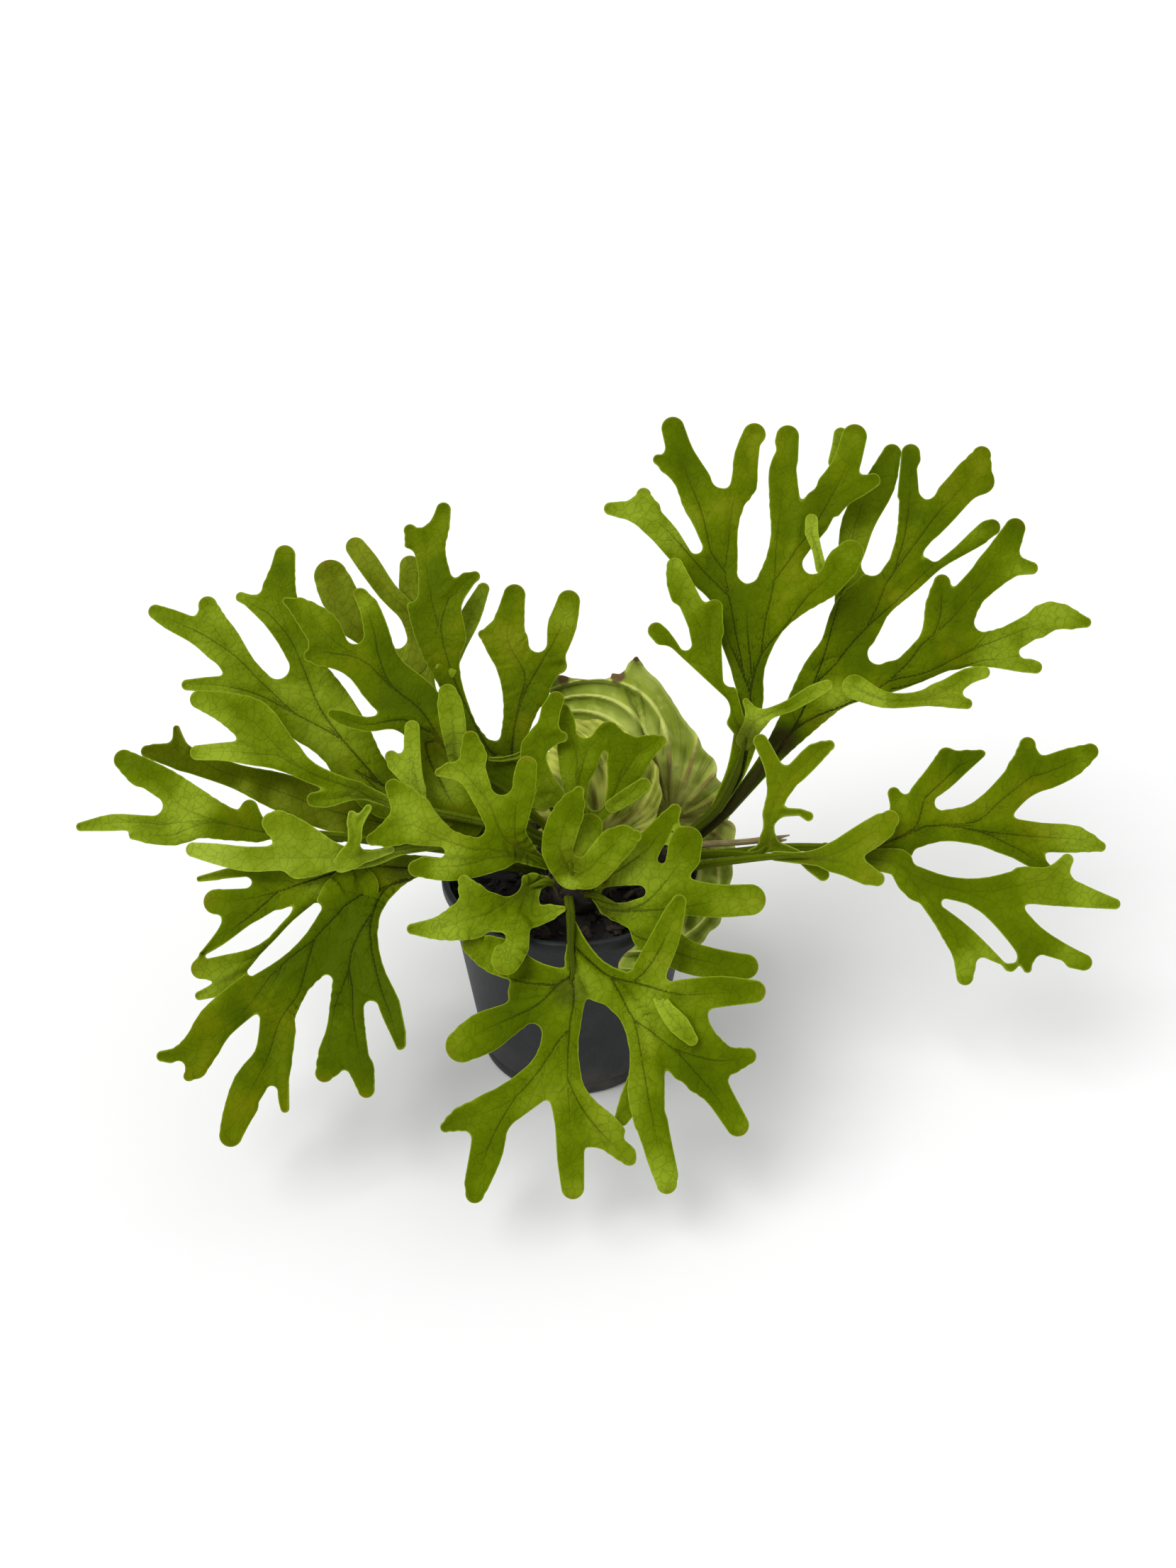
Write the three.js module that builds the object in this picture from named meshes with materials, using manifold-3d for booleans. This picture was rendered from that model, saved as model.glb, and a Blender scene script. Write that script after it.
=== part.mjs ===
// A potted staghorn fern: a small plastic nursery pot of bark mix, two crowns, the antler-shaped
// fronds that spring from them, and three ribbed shield fronds that clasp the mix and the rim.
// Millimetres, +Z up. The origin is the centre of the pot's foot, and the pot stands on Z = 0.
import * as THREE from 'three';
import { mergeVertices } from 'three/addons/utils/BufferGeometryUtils.js';
import Module from 'manifold-3d';

const wasm = await Module();
wasm.setup();

// ---- Driving dimensions -------------------------------------------------------------------
const POT_HEIGHT = 105;
const POT_RIM_RADIUS = 62;
const POT_FOOT_RADIUS = 45;
const POT_WALL = 1.6;
const POT_FLOOR = 2.4;
const LIP_DEPTH = 6;
const LIP_STEP = 1.8;
const POT_SIDES = 44;
const FOOT_CHAMFER = 1.5;
const LIP_CHAMFER = 0.8;
const DRAIN_HOLES = 6;
const DRAIN_RADIUS = 4.5;
const DRAIN_CIRCLE = 30;

const CLEARANCE = 0.35; // between any two pieces that meet
const SOIL_DROP = 7; // from the rim down to the bark mix
const SOIL_DOME = 3;
const SOIL_LUMP = 1.6;
const SAGITTA = 0.1; // how far the pot's flat sides stand inside their circle

const BLADE_THICKNESS = 1.4;
const SHIELD_THICKNESS = 1.6;
const EDGE_DROOP = 1.3; // how far a blade's edge bends back
const DROOP_REACH = 3.5;
const FORK_ROUNDING = 4.5; // size of the round web between two lobes
const BAY_ROUNDING = 2; // and of the round shoulder where a bay opens
const DEPTH_BLEND = 0.12; // how widely lobes of different depth t run into each other
const OUTLINE_CELL = 2; // grid that the outlines are traced through
const OUTLINE_TOLERANCE = 0.75;
const OUTLINE_STEP = 13; // longest step along an outline
const SMALLEST_HOLE = 9; // square millimetres
const RIB_STEP = 11; // between two points down a lobe's midline
const RIB_CLEAR = 4.2; // from a midline point to the outline or the next point
const STALK_SIDES = 6;
const STALK_STEPS = 2; // rings between two rows of a stalk

// The plant is laid out on a drawing plane through the middle of the pot's rim. The plane leans
// back by VIEW_TILT, as a person sees it who looks down on the pot. A point of the plant is
// [x, v, t]: x to the right and v up on the plane, then t straight towards the eye.
const VIEW_TILT = THREE.MathUtils.degToRad(31);
const EYE_DISTANCE = 700;
const EYE_RIGHT = 8.3;
const EYE_UP = 39.5;
const RIGHT = new THREE.Vector3(1, 0, 0);
const UP = new THREE.Vector3(0, Math.sin(VIEW_TILT), Math.cos(VIEW_TILT));
const TOWARD = new THREE.Vector3(0, -Math.cos(VIEW_TILT), Math.sin(VIEW_TILT));
const RIM_CENTRE = new THREE.Vector3(0, 0, POT_HEIGHT);

function place([x, v, t]) {
  const shrink = 1 - t / EYE_DISTANCE;
  return RIM_CENTRE.clone()
    .addScaledVector(RIGHT, EYE_RIGHT + (x - EYE_RIGHT) * shrink)
    .addScaledVector(UP, EYE_UP + (v - EYE_UP) * shrink)
    .addScaledVector(TOWARD, t);
}

// ---- Closed meshes and their unions ---------------------------------------------------------
function meshGeometry(points, triangles) {
  const geometry = new THREE.BufferGeometry();
  geometry.setAttribute('position', new THREE.Float32BufferAttribute(points.flat(), 3));
  geometry.setIndex(triangles.flat());
  return geometry;
}

function solid(geometry) {
  const bare = geometry.clone();
  bare.deleteAttribute('normal');
  bare.deleteAttribute('uv');
  const merged = mergeVertices(bare, 1e-4);
  return new wasm.Manifold(new wasm.Mesh({
    numProp: 3,
    vertProperties: new Float32Array(merged.attributes.position.array),
    triVerts: new Uint32Array(merged.index.array),
  }));
}

function unsolid(manifold) {
  const { vertProperties, triVerts } = manifold.getMesh();
  const geometry = new THREE.BufferGeometry();
  geometry.setAttribute('position', new THREE.BufferAttribute(new Float32Array(vertProperties), 3));
  geometry.setIndex(new THREE.BufferAttribute(new Uint32Array(triVerts), 1));
  return geometry;
}

const union = (solids) => solids.reduce((whole, one) => whole.add(one));

// ---- Blades ---------------------------------------------------------------------------------
// A lobe is a row of [x, v, t, half width] down its midline. A blade is the smooth union of its
// lobes on the drawing plane, less its bays: the round-ended gaps between two lobes, each a row
// of [x, v, half width].
function nearestOnLobe(lobe, x, v) {
  let best = { gap: Infinity, t: 0, across: Infinity };
  for (let i = 0; i + 1 < lobe.length; i += 1) {
    const [ax, av, at, aw] = lobe[i];
    const [bx, bv, bt, bw] = lobe[i + 1];
    const [dx, dv] = [bx - ax, bv - av];
    const along = THREE.MathUtils.clamp(
      ((x - ax) * dx + (v - av) * dv) / (dx * dx + dv * dv), 0, 1);
    const away = Math.hypot(x - ax - dx * along, v - av - dv * along);
    const width = aw + (bw - aw) * along;
    if (away - width < best.gap) {
      best = { gap: away - width, t: at + (bt - at) * along, across: away / width };
    }
  }
  return best;
}

function smoothMin(a, b, rounding) {
  const mix = Math.max(rounding - Math.abs(a - b), 0) / rounding;
  return Math.min(a, b) - mix * mix * rounding * 0.25;
}

// The signed distance to a blade's edge, negative inside, and the depth t of its surface.
function bladeAt({ lobes, bays, rounding }, x, v) {
  let edge = Infinity;
  let weightSum = 0;
  let depthSum = 0;
  for (const lobe of lobes) {
    const { gap, t, across } = nearestOnLobe(lobe, x, v);
    edge = smoothMin(edge, gap, rounding);
    const weight = 1 / (across * across + DEPTH_BLEND) ** 3;
    weightSum += weight;
    depthSum += weight * t;
  }
  for (const bay of bays) {
    edge = -smoothMin(-edge, nearestOnLobe(bay, x, v).gap, BAY_ROUNDING);
  }
  return { edge, t: depthSum / weightSum };
}

// The blade's edge as closed loops of [x, v], traced through a square grid.
function traceOutline(shape) {
  const rows = shape.lobes.flat();
  const pad = 2 * OUTLINE_CELL + 1;
  const low = (axis) => Math.min(...rows.map((row) => row[axis] - row[3])) - pad;
  const high = (axis) => Math.max(...rows.map((row) => row[axis] + row[3])) + pad;
  const [left, bottom] = [low(0), low(1)];
  const columns = Math.ceil((high(0) - left) / OUTLINE_CELL);
  const lines = Math.ceil((high(1) - bottom) / OUTLINE_CELL);
  const corner = (i, j) => [left + i * OUTLINE_CELL, bottom + j * OUTLINE_CELL];
  const values = [];
  for (let i = 0; i <= columns; i += 1) {
    values.push([]);
    for (let j = 0; j <= lines; j += 1) {
      values[i].push(bladeAt(shape, ...corner(i, j)).edge);
    }
  }
  const next = new Map();
  const spots = new Map();
  const crossing = (i, j, k, l) => {
    const key = `${Math.min(i, k)},${Math.min(j, l)},${i === k ? 'v' : 'x'}`;
    const along = values[i][j] / (values[i][j] - values[k][l]);
    const [from, to] = [corner(i, j), corner(k, l)];
    spots.set(key, [from[0] + (to[0] - from[0]) * along, from[1] + (to[1] - from[1]) * along]);
    return key;
  };
  for (let i = 0; i < columns; i += 1) {
    for (let j = 0; j < lines; j += 1) {
      const ring = [[i, j], [i + 1, j], [i + 1, j + 1], [i, j + 1]];
      const inside = ring.map(([a, b]) => values[a][b] < 0);
      const entries = [];
      const exits = [];
      for (let side = 0; side < 4; side += 1) {
        const [a, b] = [ring[side], ring[(side + 1) % 4]];
        if (inside[side] && !inside[(side + 1) % 4]) exits.push(crossing(...a, ...b));
        if (!inside[side] && inside[(side + 1) % 4]) entries.push(crossing(...a, ...b));
      }
      if (exits.length === 2 && inside[0]) entries.reverse();
      exits.forEach((key, n) => next.set(key, entries[n]));
    }
  }
  const loops = [];
  while (next.size > 0) {
    const loop = [];
    for (let key = next.keys().next().value; next.has(key);) {
      const following = next.get(key);
      next.delete(key);
      loop.push(spots.get(key));
      key = following;
    }
    loops.push(loop);
  }
  return loops;
}

function loopArea(loop) {
  return THREE.ShapeUtils.area(loop.map(([x, v]) => new THREE.Vector2(x, v)));
}

// Keeps the points that hold the loop's shape, and no step longer than OUTLINE_STEP.
function thinLoop(loop) {
  const kept = new Set([0, Math.floor(loop.length / 2)]);
  const split = (from, to) => {
    const [a, b] = [loop[from], loop[to % loop.length]];
    const span = Math.hypot(b[0] - a[0], b[1] - a[1]) || 1;
    let [worst, worstAt] = [0, -1];
    for (let i = from + 1; i < to; i += 1) {
      const p = loop[i];
      const away = Math.abs((b[0] - a[0]) * (p[1] - a[1]) - (b[1] - a[1]) * (p[0] - a[0])) / span;
      if (away > worst) [worst, worstAt] = [away, i];
    }
    if (worst > OUTLINE_TOLERANCE || (span > OUTLINE_STEP && to - from > 1)) {
      const middle = worst > OUTLINE_TOLERANCE ? worstAt : Math.floor((from + to) / 2);
      kept.add(middle);
      split(from, middle);
      split(middle, to);
    }
  };
  const half = Math.floor(loop.length / 2);
  split(0, half);
  split(half, loop.length);
  return [...kept].sort((a, b) => a - b).map((i) => loop[i]);
}

// Points down each guide line, clear of the edge and of each other.
function midlinePoints(guides, shape, outline) {
  const chosen = [];
  for (const lobe of guides) {
    for (let i = 0; i + 1 < lobe.length; i += 1) {
      const [ax, av] = lobe[i];
      const [bx, bv] = lobe[i + 1];
      const steps = Math.max(1, Math.round(Math.hypot(bx - ax, bv - av) / RIB_STEP));
      for (let n = 0; n <= steps; n += 1) {
        const point = [ax + ((bx - ax) * n) / steps, av + ((bv - av) * n) / steps];
        const clear = [...chosen, ...outline]
          .every(([x, v]) => Math.hypot(x - point[0], v - point[1]) > RIB_CLEAR);
        if (clear && bladeAt(shape, ...point).edge < -RIB_CLEAR / 2) chosen.push(point);
      }
    }
  }
  return chosen;
}

const cross = (a, b, c) => (b[0] - a[0]) * (c[1] - a[1]) - (b[1] - a[1]) * (c[0] - a[0]);

function inCircle(a, b, c, p) {
  const [ax, av, bx, bv, cx, cv] = [
    a[0] - p[0], a[1] - p[1], b[0] - p[0], b[1] - p[1], c[0] - p[0], c[1] - p[1]];
  return (ax * ax + av * av) * (bx * cv - cx * bv)
    - (bx * bx + bv * bv) * (ax * cv - cx * av)
    + (cx * cx + cv * cv) * (ax * bv - bx * av) > 1e-7;
}

// Adds the inner points to an ear-clipped outline, then turns edges until no triangle is a sliver
// that its neighbour could mend.
function triangulate(loops, inner) {
  const points = [...loops.flat(), ...inner];
  const [contour, ...holes] = loops.map((loop) => loop.map(([x, v]) => new THREE.Vector2(x, v)));
  const triangles = THREE.ShapeUtils.triangulateShape(contour, holes);
  if (triangles.reduce((sum, corners) => sum + cross(...corners.map((i) => points[i])), 0) < 0) {
    triangles.forEach((corners) => corners.reverse());
  }
  for (let n = points.length - inner.length; n < points.length; n += 1) {
    const p = points[n];
    const home = triangles.findIndex(([a, b, c]) => cross(points[a], points[b], p) > 1e-6
      && cross(points[b], points[c], p) > 1e-6 && cross(points[c], points[a], p) > 1e-6);
    if (home >= 0) {
      const [a, b, c] = triangles[home];
      triangles[home] = [a, b, n];
      triangles.push([b, c, n], [c, a, n]);
    }
  }
  for (let pass = 0, turned = true; turned && pass < 60; pass += 1) {
    turned = false;
    const owner = new Map();
    triangles.forEach((triangle, index) => {
      for (let k = 0; k < 3; k += 1) owner.set(`${triangle[k]},${triangle[(k + 1) % 3]}`, [index, k]);
    });
    const touched = new Set();
    for (const [key, [index, k]] of owner) {
      const [a, b] = key.split(',').map(Number);
      const other = owner.get(`${b},${a}`);
      if (other && a < b && !touched.has(index) && !touched.has(other[0])) {
        const c = triangles[index][(k + 2) % 3];
        const d = triangles[other[0]][(other[1] + 2) % 3];
        const [pa, pb, pc, pd] = [a, b, c, d].map((i) => points[i]);
        const turns = cross(pc, pa, pd) > 1e-6 && cross(pd, pb, pc) > 1e-6;
        if (turns && inCircle(pa, pb, pc, pd)) {
          triangles[index] = [c, a, d];
          triangles[other[0]] = [d, b, c];
          touched.add(index).add(other[0]);
          turned = true;
        }
      }
    }
  }
  return { points, triangles };
}

// A blade with both faces split alike: the middle surface, moved half its thickness each way.
function blade(lobes, options = {}) {
  const { thickness = BLADE_THICKNESS, rounding = FORK_ROUNDING, lift = () => 0 } = options;
  const { bays = [], guides = [] } = options;
  const shape = { lobes, rounding, bays: bays.map((bay) => bay.map(([x, v, r]) => [x, v, 0, r])) };
  const loops = traceOutline(shape)
    .filter((loop) => Math.abs(loopArea(loop)) > SMALLEST_HOLE)
    .sort((a, b) => Math.abs(loopArea(b)) - Math.abs(loopArea(a)))
    .map(thinLoop);
  const inner = midlinePoints([...lobes, ...guides], shape, loops.flat());
  const { points, triangles } = triangulate(loops, inner);
  const middle = points.map(([x, v]) => {
    const { edge, t } = bladeAt(shape, x, v);
    const droop = EDGE_DROOP * Math.exp(Math.min(edge, 0) / DROOP_REACH);
    return place([x, v, t - droop + lift(x, v, edge)]);
  });
  const normals = middle.map(() => new THREE.Vector3());
  for (const triangle of triangles) {
    const [a, b, c] = triangle.map((i) => middle[i]);
    const facing = b.clone().sub(a).cross(c.clone().sub(a));
    triangle.forEach((i) => normals[i].add(facing));
  }
  normals.forEach((normal) => normal.setLength(thickness / 2));
  const front = middle.map((point, i) => point.clone().add(normals[i]).toArray());
  const back = middle.map((point, i) => point.clone().sub(normals[i]).toArray());
  const count = middle.length;
  const faces = [];
  const edges = new Set();
  for (const [a, b, c] of triangles) {
    faces.push([a, b, c], [a + count, c + count, b + count]);
    [[a, b], [b, c], [c, a]].forEach(([p, q]) => edges.add(`${p},${q}`));
  }
  for (const key of edges) {
    const [a, b] = key.split(',').map(Number);
    if (!edges.has(`${b},${a}`)) faces.push([a, a + count, b + count], [a, b + count, b]);
  }
  return solid(meshGeometry([...front, ...back], faces));
}

// A round, tapered stalk through rows of [x, v, t, radius], with extra radius for its hole.
function stalk(rows, extra = 0) {
  const centres = rows.map((row) => place(row));
  const path = new THREE.CatmullRomCurve3(centres, false, 'centripetal');
  const rings = STALK_STEPS * (rows.length - 1);
  const points = [];
  const faces = [];
  let side = new THREE.Vector3(0, 0, 1);
  for (let n = 0; n <= rings; n += 1) {
    const u = (n / rings) * (rows.length - 1);
    const row = Math.min(Math.floor(u), rows.length - 2);
    const radius = rows[row][3] + (rows[row + 1][3] - rows[row][3]) * (u - row) + extra;
    const centre = path.getPoint(n / rings);
    const ahead = path.getTangent(n / rings);
    side = side.clone().addScaledVector(ahead, -side.dot(ahead)).normalize();
    const across = ahead.clone().cross(side);
    for (let k = 0; k < STALK_SIDES; k += 1) {
      const turn = (2 * Math.PI * k) / STALK_SIDES;
      points.push(centre.clone().addScaledVector(side, radius * Math.cos(turn))
        .addScaledVector(across, radius * Math.sin(turn)).toArray());
    }
  }
  for (let n = 0; n < rings; n += 1) {
    for (let k = 0; k < STALK_SIDES; k += 1) {
      const [a, b] = [n * STALK_SIDES + k, n * STALK_SIDES + ((k + 1) % STALK_SIDES)];
      faces.push([a, b, b + STALK_SIDES], [a, b + STALK_SIDES, a + STALK_SIDES]);
    }
  }
  for (let k = 1; k + 1 < STALK_SIDES; k += 1) {
    const last = rings * STALK_SIDES;
    faces.push([0, k + 1, k], [last, last + k, last + k + 1]);
  }
  return solid(meshGeometry(points, faces));
}

// ---- The fronds -------------------------------------------------------------------------------
// Each frond: its colour, its round stalk, and its blade in one or more layers. Where two lobes
// pass one behind the other they are in different layers, which meet at the fork.
const FRONDS = {
  frond_front: {
    colour: 0x7d9a14,
    stalk: [[-1, -15, 41, 2.3], [0, -25, 51, 2.2], [0, -38, 60, 2], [1, -50, 67, 1.6], [-1, -62, 72.4, 1]],
    bays: [[
      [[15, -75, 8.5], [16, -90, 12.3], [16.7, -100, 11], [17.5, -108, 7], [20, -116, 1.8]],
      [[-18.5, -79.5, 4.3], [-24, -87, 6.8], [-33, -95.5, 7]],
      [[50.5, -107.5, 4.8], [52, -115, 7]],
    ]],
    layers: [[
      [[0, -38, 60, 1.8], [1, -50, 67, 3], [-2, -58, 71, 8], [-4, -70, 76, 10], [-5, -82, 80, 9],
        [-6, -95, 84, 11]],
      [[-3, -55, 69, 4], [-20, -50, 64, 6], [-35, -43, 58, 9], [-47, -38, 51, 5]],
      [[-3, -62, 73, 8], [-25, -73, 74, 9], [-42, -80, 73, 10], [-52, -86, 72, 8]],
      [[-8, -97, 85, 9], [-25, -110, 86, 9], [-38, -118, 86, 9], [-52, -121, 85, 6], [-60, -125, 84, 2.5]],
      [[-38, -118, 86, 8], [-40, -135, 88, 8], [-45, -152, 89, 6], [-46, -157, 89, 4.5]],
      [[-4, -100, 85, 9], [-1, -120, 88, 7], [0, -140, 90, 6.5], [1, -154, 90, 5.5]],
      [[2, -108, 86, 5], [12, -122, 88, 8], [22, -132, 89, 7], [28, -139, 89, 4.5]],
      [[0, -26, 51, 1.8], [6, -38, 59, 2.5], [14, -48, 64, 3], [24, -54, 67, 4], [35, -62, 70, 10],
        [48, -75, 75, 18]],
      [[38, -50, 67, 8], [45, -35, 65, 7], [50, -22, 64, 5], [52, -17, 64, 3.5]],
      [[55, -62, 72, 8], [72, -60, 73, 7.5], [88, -60, 72, 5.5]],
      [[55, -85, 77, 14], [72, -93, 79, 8], [85, -91, 79, 4]],
      [[60, -95, 79, 12], [70, -108, 81, 7], [80, -124, 82, 5.5]],
      [[36, -85, 77, 8], [36, -105, 82, 9], [39, -125, 86, 8], [45, -148, 88, 6.5], [46, -152, 88, 5]],
      [[30, -105, 82, 6], [25, -120, 84, 4], [23, -125, 84, 2]],
      [[1, -44, 63.5, 3], [6, -52, 67, 5], [13, -58, 69, 6.5], [20, -62, 70.5, 7]],
      [[-10, -58, 69, 8], [-24, -60, 68, 6]],
      [[3, -118, 87.5, 8], [10, -127, 88.5, 7]],
    ], [
      [[42, -62, 71, 3], [46, -69, 77, 4], [52, -76, 81, 5], [58, -83, 82, 3]],
    ]],
  },
  frond_front_right: {
    colour: 0x86a41c,
    stalk: [[7, -13, 39, 2], [12, -14, 41.5, 1.8], [22, -18, 45, 1.2]],
    bays: [[
      [[18, -13.5, 3.6], [26, -13.3, 4], [33, -12.3, 2.8]],
      [[43, 3.3, 1.9], [45.5, 9, 2], [49.5, 18, 1.8]],
    ]],
    layers: [[
      [[13, -13, 41.7, 2], [18, -6, 43, 5], [28, 0, 45, 10], [38, 8, 46, 9], [47, 22, 47, 5],
        [50, 27, 47, 3]],
      [[42, -6, 46, 9], [54, 5, 47, 8], [57, 12, 47, 6.5]],
      [[50, -14, 48, 9], [70, -16.5, 52, 8], [86, -16, 54, 7.5]],
      [[13, -15, 41.7, 2.4], [17, -20, 43.5, 3.5], [28, -22, 47.5, 7], [40, -22, 50, 10]],
      [[38, -32, 52, 9], [55, -43, 54, 8], [72, -47, 55, 7], [84, -48, 56, 6]],
    ]],
  },
  frond_centre: {
    colour: 0x8aa624,
    stalk: [[1, -6, 42, 2.2], [1, -4, 47, 2], [0, 2, 50.5, 1.4]],
    bays: [[[[4.5, 8, 3.4], [9, 17, 5]]]],
    layers: [[
      [[1, -6, 46, 3.5], [0, -2, 49, 8], [-5, 8, 53, 9], [-3, 20, 56, 8.5], [1, 30, 57, 6],
        [4, 36, 57, 2.5]],
      [[2, -3, 49, 7], [8, -2, 51, 9], [17, 7, 54, 9], [25, 13, 56, 7], [31, 14.5, 57, 3]],
    ], [
      [[4, 2, 50, 5], [8, 12, 49, 6], [9, 19, 48.5, 6.5]],
    ]],
  },
  frond_front_left: {
    colour: 0x8dab2a,
    stalk: [[-8, -8, 38, 2], [-13, -7.5, 42.5, 1.8], [-20, -10, 46, 1.2]],
    bays: [[
      [[-31, -7, 7.5], [-36, -6, 6.5]],
      [[-38, -35, 3.5], [-34, -34.5, 3]],
    ]],
    layers: [[
      [[-12, -7, 42, 2.4], [-18, -8, 45, 5], [-24, -14, 48, 8], [-30, -20, 51, 8]],
      [[-42, -19, 54, 9], [-49, -11, 55, 5], [-51, -7, 55, 3]],
      [[-36, -22, 53, 9], [-48, -25, 56, 10], [-62, -29.5, 58, 6], [-76, -30, 58, 2.5]],
      [[-28, -28, 56, 8], [-28, -38, 67, 8], [-31, -45, 74, 7]],
      [[-22, -19, 49, 6], [-17, -24, 50.5, 5], [-10, -22, 51.5, 4], [-4, -20.5, 52, 1.5]],
    ]],
  },
  frond_centre_left: {
    colour: 0x88a622,
    stalk: [[-9, 0, 37, 2], [-13, 2, 40.5, 1.9], [-22, 7, 45, 1.2]],
    bays: [[
      [[-33, 39.5, 5.3], [-34, 48, 6.8]],
      [[-45.5, 18.5, 4.6], [-52, 24, 8], [-58, 32, 9]],
      [[-63, 6.8, 2.7], [-70, 7.5, 2.4], [-78, 7.5, 2.4]],
    ]],
    layers: [[
      [[-12, 1, 40, 2.5], [-18, 4, 43, 4], [-25, 9, 46, 7], [-32, 14, 49, 10], [-38, 28, 50, 9],
        [-44, 42, 50, 8],
        [-47, 55, 49, 6], [-48, 61, 48, 4]],
      [[-46, 44, 50, 6], [-58, 46, 48, 4], [-63, 45, 47, 2]],
      [[-28, 24, 51, 8], [-24, 36, 52, 7], [-21, 48, 51, 5]],
      [[-36, 10, 50, 9], [-45, 8, 51, 8], [-60, 13, 52, 9], [-72, 22, 53, 10], [-80, 32, 53, 7],
        [-85, 38, 52, 4]],
      [[-70, 19, 53, 9], [-78, 20, 52, 9], [-88, 15, 50, 6], [-95, 13, 49, 3]],
      [[-36, 6, 50, 8], [-45, 2, 49.5, 7], [-58, 0, 48.5, 7], [-68, 0, 47.5, 6], [-74, -1, 47, 4]],
    ]],
  },
  frond_back_centre: {
    colour: 0x6f8f14,
    stalk: [[8, 9, 32, 2], [8.5, 16, 31.5, 1.9], [8, 28, 30, 1.2]],
    bays: [[
      [[12, 31, 4.3], [13.3, 39, 4.2], [15.5, 47, 2]],
      [[7, 66, 4.5], [8, 74, 6]],
    ]],
    layers: [[
      [[8, 14, 31.5, 2.2], [8, 22, 31, 5], [3, 40, 29, 7], [3, 52, 28, 9], [-1, 65, 26.5, 6],
        [-3.5, 75, 25, 3]],
      [[5, 50, 28, 7], [10, 58, 27, 6], [17, 64, 26, 4]],
      [[9, 22, 31, 5], [20, 33, 29, 5], [24, 45, 28, 8], [27, 52, 27, 9], [21, 62, 26, 5], [19, 65, 26, 4]],
      [[28, 50, 27, 8], [36, 57, 26, 6], [43, 60, 25, 3]],
    ], [
      [[20, 29, 30, 3.5], [28, 34, 32.5, 4], [35, 39, 33, 3.5]],
    ], [
      [[2, 26, 30.5, 4], [-2, 32, 32.5, 4.5], [-10, 48, 34, 6], [-11, 62, 33, 6], [-9, 75, 31, 5],
        [-7, 80, 30, 4]],
      [[-10, 62, 33, 5], [-3, 62, 33, 2.2]],
    ]],
  },
  frond_back_tall: {
    colour: 0x5f7c10,
    stalk: [[3, 11, 27, 2.1], [-8, 28, 22, 2.1], [-20, 42, 16, 2], [-27, 52, 11.5, 1.2]],
    bays: [[
      [[-37.5, 64.3, 3.8], [-39.3, 72, 7], [-41.3, 82, 8.7], [-44, 92, 8.8], [-46.8, 100, 6.2],
        [-46.5, 108, 2.7]],
      [[-15.8, 107, 4.4], [-16, 116, 4.8]],
      [[-77.5, 131, 4.5], [-78, 140, 5], [-79, 148, 4.5]],
    ]],
    layers: [[
      [[-18, 40, 17, 2.4], [-24, 46, 14, 4.5], [-28, 52, 11, 6], [-27, 65, 8, 7], [-24, 80, 5, 10],
        [-22, 92, 2, 14],
        [-30, 108, -2, 9.5], [-28.5, 122, -5, 6.5], [-27, 130, -6, 5.3]],
      [[-15, 98, 1, 9], [-10, 104, 0, 8], [-4, 116, -2, 7], [-1, 127, -3, 5.5]],
      [[-33, 106, -2, 7], [-38, 110, -3, 5], [-42, 111, -3, 2.5]],
      [[-13, 96, 1, 5], [-5, 96, 0, 3]],
      [[-24, 46, 14, 4.5], [-33, 51, 11, 5], [-40, 57, 8, 5], [-48, 72, 3, 6], [-56, 90, -2, 8],
        [-62, 110, -6, 12],
        [-67, 130, -10, 12], [-69, 150, -14, 9], [-63, 163, -17, 5], [-61, 171, -18, 3.5]],
      [[-71, 150, -14, 8], [-77, 161, -16, 3]],
      [[-63, 126, -9, 8], [-56, 130, -10, 5], [-50, 137, -11, 4], [-46, 139, -12, 2.5]],
    ], [
      [[-60, 94, -2.6, 5], [-58, 99, -5, 5], [-54, 107, -11, 4.5], [-48, 120, -20, 5], [-42, 133, -23, 3]],
    ]],
  },
  frond_back_olive: {
    colour: 0x6a7f18,
    stalk: [[-5, 4.5, 14.5, 2], [-18, 16, 8, 2], [-35, 34, 2, 2], [-60, 60, -6, 1.4]],
    bays: [[[[-83, 108.5, 4.2], [-86, 117, 3.5]]]],
    layers: [[
      [[-45, 44, -1, 2.4], [-60, 60, -7, 5], [-72, 80, -14, 9], [-80, 97, -18, 8],
        [-92, 108, -22, 5.5], [-104, 115, -24, 6],
        [-111, 130, -26, 9], [-115, 139, -28, 8]],
      [[-74, 92, -16, 8], [-73, 106, -19, 5.5], [-77, 120, -21, 4.8], [-88, 132, -22, 4.8],
        [-97, 145, -22, 5.3],
        [-103, 153, -22, 4.8]],
    ], [
      [[-75, 98, -17, 6], [-72, 115, -22, 4.5], [-77, 130, -26, 5], [-77, 144, -27, 5]],
    ]],
  },
};

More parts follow.
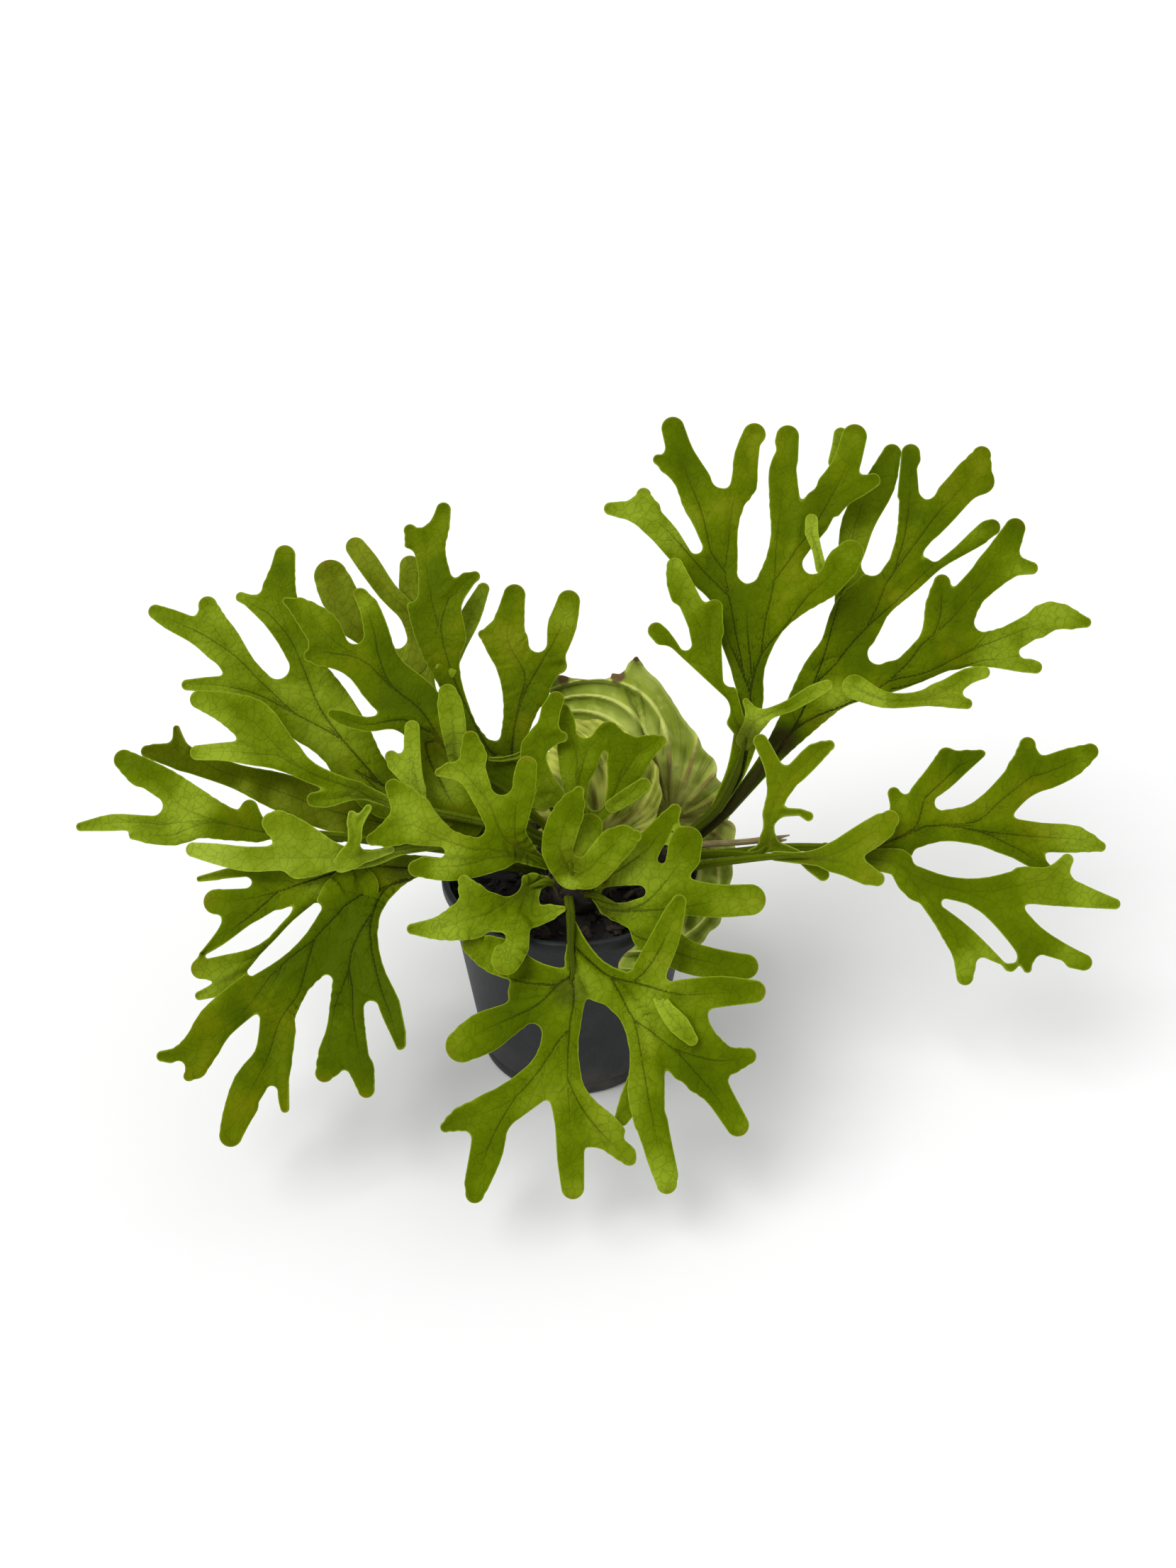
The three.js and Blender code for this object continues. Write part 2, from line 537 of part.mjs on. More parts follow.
Object.assign(FRONDS, {
  frond_left_mid: {
    colour: 0x7c9a1c,
    stalk: [[-3, 9, 33, 2.1], [-15, 22, 34, 2], [-30, 34, 34, 2], [-45, 44, 33, 2], [-60, 56, 31, 1.2]],
    bays: [[[[-103.5, 111, 4.5], [-106, 120, 5.5], [-110, 128, 6]]]],
    layers: [[
      [[-45, 44, 33, 2.4], [-57, 52, 31.5, 3], [-62, 60, 31, 6], [-72, 75, 30, 12], [-86, 86, 29, 13],
        [-98, 98, 28, 11],
        [-112, 107, 27, 10], [-122, 117, 26, 8], [-130, 124, 25, 5], [-136, 127, 25, 2]],
      [[-112, 104, 27, 8], [-120, 102, 26, 6], [-125, 101, 26, 3]],
      [[-92, 98, 28, 9], [-94, 112, 28, 7], [-98, 124, 27, 6], [-101, 129, 26, 4.5]],
      [[-74, 70, 31, 8], [-85, 70, 33, 4], [-98, 68, 35, 3.5], [-110, 71.5, 36, 3.5], [-114, 73, 36, 2.5]],
    ], [
      [[-57, 50, 32, 2.5], [-66, 44, 36, 2], [-73, 43, 38, 2.5], [-77, 54, 39, 4], [-76, 66, 39, 3.5]],
      [[-72, 41, 38, 2.5], [-80, 42, 37, 4], [-85, 50, 36, 4], [-86, 53, 36, 3]],
    ], [
      [[-55, 50, 32, 3.2], [-56, 65, 36.5, 6], [-58, 78, 37.5, 6], [-59, 83, 37.5, 4.5]],
    ]],
  },
  frond_left_upper: {
    colour: 0x738f16,
    stalk: [[-3, 7, 22, 2.1], [-25, 20, 19, 2], [-50, 28, 18, 2], [-70, 34, 17, 2], [-88, 40, 16.5, 1.2]],
    bays: [[[[-140.5, 95.5, 5.8], [-146, 103, 7], [-152, 112, 6.5], [-159, 121, 5]]]],
    layers: [[
      [[-72, 34, 17, 2.4], [-88, 38, 17, 5], [-98, 48, 16, 9], [-110, 62, 14, 14], [-120, 76, 12, 15],
        [-128, 95, 9, 10],
        [-136, 115, 6, 10], [-140, 128, 4, 9], [-138, 142, 2, 6], [-137, 149, 1, 5]],
      [[-140, 120, 5, 7], [-148, 123, 5, 6], [-158, 129, 4, 2.5]],
      [[-122, 70, 12, 12], [-130, 72, 11, 11], [-148, 88, 9, 11], [-160, 101, 7, 10],
        [-170, 113, 5, 8], [-174, 125, 4, 4.5]],
      [[-170, 108, 5, 8], [-180, 113, 4, 6], [-192, 118.5, 3, 5], [-199, 122, 3, 3.5]],
      [[-140, 78, 10, 8], [-155, 84, 11, 5], [-170, 87, 12, 4], [-184, 87, 12, 2.5]],
    ]],
  },
  frond_left_upper_front: {
    colour: 0x86a32a,
    stalk: [[-8, 9, 27, 2], [-30, 18, 29, 2], [-55, 24, 31, 1.9], [-85, 30, 32, 1.9], [-102, 37, 33, 1.2]],
    layers: [[
      [[-85, 30, 32, 2.4], [-100, 36, 33, 3.5], [-112, 40, 33.5, 4], [-125, 45, 34, 5], [-136, 53, 35, 7],
        [-145, 62, 35.5, 9.5], [-153, 70, 36, 10.5], [-165, 76, 37, 7.5], [-178, 80, 37, 4.5]],
      [[-136, 53, 35, 6], [-150, 54, 34, 6], [-165, 55, 33, 4.5], [-179, 54.5, 32, 3.5]],
      [[-103, 36, 33, 3], [-110, 33, 34, 2.8], [-118, 32, 35, 4], [-123, 32, 35, 3.5]],
    ]],
  },
  frond_left_dark: {
    colour: 0x566e10,
    stalk: [[-12, -2, 15, 2.1], [-30, 8, 14, 2], [-60, 14, 13, 2], [-78, 18, 12.5, 1.2]],
    layers: [[
      [[-60, 14, 13, 2.6], [-90, 22, 12, 6], [-115, 27, 11, 10], [-140, 36, 11, 9], [-160, 43, 12, 6],
        [-180, 50, 14, 6],
        [-195, 54, 15, 5], [-203, 55, 16, 3]],
      [[-186, 52, 14.5, 4], [-188, 60, 13.5, 3], [-189, 66, 13, 1.5]],
    ]],
  },
  frond_left_far: {
    colour: 0x92ad34,
    stalk: [[-13, 0, 21, 2], [-35, 4, 24, 2], [-60, 8, 27, 2], [-85, 11, 29, 2], [-110, 14, 30.5, 1.9],
      [-128, 15, 31, 1.2]],
    bays: [[[[-200, 29, 4.5], [-207, 32, 6]]]],
    layers: [[
      [[-110, 14, 30.5, 2.4], [-142, 16, 31, 3], [-155, 18, 31, 6], [-170, 22, 31, 9], [-185, 28, 31, 12],
        [-195, 38, 30, 9], [-207, 46, 29, 7], [-214, 51, 28, 5]],
      [[-188, 22, 31, 8], [-195, 20, 31, 6], [-205, 21, 30, 3.6], [-220, 21, 29, 4], [-235, 19, 28, 2]],
      [[-185, 18, 32, 6], [-190, 15, 34, 5], [-203, 15, 36.5, 4], [-210, 14.5, 37, 1.5]],
      [[-150, 17, 31, 4], [-152, 22, 32, 4.5], [-154, 28, 33, 4]],
    ]],
  },
  frond_left_light: {
    colour: 0x9ab548,
    stalk: [[-11, 2, 27, 2], [-35, 8, 33, 2], [-66, 10, 40, 1.9], [-82, 8, 43, 1.6], [-96, 5, 44.5, 1.1]],
    layers: [[
      [[-66, 10, 40, 2.2], [-82, 8, 43, 2.8], [-95, 4, 45, 4], [-110, 4, 47, 6], [-122, 7, 48, 9],
        [-132, 14, 47, 9],
        [-140, 20, 46, 7], [-143, 21, 46, 5]],
      [[-125, 4, 48, 7], [-140, 4, 48.5, 6], [-155, 3.5, 48, 6], [-170, 6, 47, 5], [-181, 8, 46, 3.5]],
      [[-124, 3, 48, 7], [-129, 0, 49, 5.5], [-131, -2, 49, 4]],
    ], [
      [[-104, 1, 46, 3], [-104, 6, 49.5, 3], [-103, 15, 51.5, 2.5], [-101, 22, 52, 3], [-97, 27, 52, 1.5]],
    ]],
  },
  frond_left_low: {
    colour: 0x6f8a14,
    stalk: [[-14, -3, 30, 2.4], [-20, -1, 32, 2.4], [-40, 1, 35, 2.4], [-60, 1, 36, 2.2],
      [-80, -2, 36.5, 1.2]],
    bays: [[
      [[-75, -16, 7.5], [-79, -28, 13], [-78, -42, 13], [-72, -54, 13.5]],
      [[-95.6, -68, 3.6], [-94, -76, 4.7], [-90.5, -88, 6.6]],
      [[-117, -55, 3], [-121, -63, 6], [-125, -74, 7.2]],
      [[-143.3, -108, 2.8], [-145, -114, 4.5]],
      [[-188, -96.5, 3.2], [-191, -101, 4]],
      [[-122, -20, 2.6], [-130, -29, 4.5], [-138, -37.5, 4.5], [-146, -44.5, 3.6], [-153, -50.5, 2]],
    ], [
      [[-122, -20, 2.6], [-130, -29, 4.5], [-138, -37.5, 4.5], [-146, -44.5, 3.6], [-153, -50.5, 2]],
      [[-141, -24, 2.8], [-148, -30.5, 4.8], [-156, -35.5, 4.5], [-166, -40, 2.2], [-174, -43, 1]],
      [[-156, -7.7, 2.7], [-166, -8.5, 2]],
    ]],
    layers: [[
      [[-60, 1, 36, 2.8], [-75, 0, 36.5, 5.5], [-90, -5, 38, 10], [-105, -18, 43, 16], [-103, -40, 52, 14],
        [-104, -60, 60, 13], [-105, -80, 67, 9], [-100, -98, 72, 6], [-98, -107, 73, 4]],
      [[-98, -40, 53, 10], [-92, -50, 57, 8], [-88, -65, 63, 6], [-83, -80, 68, 4], [-82, -85, 69, 3]],
      [[-108, -78, 67, 8], [-113, -90, 70, 8], [-118, -99, 72, 4.5]],
      [[-112, -28, 48, 14], [-122, -40, 52, 12], [-135, -58, 58, 13], [-140, -75, 63, 9],
        [-143, -92, 67, 9],
        [-153, -105, 70, 9], [-160, -120, 73, 7], [-163, -129, 74, 5.5]],
      [[-141, -96, 68, 6], [-139, -105, 70, 4], [-137, -116, 71, 2]],
      [[-128, -44, 53, 9], [-140, -50, 55, 8], [-155, -62, 57, 9], [-170, -75, 61, 9], [-178, -87, 64, 8],
        [-190, -91, 65, 3.8], [-196, -91, 65, 2.5]],
      [[-178, -88, 64, 7], [-180, -96, 66, 6], [-183, -100, 67, 3]],
    ], [
      [[-100, -10, 40, 8], [-118, -12, 41, 7], [-132, -27, 43, 4.5], [-150, -43, 45, 6], [-168, -48, 47, 6],
        [-177, -49, 48, 5]],
      [[-150, -45, 45, 5], [-165, -57, 46, 4], [-178, -62, 47, 2]],
      [[-104, -7, 40, 8], [-120, -5, 40, 8], [-140, -12, 39.5, 8.5], [-155, -20, 40, 8],
        [-165, -32, 41, 4.5],
        [-176, -42, 42, 1.5]],
      [[-152, -18, 40, 7], [-160, -17, 40, 7], [-170, -17, 40, 6]],
      [[-134, -8, 39.5, 6], [-145, -4, 38.5, 5], [-160, -3, 38, 3], [-178, -6, 37, 1.2]],
    ]],
  },
});

Object.assign(FRONDS, {
  frond_right_upper: {
    colour: 0x6a8a12,
    stalk: [[53, 14, 9, 2.4], [58, 17, 10, 2.4], [70, 28, 9.5, 2.6], [79, 45, 6.5, 2.4], [84, 62, 3, 1.4]],
    bays: [[
      [[47, 172, 4], [54, 164, 4], [60, 153, 3.2]],
      [[72, 186, 4.5], [72, 190, 5]],
      [[85, 141, 5.2], [87, 150, 7], [88, 160, 8], [89, 170, 6.5], [92, 180, 2.8], [91.7, 190, 2],
        [94.5, 200, 4]],
      [[113.8, 184, 4.2], [113.5, 190, 5]],
      [[116, 145, 5], [120, 152, 4], [125, 160, 2.5], [127, 166, 1.5]],
      [[100, 84, 7.5], [101, 93, 8.2], [108, 107, 8.5], [118, 117, 7], [125, 124, 4]],
    ], [
      [[68, 75, 8.5], [55, 87, 8.5], [44, 98, 8]],
      [[77, 90, 4], [76, 100, 3.5], [75, 108, 2.5]],
      [[55, 106.5, 3], [52.5, 113, 4.2], [49, 122, 4]],
    ]],
    layers: [[
      [[70, 28, 9.5, 2.8], [79, 45, 6.5, 4.5], [84, 62, 3, 6], [86, 78, 0, 6], [86, 92, -3, 8],
        [78, 112, -6, 7],
        [75, 130, -9, 7], [66, 138, -9, 7], [56, 148, -9, 7], [45, 162, -8, 8], [36, 170, -7, 7],
          [35, 178, -7, 3.5]],
      [[34, 170, -7, 5], [24, 171, -6, 4], [19, 171.5, -6, 3]],
      [[75, 134, -10, 9], [72, 150, -12, 9], [68, 168, -14, 12], [60, 182, -15, 9],
        [53, 197, -16, 6.5], [49, 210, -16, 5.5]],
      [[54, 190, -15, 6], [47, 193, -15, 5], [42, 195, -15, 2.5]],
      [[76, 155, -13, 8], [78, 165, -14, 8], [83, 182, -17, 7], [85, 197, -19, 6.5], [88, 207, -20, 5.5]],
      [[88, 92, -3, 8], [94, 108, -6, 9], [97, 128, -9, 14], [102, 150, -12, 10], [102, 172, -15, 8],
        [102, 190, -18, 7],
        [104, 206, -19, 5.5]],
      [[104, 140, -11, 9], [114, 160, -12, 9], [122, 175, -14, 9], [131, 190, -16, 7], [136, 206, -18, 6]],
      [[126, 178, -14, 7], [138, 182, -14, 5], [145, 185, -14, 3.5]],
      [[99, 120, -7, 8], [105, 125, -6, 8], [118, 133, -4, 8], [130, 145, -3, 8], [134, 150, -3, 6.5]],
    ], [
      [[83, 64, 3, 4], [79, 70, 4.5, 4.5], [74, 82, 5, 6], [66, 95, 4, 9], [55, 99, 4, 5.5],
        [46, 108, 4, 4.5], [41, 113, 4, 4]],
      [[65, 98, 4, 8], [64, 110, 3, 8], [58, 122, 2, 7], [52, 136, 1, 6], [50, 144, 1, 4]],
      [[66, 108, 3, 6], [67, 115, 2, 6], [69, 124, 1, 4]],
    ], [
      [[84, 60, 3.5, 5], [88, 69, 5, 4], [97, 74, 7, 2.6], [105, 77, 8, 3], [116, 83.5, 9, 3.5],
        [123, 87, 9, 2.5]],
      [[89, 70, 5, 4], [84, 79, 7, 1.5]],
    ]],
  },
  frond_right_tall: {
    colour: 0x6f8d14,
    stalk: [[56, 11, 3, 2.4], [64, 17, 4, 2.4], [75, 27, 4, 2.6], [90, 45, 0, 2.4], [101, 60, -6, 1.4]],
    bays: [[
      [[144.5, 144.5, 5.3], [147.5, 150, 6], [150, 157, 5.7], [153, 165, 4], [156, 175, 1.3]],
      [[171, 180.5, 4.2], [170, 190, 4]],
      [[174.5, 149.5, 3.5], [181, 156, 4.5], [188, 163, 4.5], [196, 171, 5]],
      [[147.5, 102, 5.2], [153, 106, 7.5], [159, 114, 8.5]],
    ], [
      [[147.5, 102, 5.2], [153, 106, 7.5], [159, 114, 8.5]],
      [[198, 117, 4.6], [204, 122, 8], [213, 128, 9]],
      [[218, 102.5, 2.8], [224, 105, 4]],
    ]],
    layers: [[
      [[75, 27, 4, 2.9], [90, 45, 0, 4], [100, 58, -6, 6], [112, 74, -11, 10], [124, 90, -15, 14],
        [132, 103, -17, 13],
        [138, 120, -20, 13], [145, 132, -22, 9], [158, 148, -24, 9], [163, 165, -27, 8], [163, 182, -30, 6],
        [163, 198, -32, 4.5]],
      [[135, 128, -22, 8], [135, 145, -24, 7], [138, 165, -27, 8], [150, 183, -30, 8],
        [157, 199, -32, 4.5]],
      [[163, 158, -25, 7], [172, 165, -26, 8], [184, 178, -28, 8], [193, 188, -29, 8],
        [197, 197, -30, 4.5]],
      [[192, 186, -29, 6], [198, 184, -29, 5]],
      [[148, 128, -22, 8], [163, 137, -23, 5.5], [175, 146, -24, 3.8], [186, 154, -24, 4.5],
        [196, 161, -25, 4.8], [201, 162, -25, 3]],
    ], [
      [[118, 80, -13, 10], [128, 88, -15, 12], [140, 90, -15, 10], [155, 92, -15, 8],
        [170, 100, -15, 10], [183, 110, -15, 12],
        [190, 125, -15, 10], [200, 138, -14, 9], [208, 152, -13, 7], [213, 162, -12, 5]],
      [[178, 112, -15, 9], [177, 125, -16, 7], [178, 136, -16, 4]],
      [[203, 142, -14, 7], [212, 144, -13, 5], [221, 143, -12, 3]],
      [[186, 104, -14, 9], [198, 107, -13, 9], [215, 112, -11, 8], [230, 120, -9, 7],
        [240, 118.5, -8, 5], [247, 117, -7, 2.5]],
      [[198, 103, -13, 7], [205, 101, -12, 6], [217, 97, -10, 4], [223, 95.5, -10, 3]],
    ], [
      [[136, 86, -14, 6], [150, 80, -11, 4], [165, 80, -8, 3.5], [178, 83.5, -6, 5], [190, 91, -4, 4],
        [198, 93, -3, 3]],
      [[176, 82, -6, 4], [182, 80, -5, 4], [190, 78, -4, 2.5]],
    ]],
  },
  frond_right_low: {
    colour: 0x7a9818,
    stalk: [[56, 4, 9, 2], [60, 5, 13.5, 2], [80, 7, 15, 2], [100, 9, 15, 2], [122, 9, 15, 2],
      [146, 7, 16.5, 1.2]],
    bays: [[
      [[178, 30.5, 3.6], [186, 34, 5.5], [194, 40, 6.5], [203, 49, 6]],
      [[168, 5, 4.2], [178, 6, 6], [190, 5, 6], [200, 3.5, 4.5], [210, 1.5, 2.3]],
    ], [
      [[168, 4, 4.2], [178, 2, 5.5], [190, -1, 4.6], [200, -1, 4], [210, 0, 2.5]],
      [[180, -18, 2], [188, -21.5, 3.5], [196, -28, 4], [204, -36, 4], [210, -43, 3.5]],
      [[197.5, -47, 3.3], [204, -50.5, 4]],
      [[226, -46, 3.6], [233, -49, 4.5]],
    ]],
    layers: [[
      [[122, 9, 15, 2.4], [138, 6, 16, 4], [150, 11, 17, 8], [165, 19, 18, 12], [170, 33, 17, 8],
        [180, 44, 15, 9],
        [180, 53, 14, 4]],
      [[182, 46, 15, 7], [190, 50, 14, 6], [196, 52, 13, 4]],
      [[160, 24, 18, 6], [157, 30, 19, 4], [155, 35, 19, 3]],
      [[165, 19, 18, 12], [180, 20, 19, 9], [195, 22, 19, 9], [207, 33, 18, 9], [217, 45, 16, 8],
        [219, 58, 14, 4]],
      [[216, 42, 16, 8], [228, 45, 16, 8], [240, 50, 15, 7], [249, 55, 14, 4]],
      [[190, 18, 20, 8], [205, 16, 20, 8], [225, 14, 20, 7], [242, 13, 19, 6.5], [254, 9.5, 18, 2.5]],
      [[206, 12, 21, 6], [215, 8, 21.5, 5], [224, 2, 21.5, 4], [230, -2, 21.5, 1.5]],
    ], [
      [[136, 6, 16, 3.4], [148, 3, 18, 5.5], [157, 2, 20, 6.5], [164, -4, 22, 7], [180, -10, 25, 6],
        [200, -12, 27, 8], [218, -9, 28, 9],
        [232, -11, 28, 8], [248, -15, 28, 5], [261, -18, 28, 2.5]],
      [[230, -8, 28, 6], [234, -3, 28, 5], [238, 3, 28, 3]],
      [[200, -14, 27, 8], [208, -22, 30, 8], [220, -35, 32, 8], [235, -42, 33, 5.5], [246, -46, 34, 4]],
      [[219, -38, 32, 6], [218, -44, 33, 4], [219, -49, 34, 2]],
      [[162, -7, 22, 5], [168, -12, 24, 4], [178, -24, 28, 5], [190, -37, 32, 8], [202, -44, 34, 5],
        [211, -48, 35, 2.5]],
      [[190, -40, 33, 6], [189, -47, 34, 5], [189, -53, 35, 4]],
      [[164, -8, 23, 4], [165, -12, 25, 3.5], [163, -7, 27, 2.5]],
    ]],
  },
  frond_right_small: {
    colour: 0x9db84a,
    stalk: [[53, 0, 11, 1.8], [57, -0.5, 20, 1.8], [66, 1, 24.5, 1.8], [80, 3, 25, 1.8],
      [100, 5, 25, 1.6], [114, 4.5, 25, 1.1]],
    layers: [[
      [[98, 5, 25, 2.2], [112, 4, 25, 3], [125, 5.5, 26, 5.5], [139, 12.5, 27, 7], [149, 19, 27, 6.5],
        [153, 22.5, 26, 4.5]],
      [[127, 3, 26, 6], [133, 1, 27, 6], [142, -4, 29, 5], [147, -6, 29, 3.5]],
    ]],
  },
  frond_right_upright: {
    colour: 0x94b03c,
    stalk: [[50, 7, 15, 1.7], [58, 6.5, 19.5, 1.6], [75, 6.5, 20.5, 1.6], [88, 6, 21, 1.6],
      [94, 10, 21, 1.2]],
    layers: [[
      [[86, 6, 21, 1.9], [94, 10, 21, 3], [95, 20, 20, 2.6], [97, 30, 19, 4], [100, 38, 18, 5.5],
        [96, 50, 17, 4], [91, 60, 16, 3.5]],
      [[101, 40, 18, 5], [108, 45, 18, 5], [117, 54, 17, 5], [124, 58, 17, 2.5]],
      [[96, 25, 20, 2.5], [103, 26, 21, 2], [110, 26, 22, 1.6], [114, 24, 22, 2.3]],
      [[94, 13, 21, 2.5], [98, 10, 21, 2.4], [108, 6, 20.5, 2.2], [115, 0, 20, 2.5], [121, -4, 20, 3]],
    ]],
  },
});

// ---- The shield fronds ------------------------------------------------------------------------
// A shield is a fan of ribs from its hub, [x, v, t, half width]. Its edge is scalloped between them.
const SHIELDS = {
  shield_back: {
    colour: 0xa9b56a,
    root: [[46, 15, -1, 2.6], [46, 19, -4, 2.6], [46, 25, -5, 1.5]],
    hub: [46, 27, -5, 9],
    ribs: [
      [[14, 58, 0, 8], [-8, 86, -8, 5]], [[20, 62, 0, 9], [2, 88, -9, 5]], [[26, 64, 0, 9],
        [12, 87, -9, 5]],
      [[32, 66, 1, 9], [23, 89, -9, 5.5]], [[38, 68, 2, 9], [33, 95, -11, 4]], [[40, 60, 3, 10],
        [40, 81, -8, 7]],
      [[44, 54, 4, 10], [47, 68, -6, 7]], [[50, 46, 3, 10], [56, 57, -5, 6.5]], [[55, 38, 2, 9],
        [63, 47, -5, 5.5]],
      [[57, 32, 1, 8], [67, 37, -5, 5]], [[58, 27, -1, 7], [71, 26, -5, 5]],
    ],
  },
  shield_dome: {
    colour: 0xa4ad58,
    root: [[8, 8, 17, 2.6], [10, 12, 15.5, 2.6], [12, 18, 16, 1.5]],
    hub: [12, 18, 16, 9],
    ribs: [
      [[-2, 30, 18, 8], [-14, 36, 10, 4.5]], [[0, 38, 20, 8], [-13, 50, 8, 5]], [[4, 44, 21, 8],
        [-7, 61, 7, 5]],
      [[9, 46, 21, 8], [2, 66, 6, 5]], [[15, 48, 21, 8], [12, 67, 6, 5]], [[20, 46, 21, 8], [22, 63, 7, 5]],
      [[24, 42, 21, 8], [31, 55, 9, 5]], [[27, 36, 20, 8], [37, 45, 11, 5]], [[28, 30, 19, 7],
        [38, 34, 13, 5]],
      [[26, 24, 18, 6], [36, 25, 13, 4]],
    ],
  },
  shield_rim: {
    colour: 0x9dab68,
    root: [[56, 8, -3, 2.2], [61, 11, -5, 2.2], [67, 12, -3, 1.4]],
    ribs: [
      [[69, 13, -2, 6], [75, 16, 1, 4]], [[68, 6, 0, 6], [75, 7, 1, 4]], [[68, -2, 7, 6], [73, -3, 6, 4]],
      [[67, -9, 15, 6], [71, -14, 15, 4.5]], [[62, -16, 26, 6], [67, -25, 25, 5]],
      [[57, -22, 32, 6], [59, -33, 32, 5]], [[49, -29, 42, 5], [51, -38, 41, 4.5]],
      [[42, -35, 45, 4], [41, -43, 45, 4]], [[34, -41, 47.5, 4], [33, -46, 47.5, 4]],
        [[30, -44, 49, 3.5], [27, -48, 50, 4]],
    ],
    spine: [[67, 11, -3, 6], [67, 2, 4, 5], [65, -7, 15, 5], [60, -18, 29, 4.5], [50, -28, 41.5, 3.5],
      [37, -39, 47, 3.2], [28, -45, 49.5, 3.2]],
  },
};

const DEAD_STALK = [[56, 9, 10, 1.6], [62, 10.5, 12, 1.6], [80, 11.5, 13, 1.5], [94, 13, 13, 1.5],
  [105, 15, 13.5, 1.2]];

const RIB_HEIGHT = 1.1;
const SCALLOP_ROUNDING = 3;

function shieldBlade({ hub, ribs, spine }) {
  const lobes = ribs.map((rib) => (hub ? [hub, ...rib] : rib));
  const lift = (x, v) => {
    const across = Math.min(1, ...lobes.map((lobe) => nearestOnLobe(lobe, x, v).across));
    return RIB_HEIGHT * Math.cos(Math.PI * across);
  };
  const valleys = ribs.slice(1).map((rib, i) => rib
    .map((row, n) => row.map((value, axis) => (value + ribs[i][n][axis]) / 2)));
  return blade(spine ? [spine, ...lobes] : lobes, {
    thickness: SHIELD_THICKNESS, rounding: SCALLOP_ROUNDING, lift, guides: valleys,
  });
}

// ---- Pot, bark mix and crowns -------------------------------------------------------------------
function lathe(profile) {
  const points = profile.map(([radius, height]) => new THREE.Vector2(radius, height));
  return solid(new THREE.LatheGeometry(points, POT_SIDES).rotateX(Math.PI / 2));
}

// The pot's inner radius at a height above the table.
function innerRadius(height) {
  const [foot, rim] = [POT_FOOT_RADIUS, POT_RIM_RADIUS - LIP_STEP];
  return foot + ((rim - foot) * height) / POT_HEIGHT - POT_WALL;
}

function pot() {
  const lipFoot = POT_HEIGHT - LIP_DEPTH;
  const shell = lathe([
    [0, 0], [POT_FOOT_RADIUS - FOOT_CHAMFER, 0], [POT_FOOT_RADIUS, FOOT_CHAMFER],
    [innerRadius(lipFoot) + POT_WALL, lipFoot], [POT_RIM_RADIUS, lipFoot + LIP_CHAMFER],
    [POT_RIM_RADIUS, POT_HEIGHT - LIP_CHAMFER], [POT_RIM_RADIUS - LIP_CHAMFER, POT_HEIGHT],
    [innerRadius(POT_HEIGHT), POT_HEIGHT], [innerRadius(POT_FLOOR), POT_FLOOR], [0, POT_FLOOR],
  ]);
  const drains = Array.from({ length: DRAIN_HOLES }, (_, n) => {
    const turn = (2 * Math.PI * (n + 0.5)) / DRAIN_HOLES;
    const drill = new THREE.CylinderGeometry(DRAIN_RADIUS, DRAIN_RADIUS, 4 * POT_FLOOR, 12)
      .rotateX(Math.PI / 2)
      .translate(DRAIN_CIRCLE * Math.cos(turn), DRAIN_CIRCLE * Math.sin(turn), POT_FLOOR);
    return solid(drill);
  });
  return shell.subtract(union(drains));
}

// A lumpy heap: chunks of bark, as a sum of waves of different lengths.
function lumps(x, y) {
  return SOIL_LUMP * (Math.sin(x / 3.1 + 0.7 * Math.sin(y / 4.3)) * Math.cos(y / 3.7 + 0.9)
    + 0.5 * Math.sin(x / 1.9 + y / 2.3));
}

function barkMix() {
  const [rings, sides] = [8, 28];
  const [low, high] = [POT_FLOOR + CLEARANCE, POT_HEIGHT - SOIL_DROP];
  const reach = innerRadius(high) - CLEARANCE;
  const points = [[0, 0, low]];
  const ringAt = (radius, height) => {
    for (let k = 0; k < sides; k += 1) {
      const turn = (2 * Math.PI * k) / sides;
      const [x, y] = [radius * Math.cos(turn), radius * Math.sin(turn)];
      points.push([x, y, height(x, y)]);
    }
  };
  ringAt(innerRadius(low) - CLEARANCE - SAGITTA, () => low);
  for (let n = rings; n > 0; n -= 1) {
    const radius = (reach * n) / rings;
    const calm = n === rings ? 0 : 1;
    ringAt(radius - SAGITTA, (x, y) => high + SOIL_DOME * (1 - (n / rings) ** 2) + calm * lumps(x, y));
  }
  points.push([0, 0, high + SOIL_DOME + lumps(0, 0)]);
  const faces = [];
  const last = points.length - 1;
  for (let k = 0; k < sides; k += 1) {
    const after = (k + 1) % sides;
    faces.push([0, 1 + after, 1 + k], [last, last - sides + k, last - sides + after]);
    for (let n = 0; n < rings; n += 1) {
      const [a, b] = [1 + n * sides + k, 1 + n * sides + after];
      faces.push([a, b, b + sides], [a, b + sides, a + sides]);
    }
  }
  return solid(meshGeometry(points, faces));
}

const CROWNS = {
  crown_main: { centre: [2, -6, 26], radius: 17 },
  crown_side: { centre: [46, 6, 4], radius: 12 },
};

// A crown is a knobbly rhizome, a little flattened, with the scars of old stalks.
function crown({ centre, radius }, extra = 0) {
  const ball = mergeVertices(
    new THREE.IcosahedronGeometry(1, 3).deleteAttribute('normal').deleteAttribute('uv'));
  const middle = place(centre);
  const spot = new THREE.Vector3();
  for (let i = 0; i < ball.attributes.position.count; i += 1) {
    spot.fromBufferAttribute(ball.attributes.position, i);
    const knobs = Math.sin(7 * spot.x + 2) * Math.sin(6 * spot.y + 1) * Math.sin(8 * spot.z);
    spot.multiplyScalar((radius * (0.97 + 0.06 * knobs)) + extra).add(middle);
    ball.attributes.position.setXYZ(i, spot.x, spot.y, spot.z);
  }
  return solid(ball);
}

// ---- The whole plant ------------------------------------------------------------------------------
const plant = new THREE.Group();

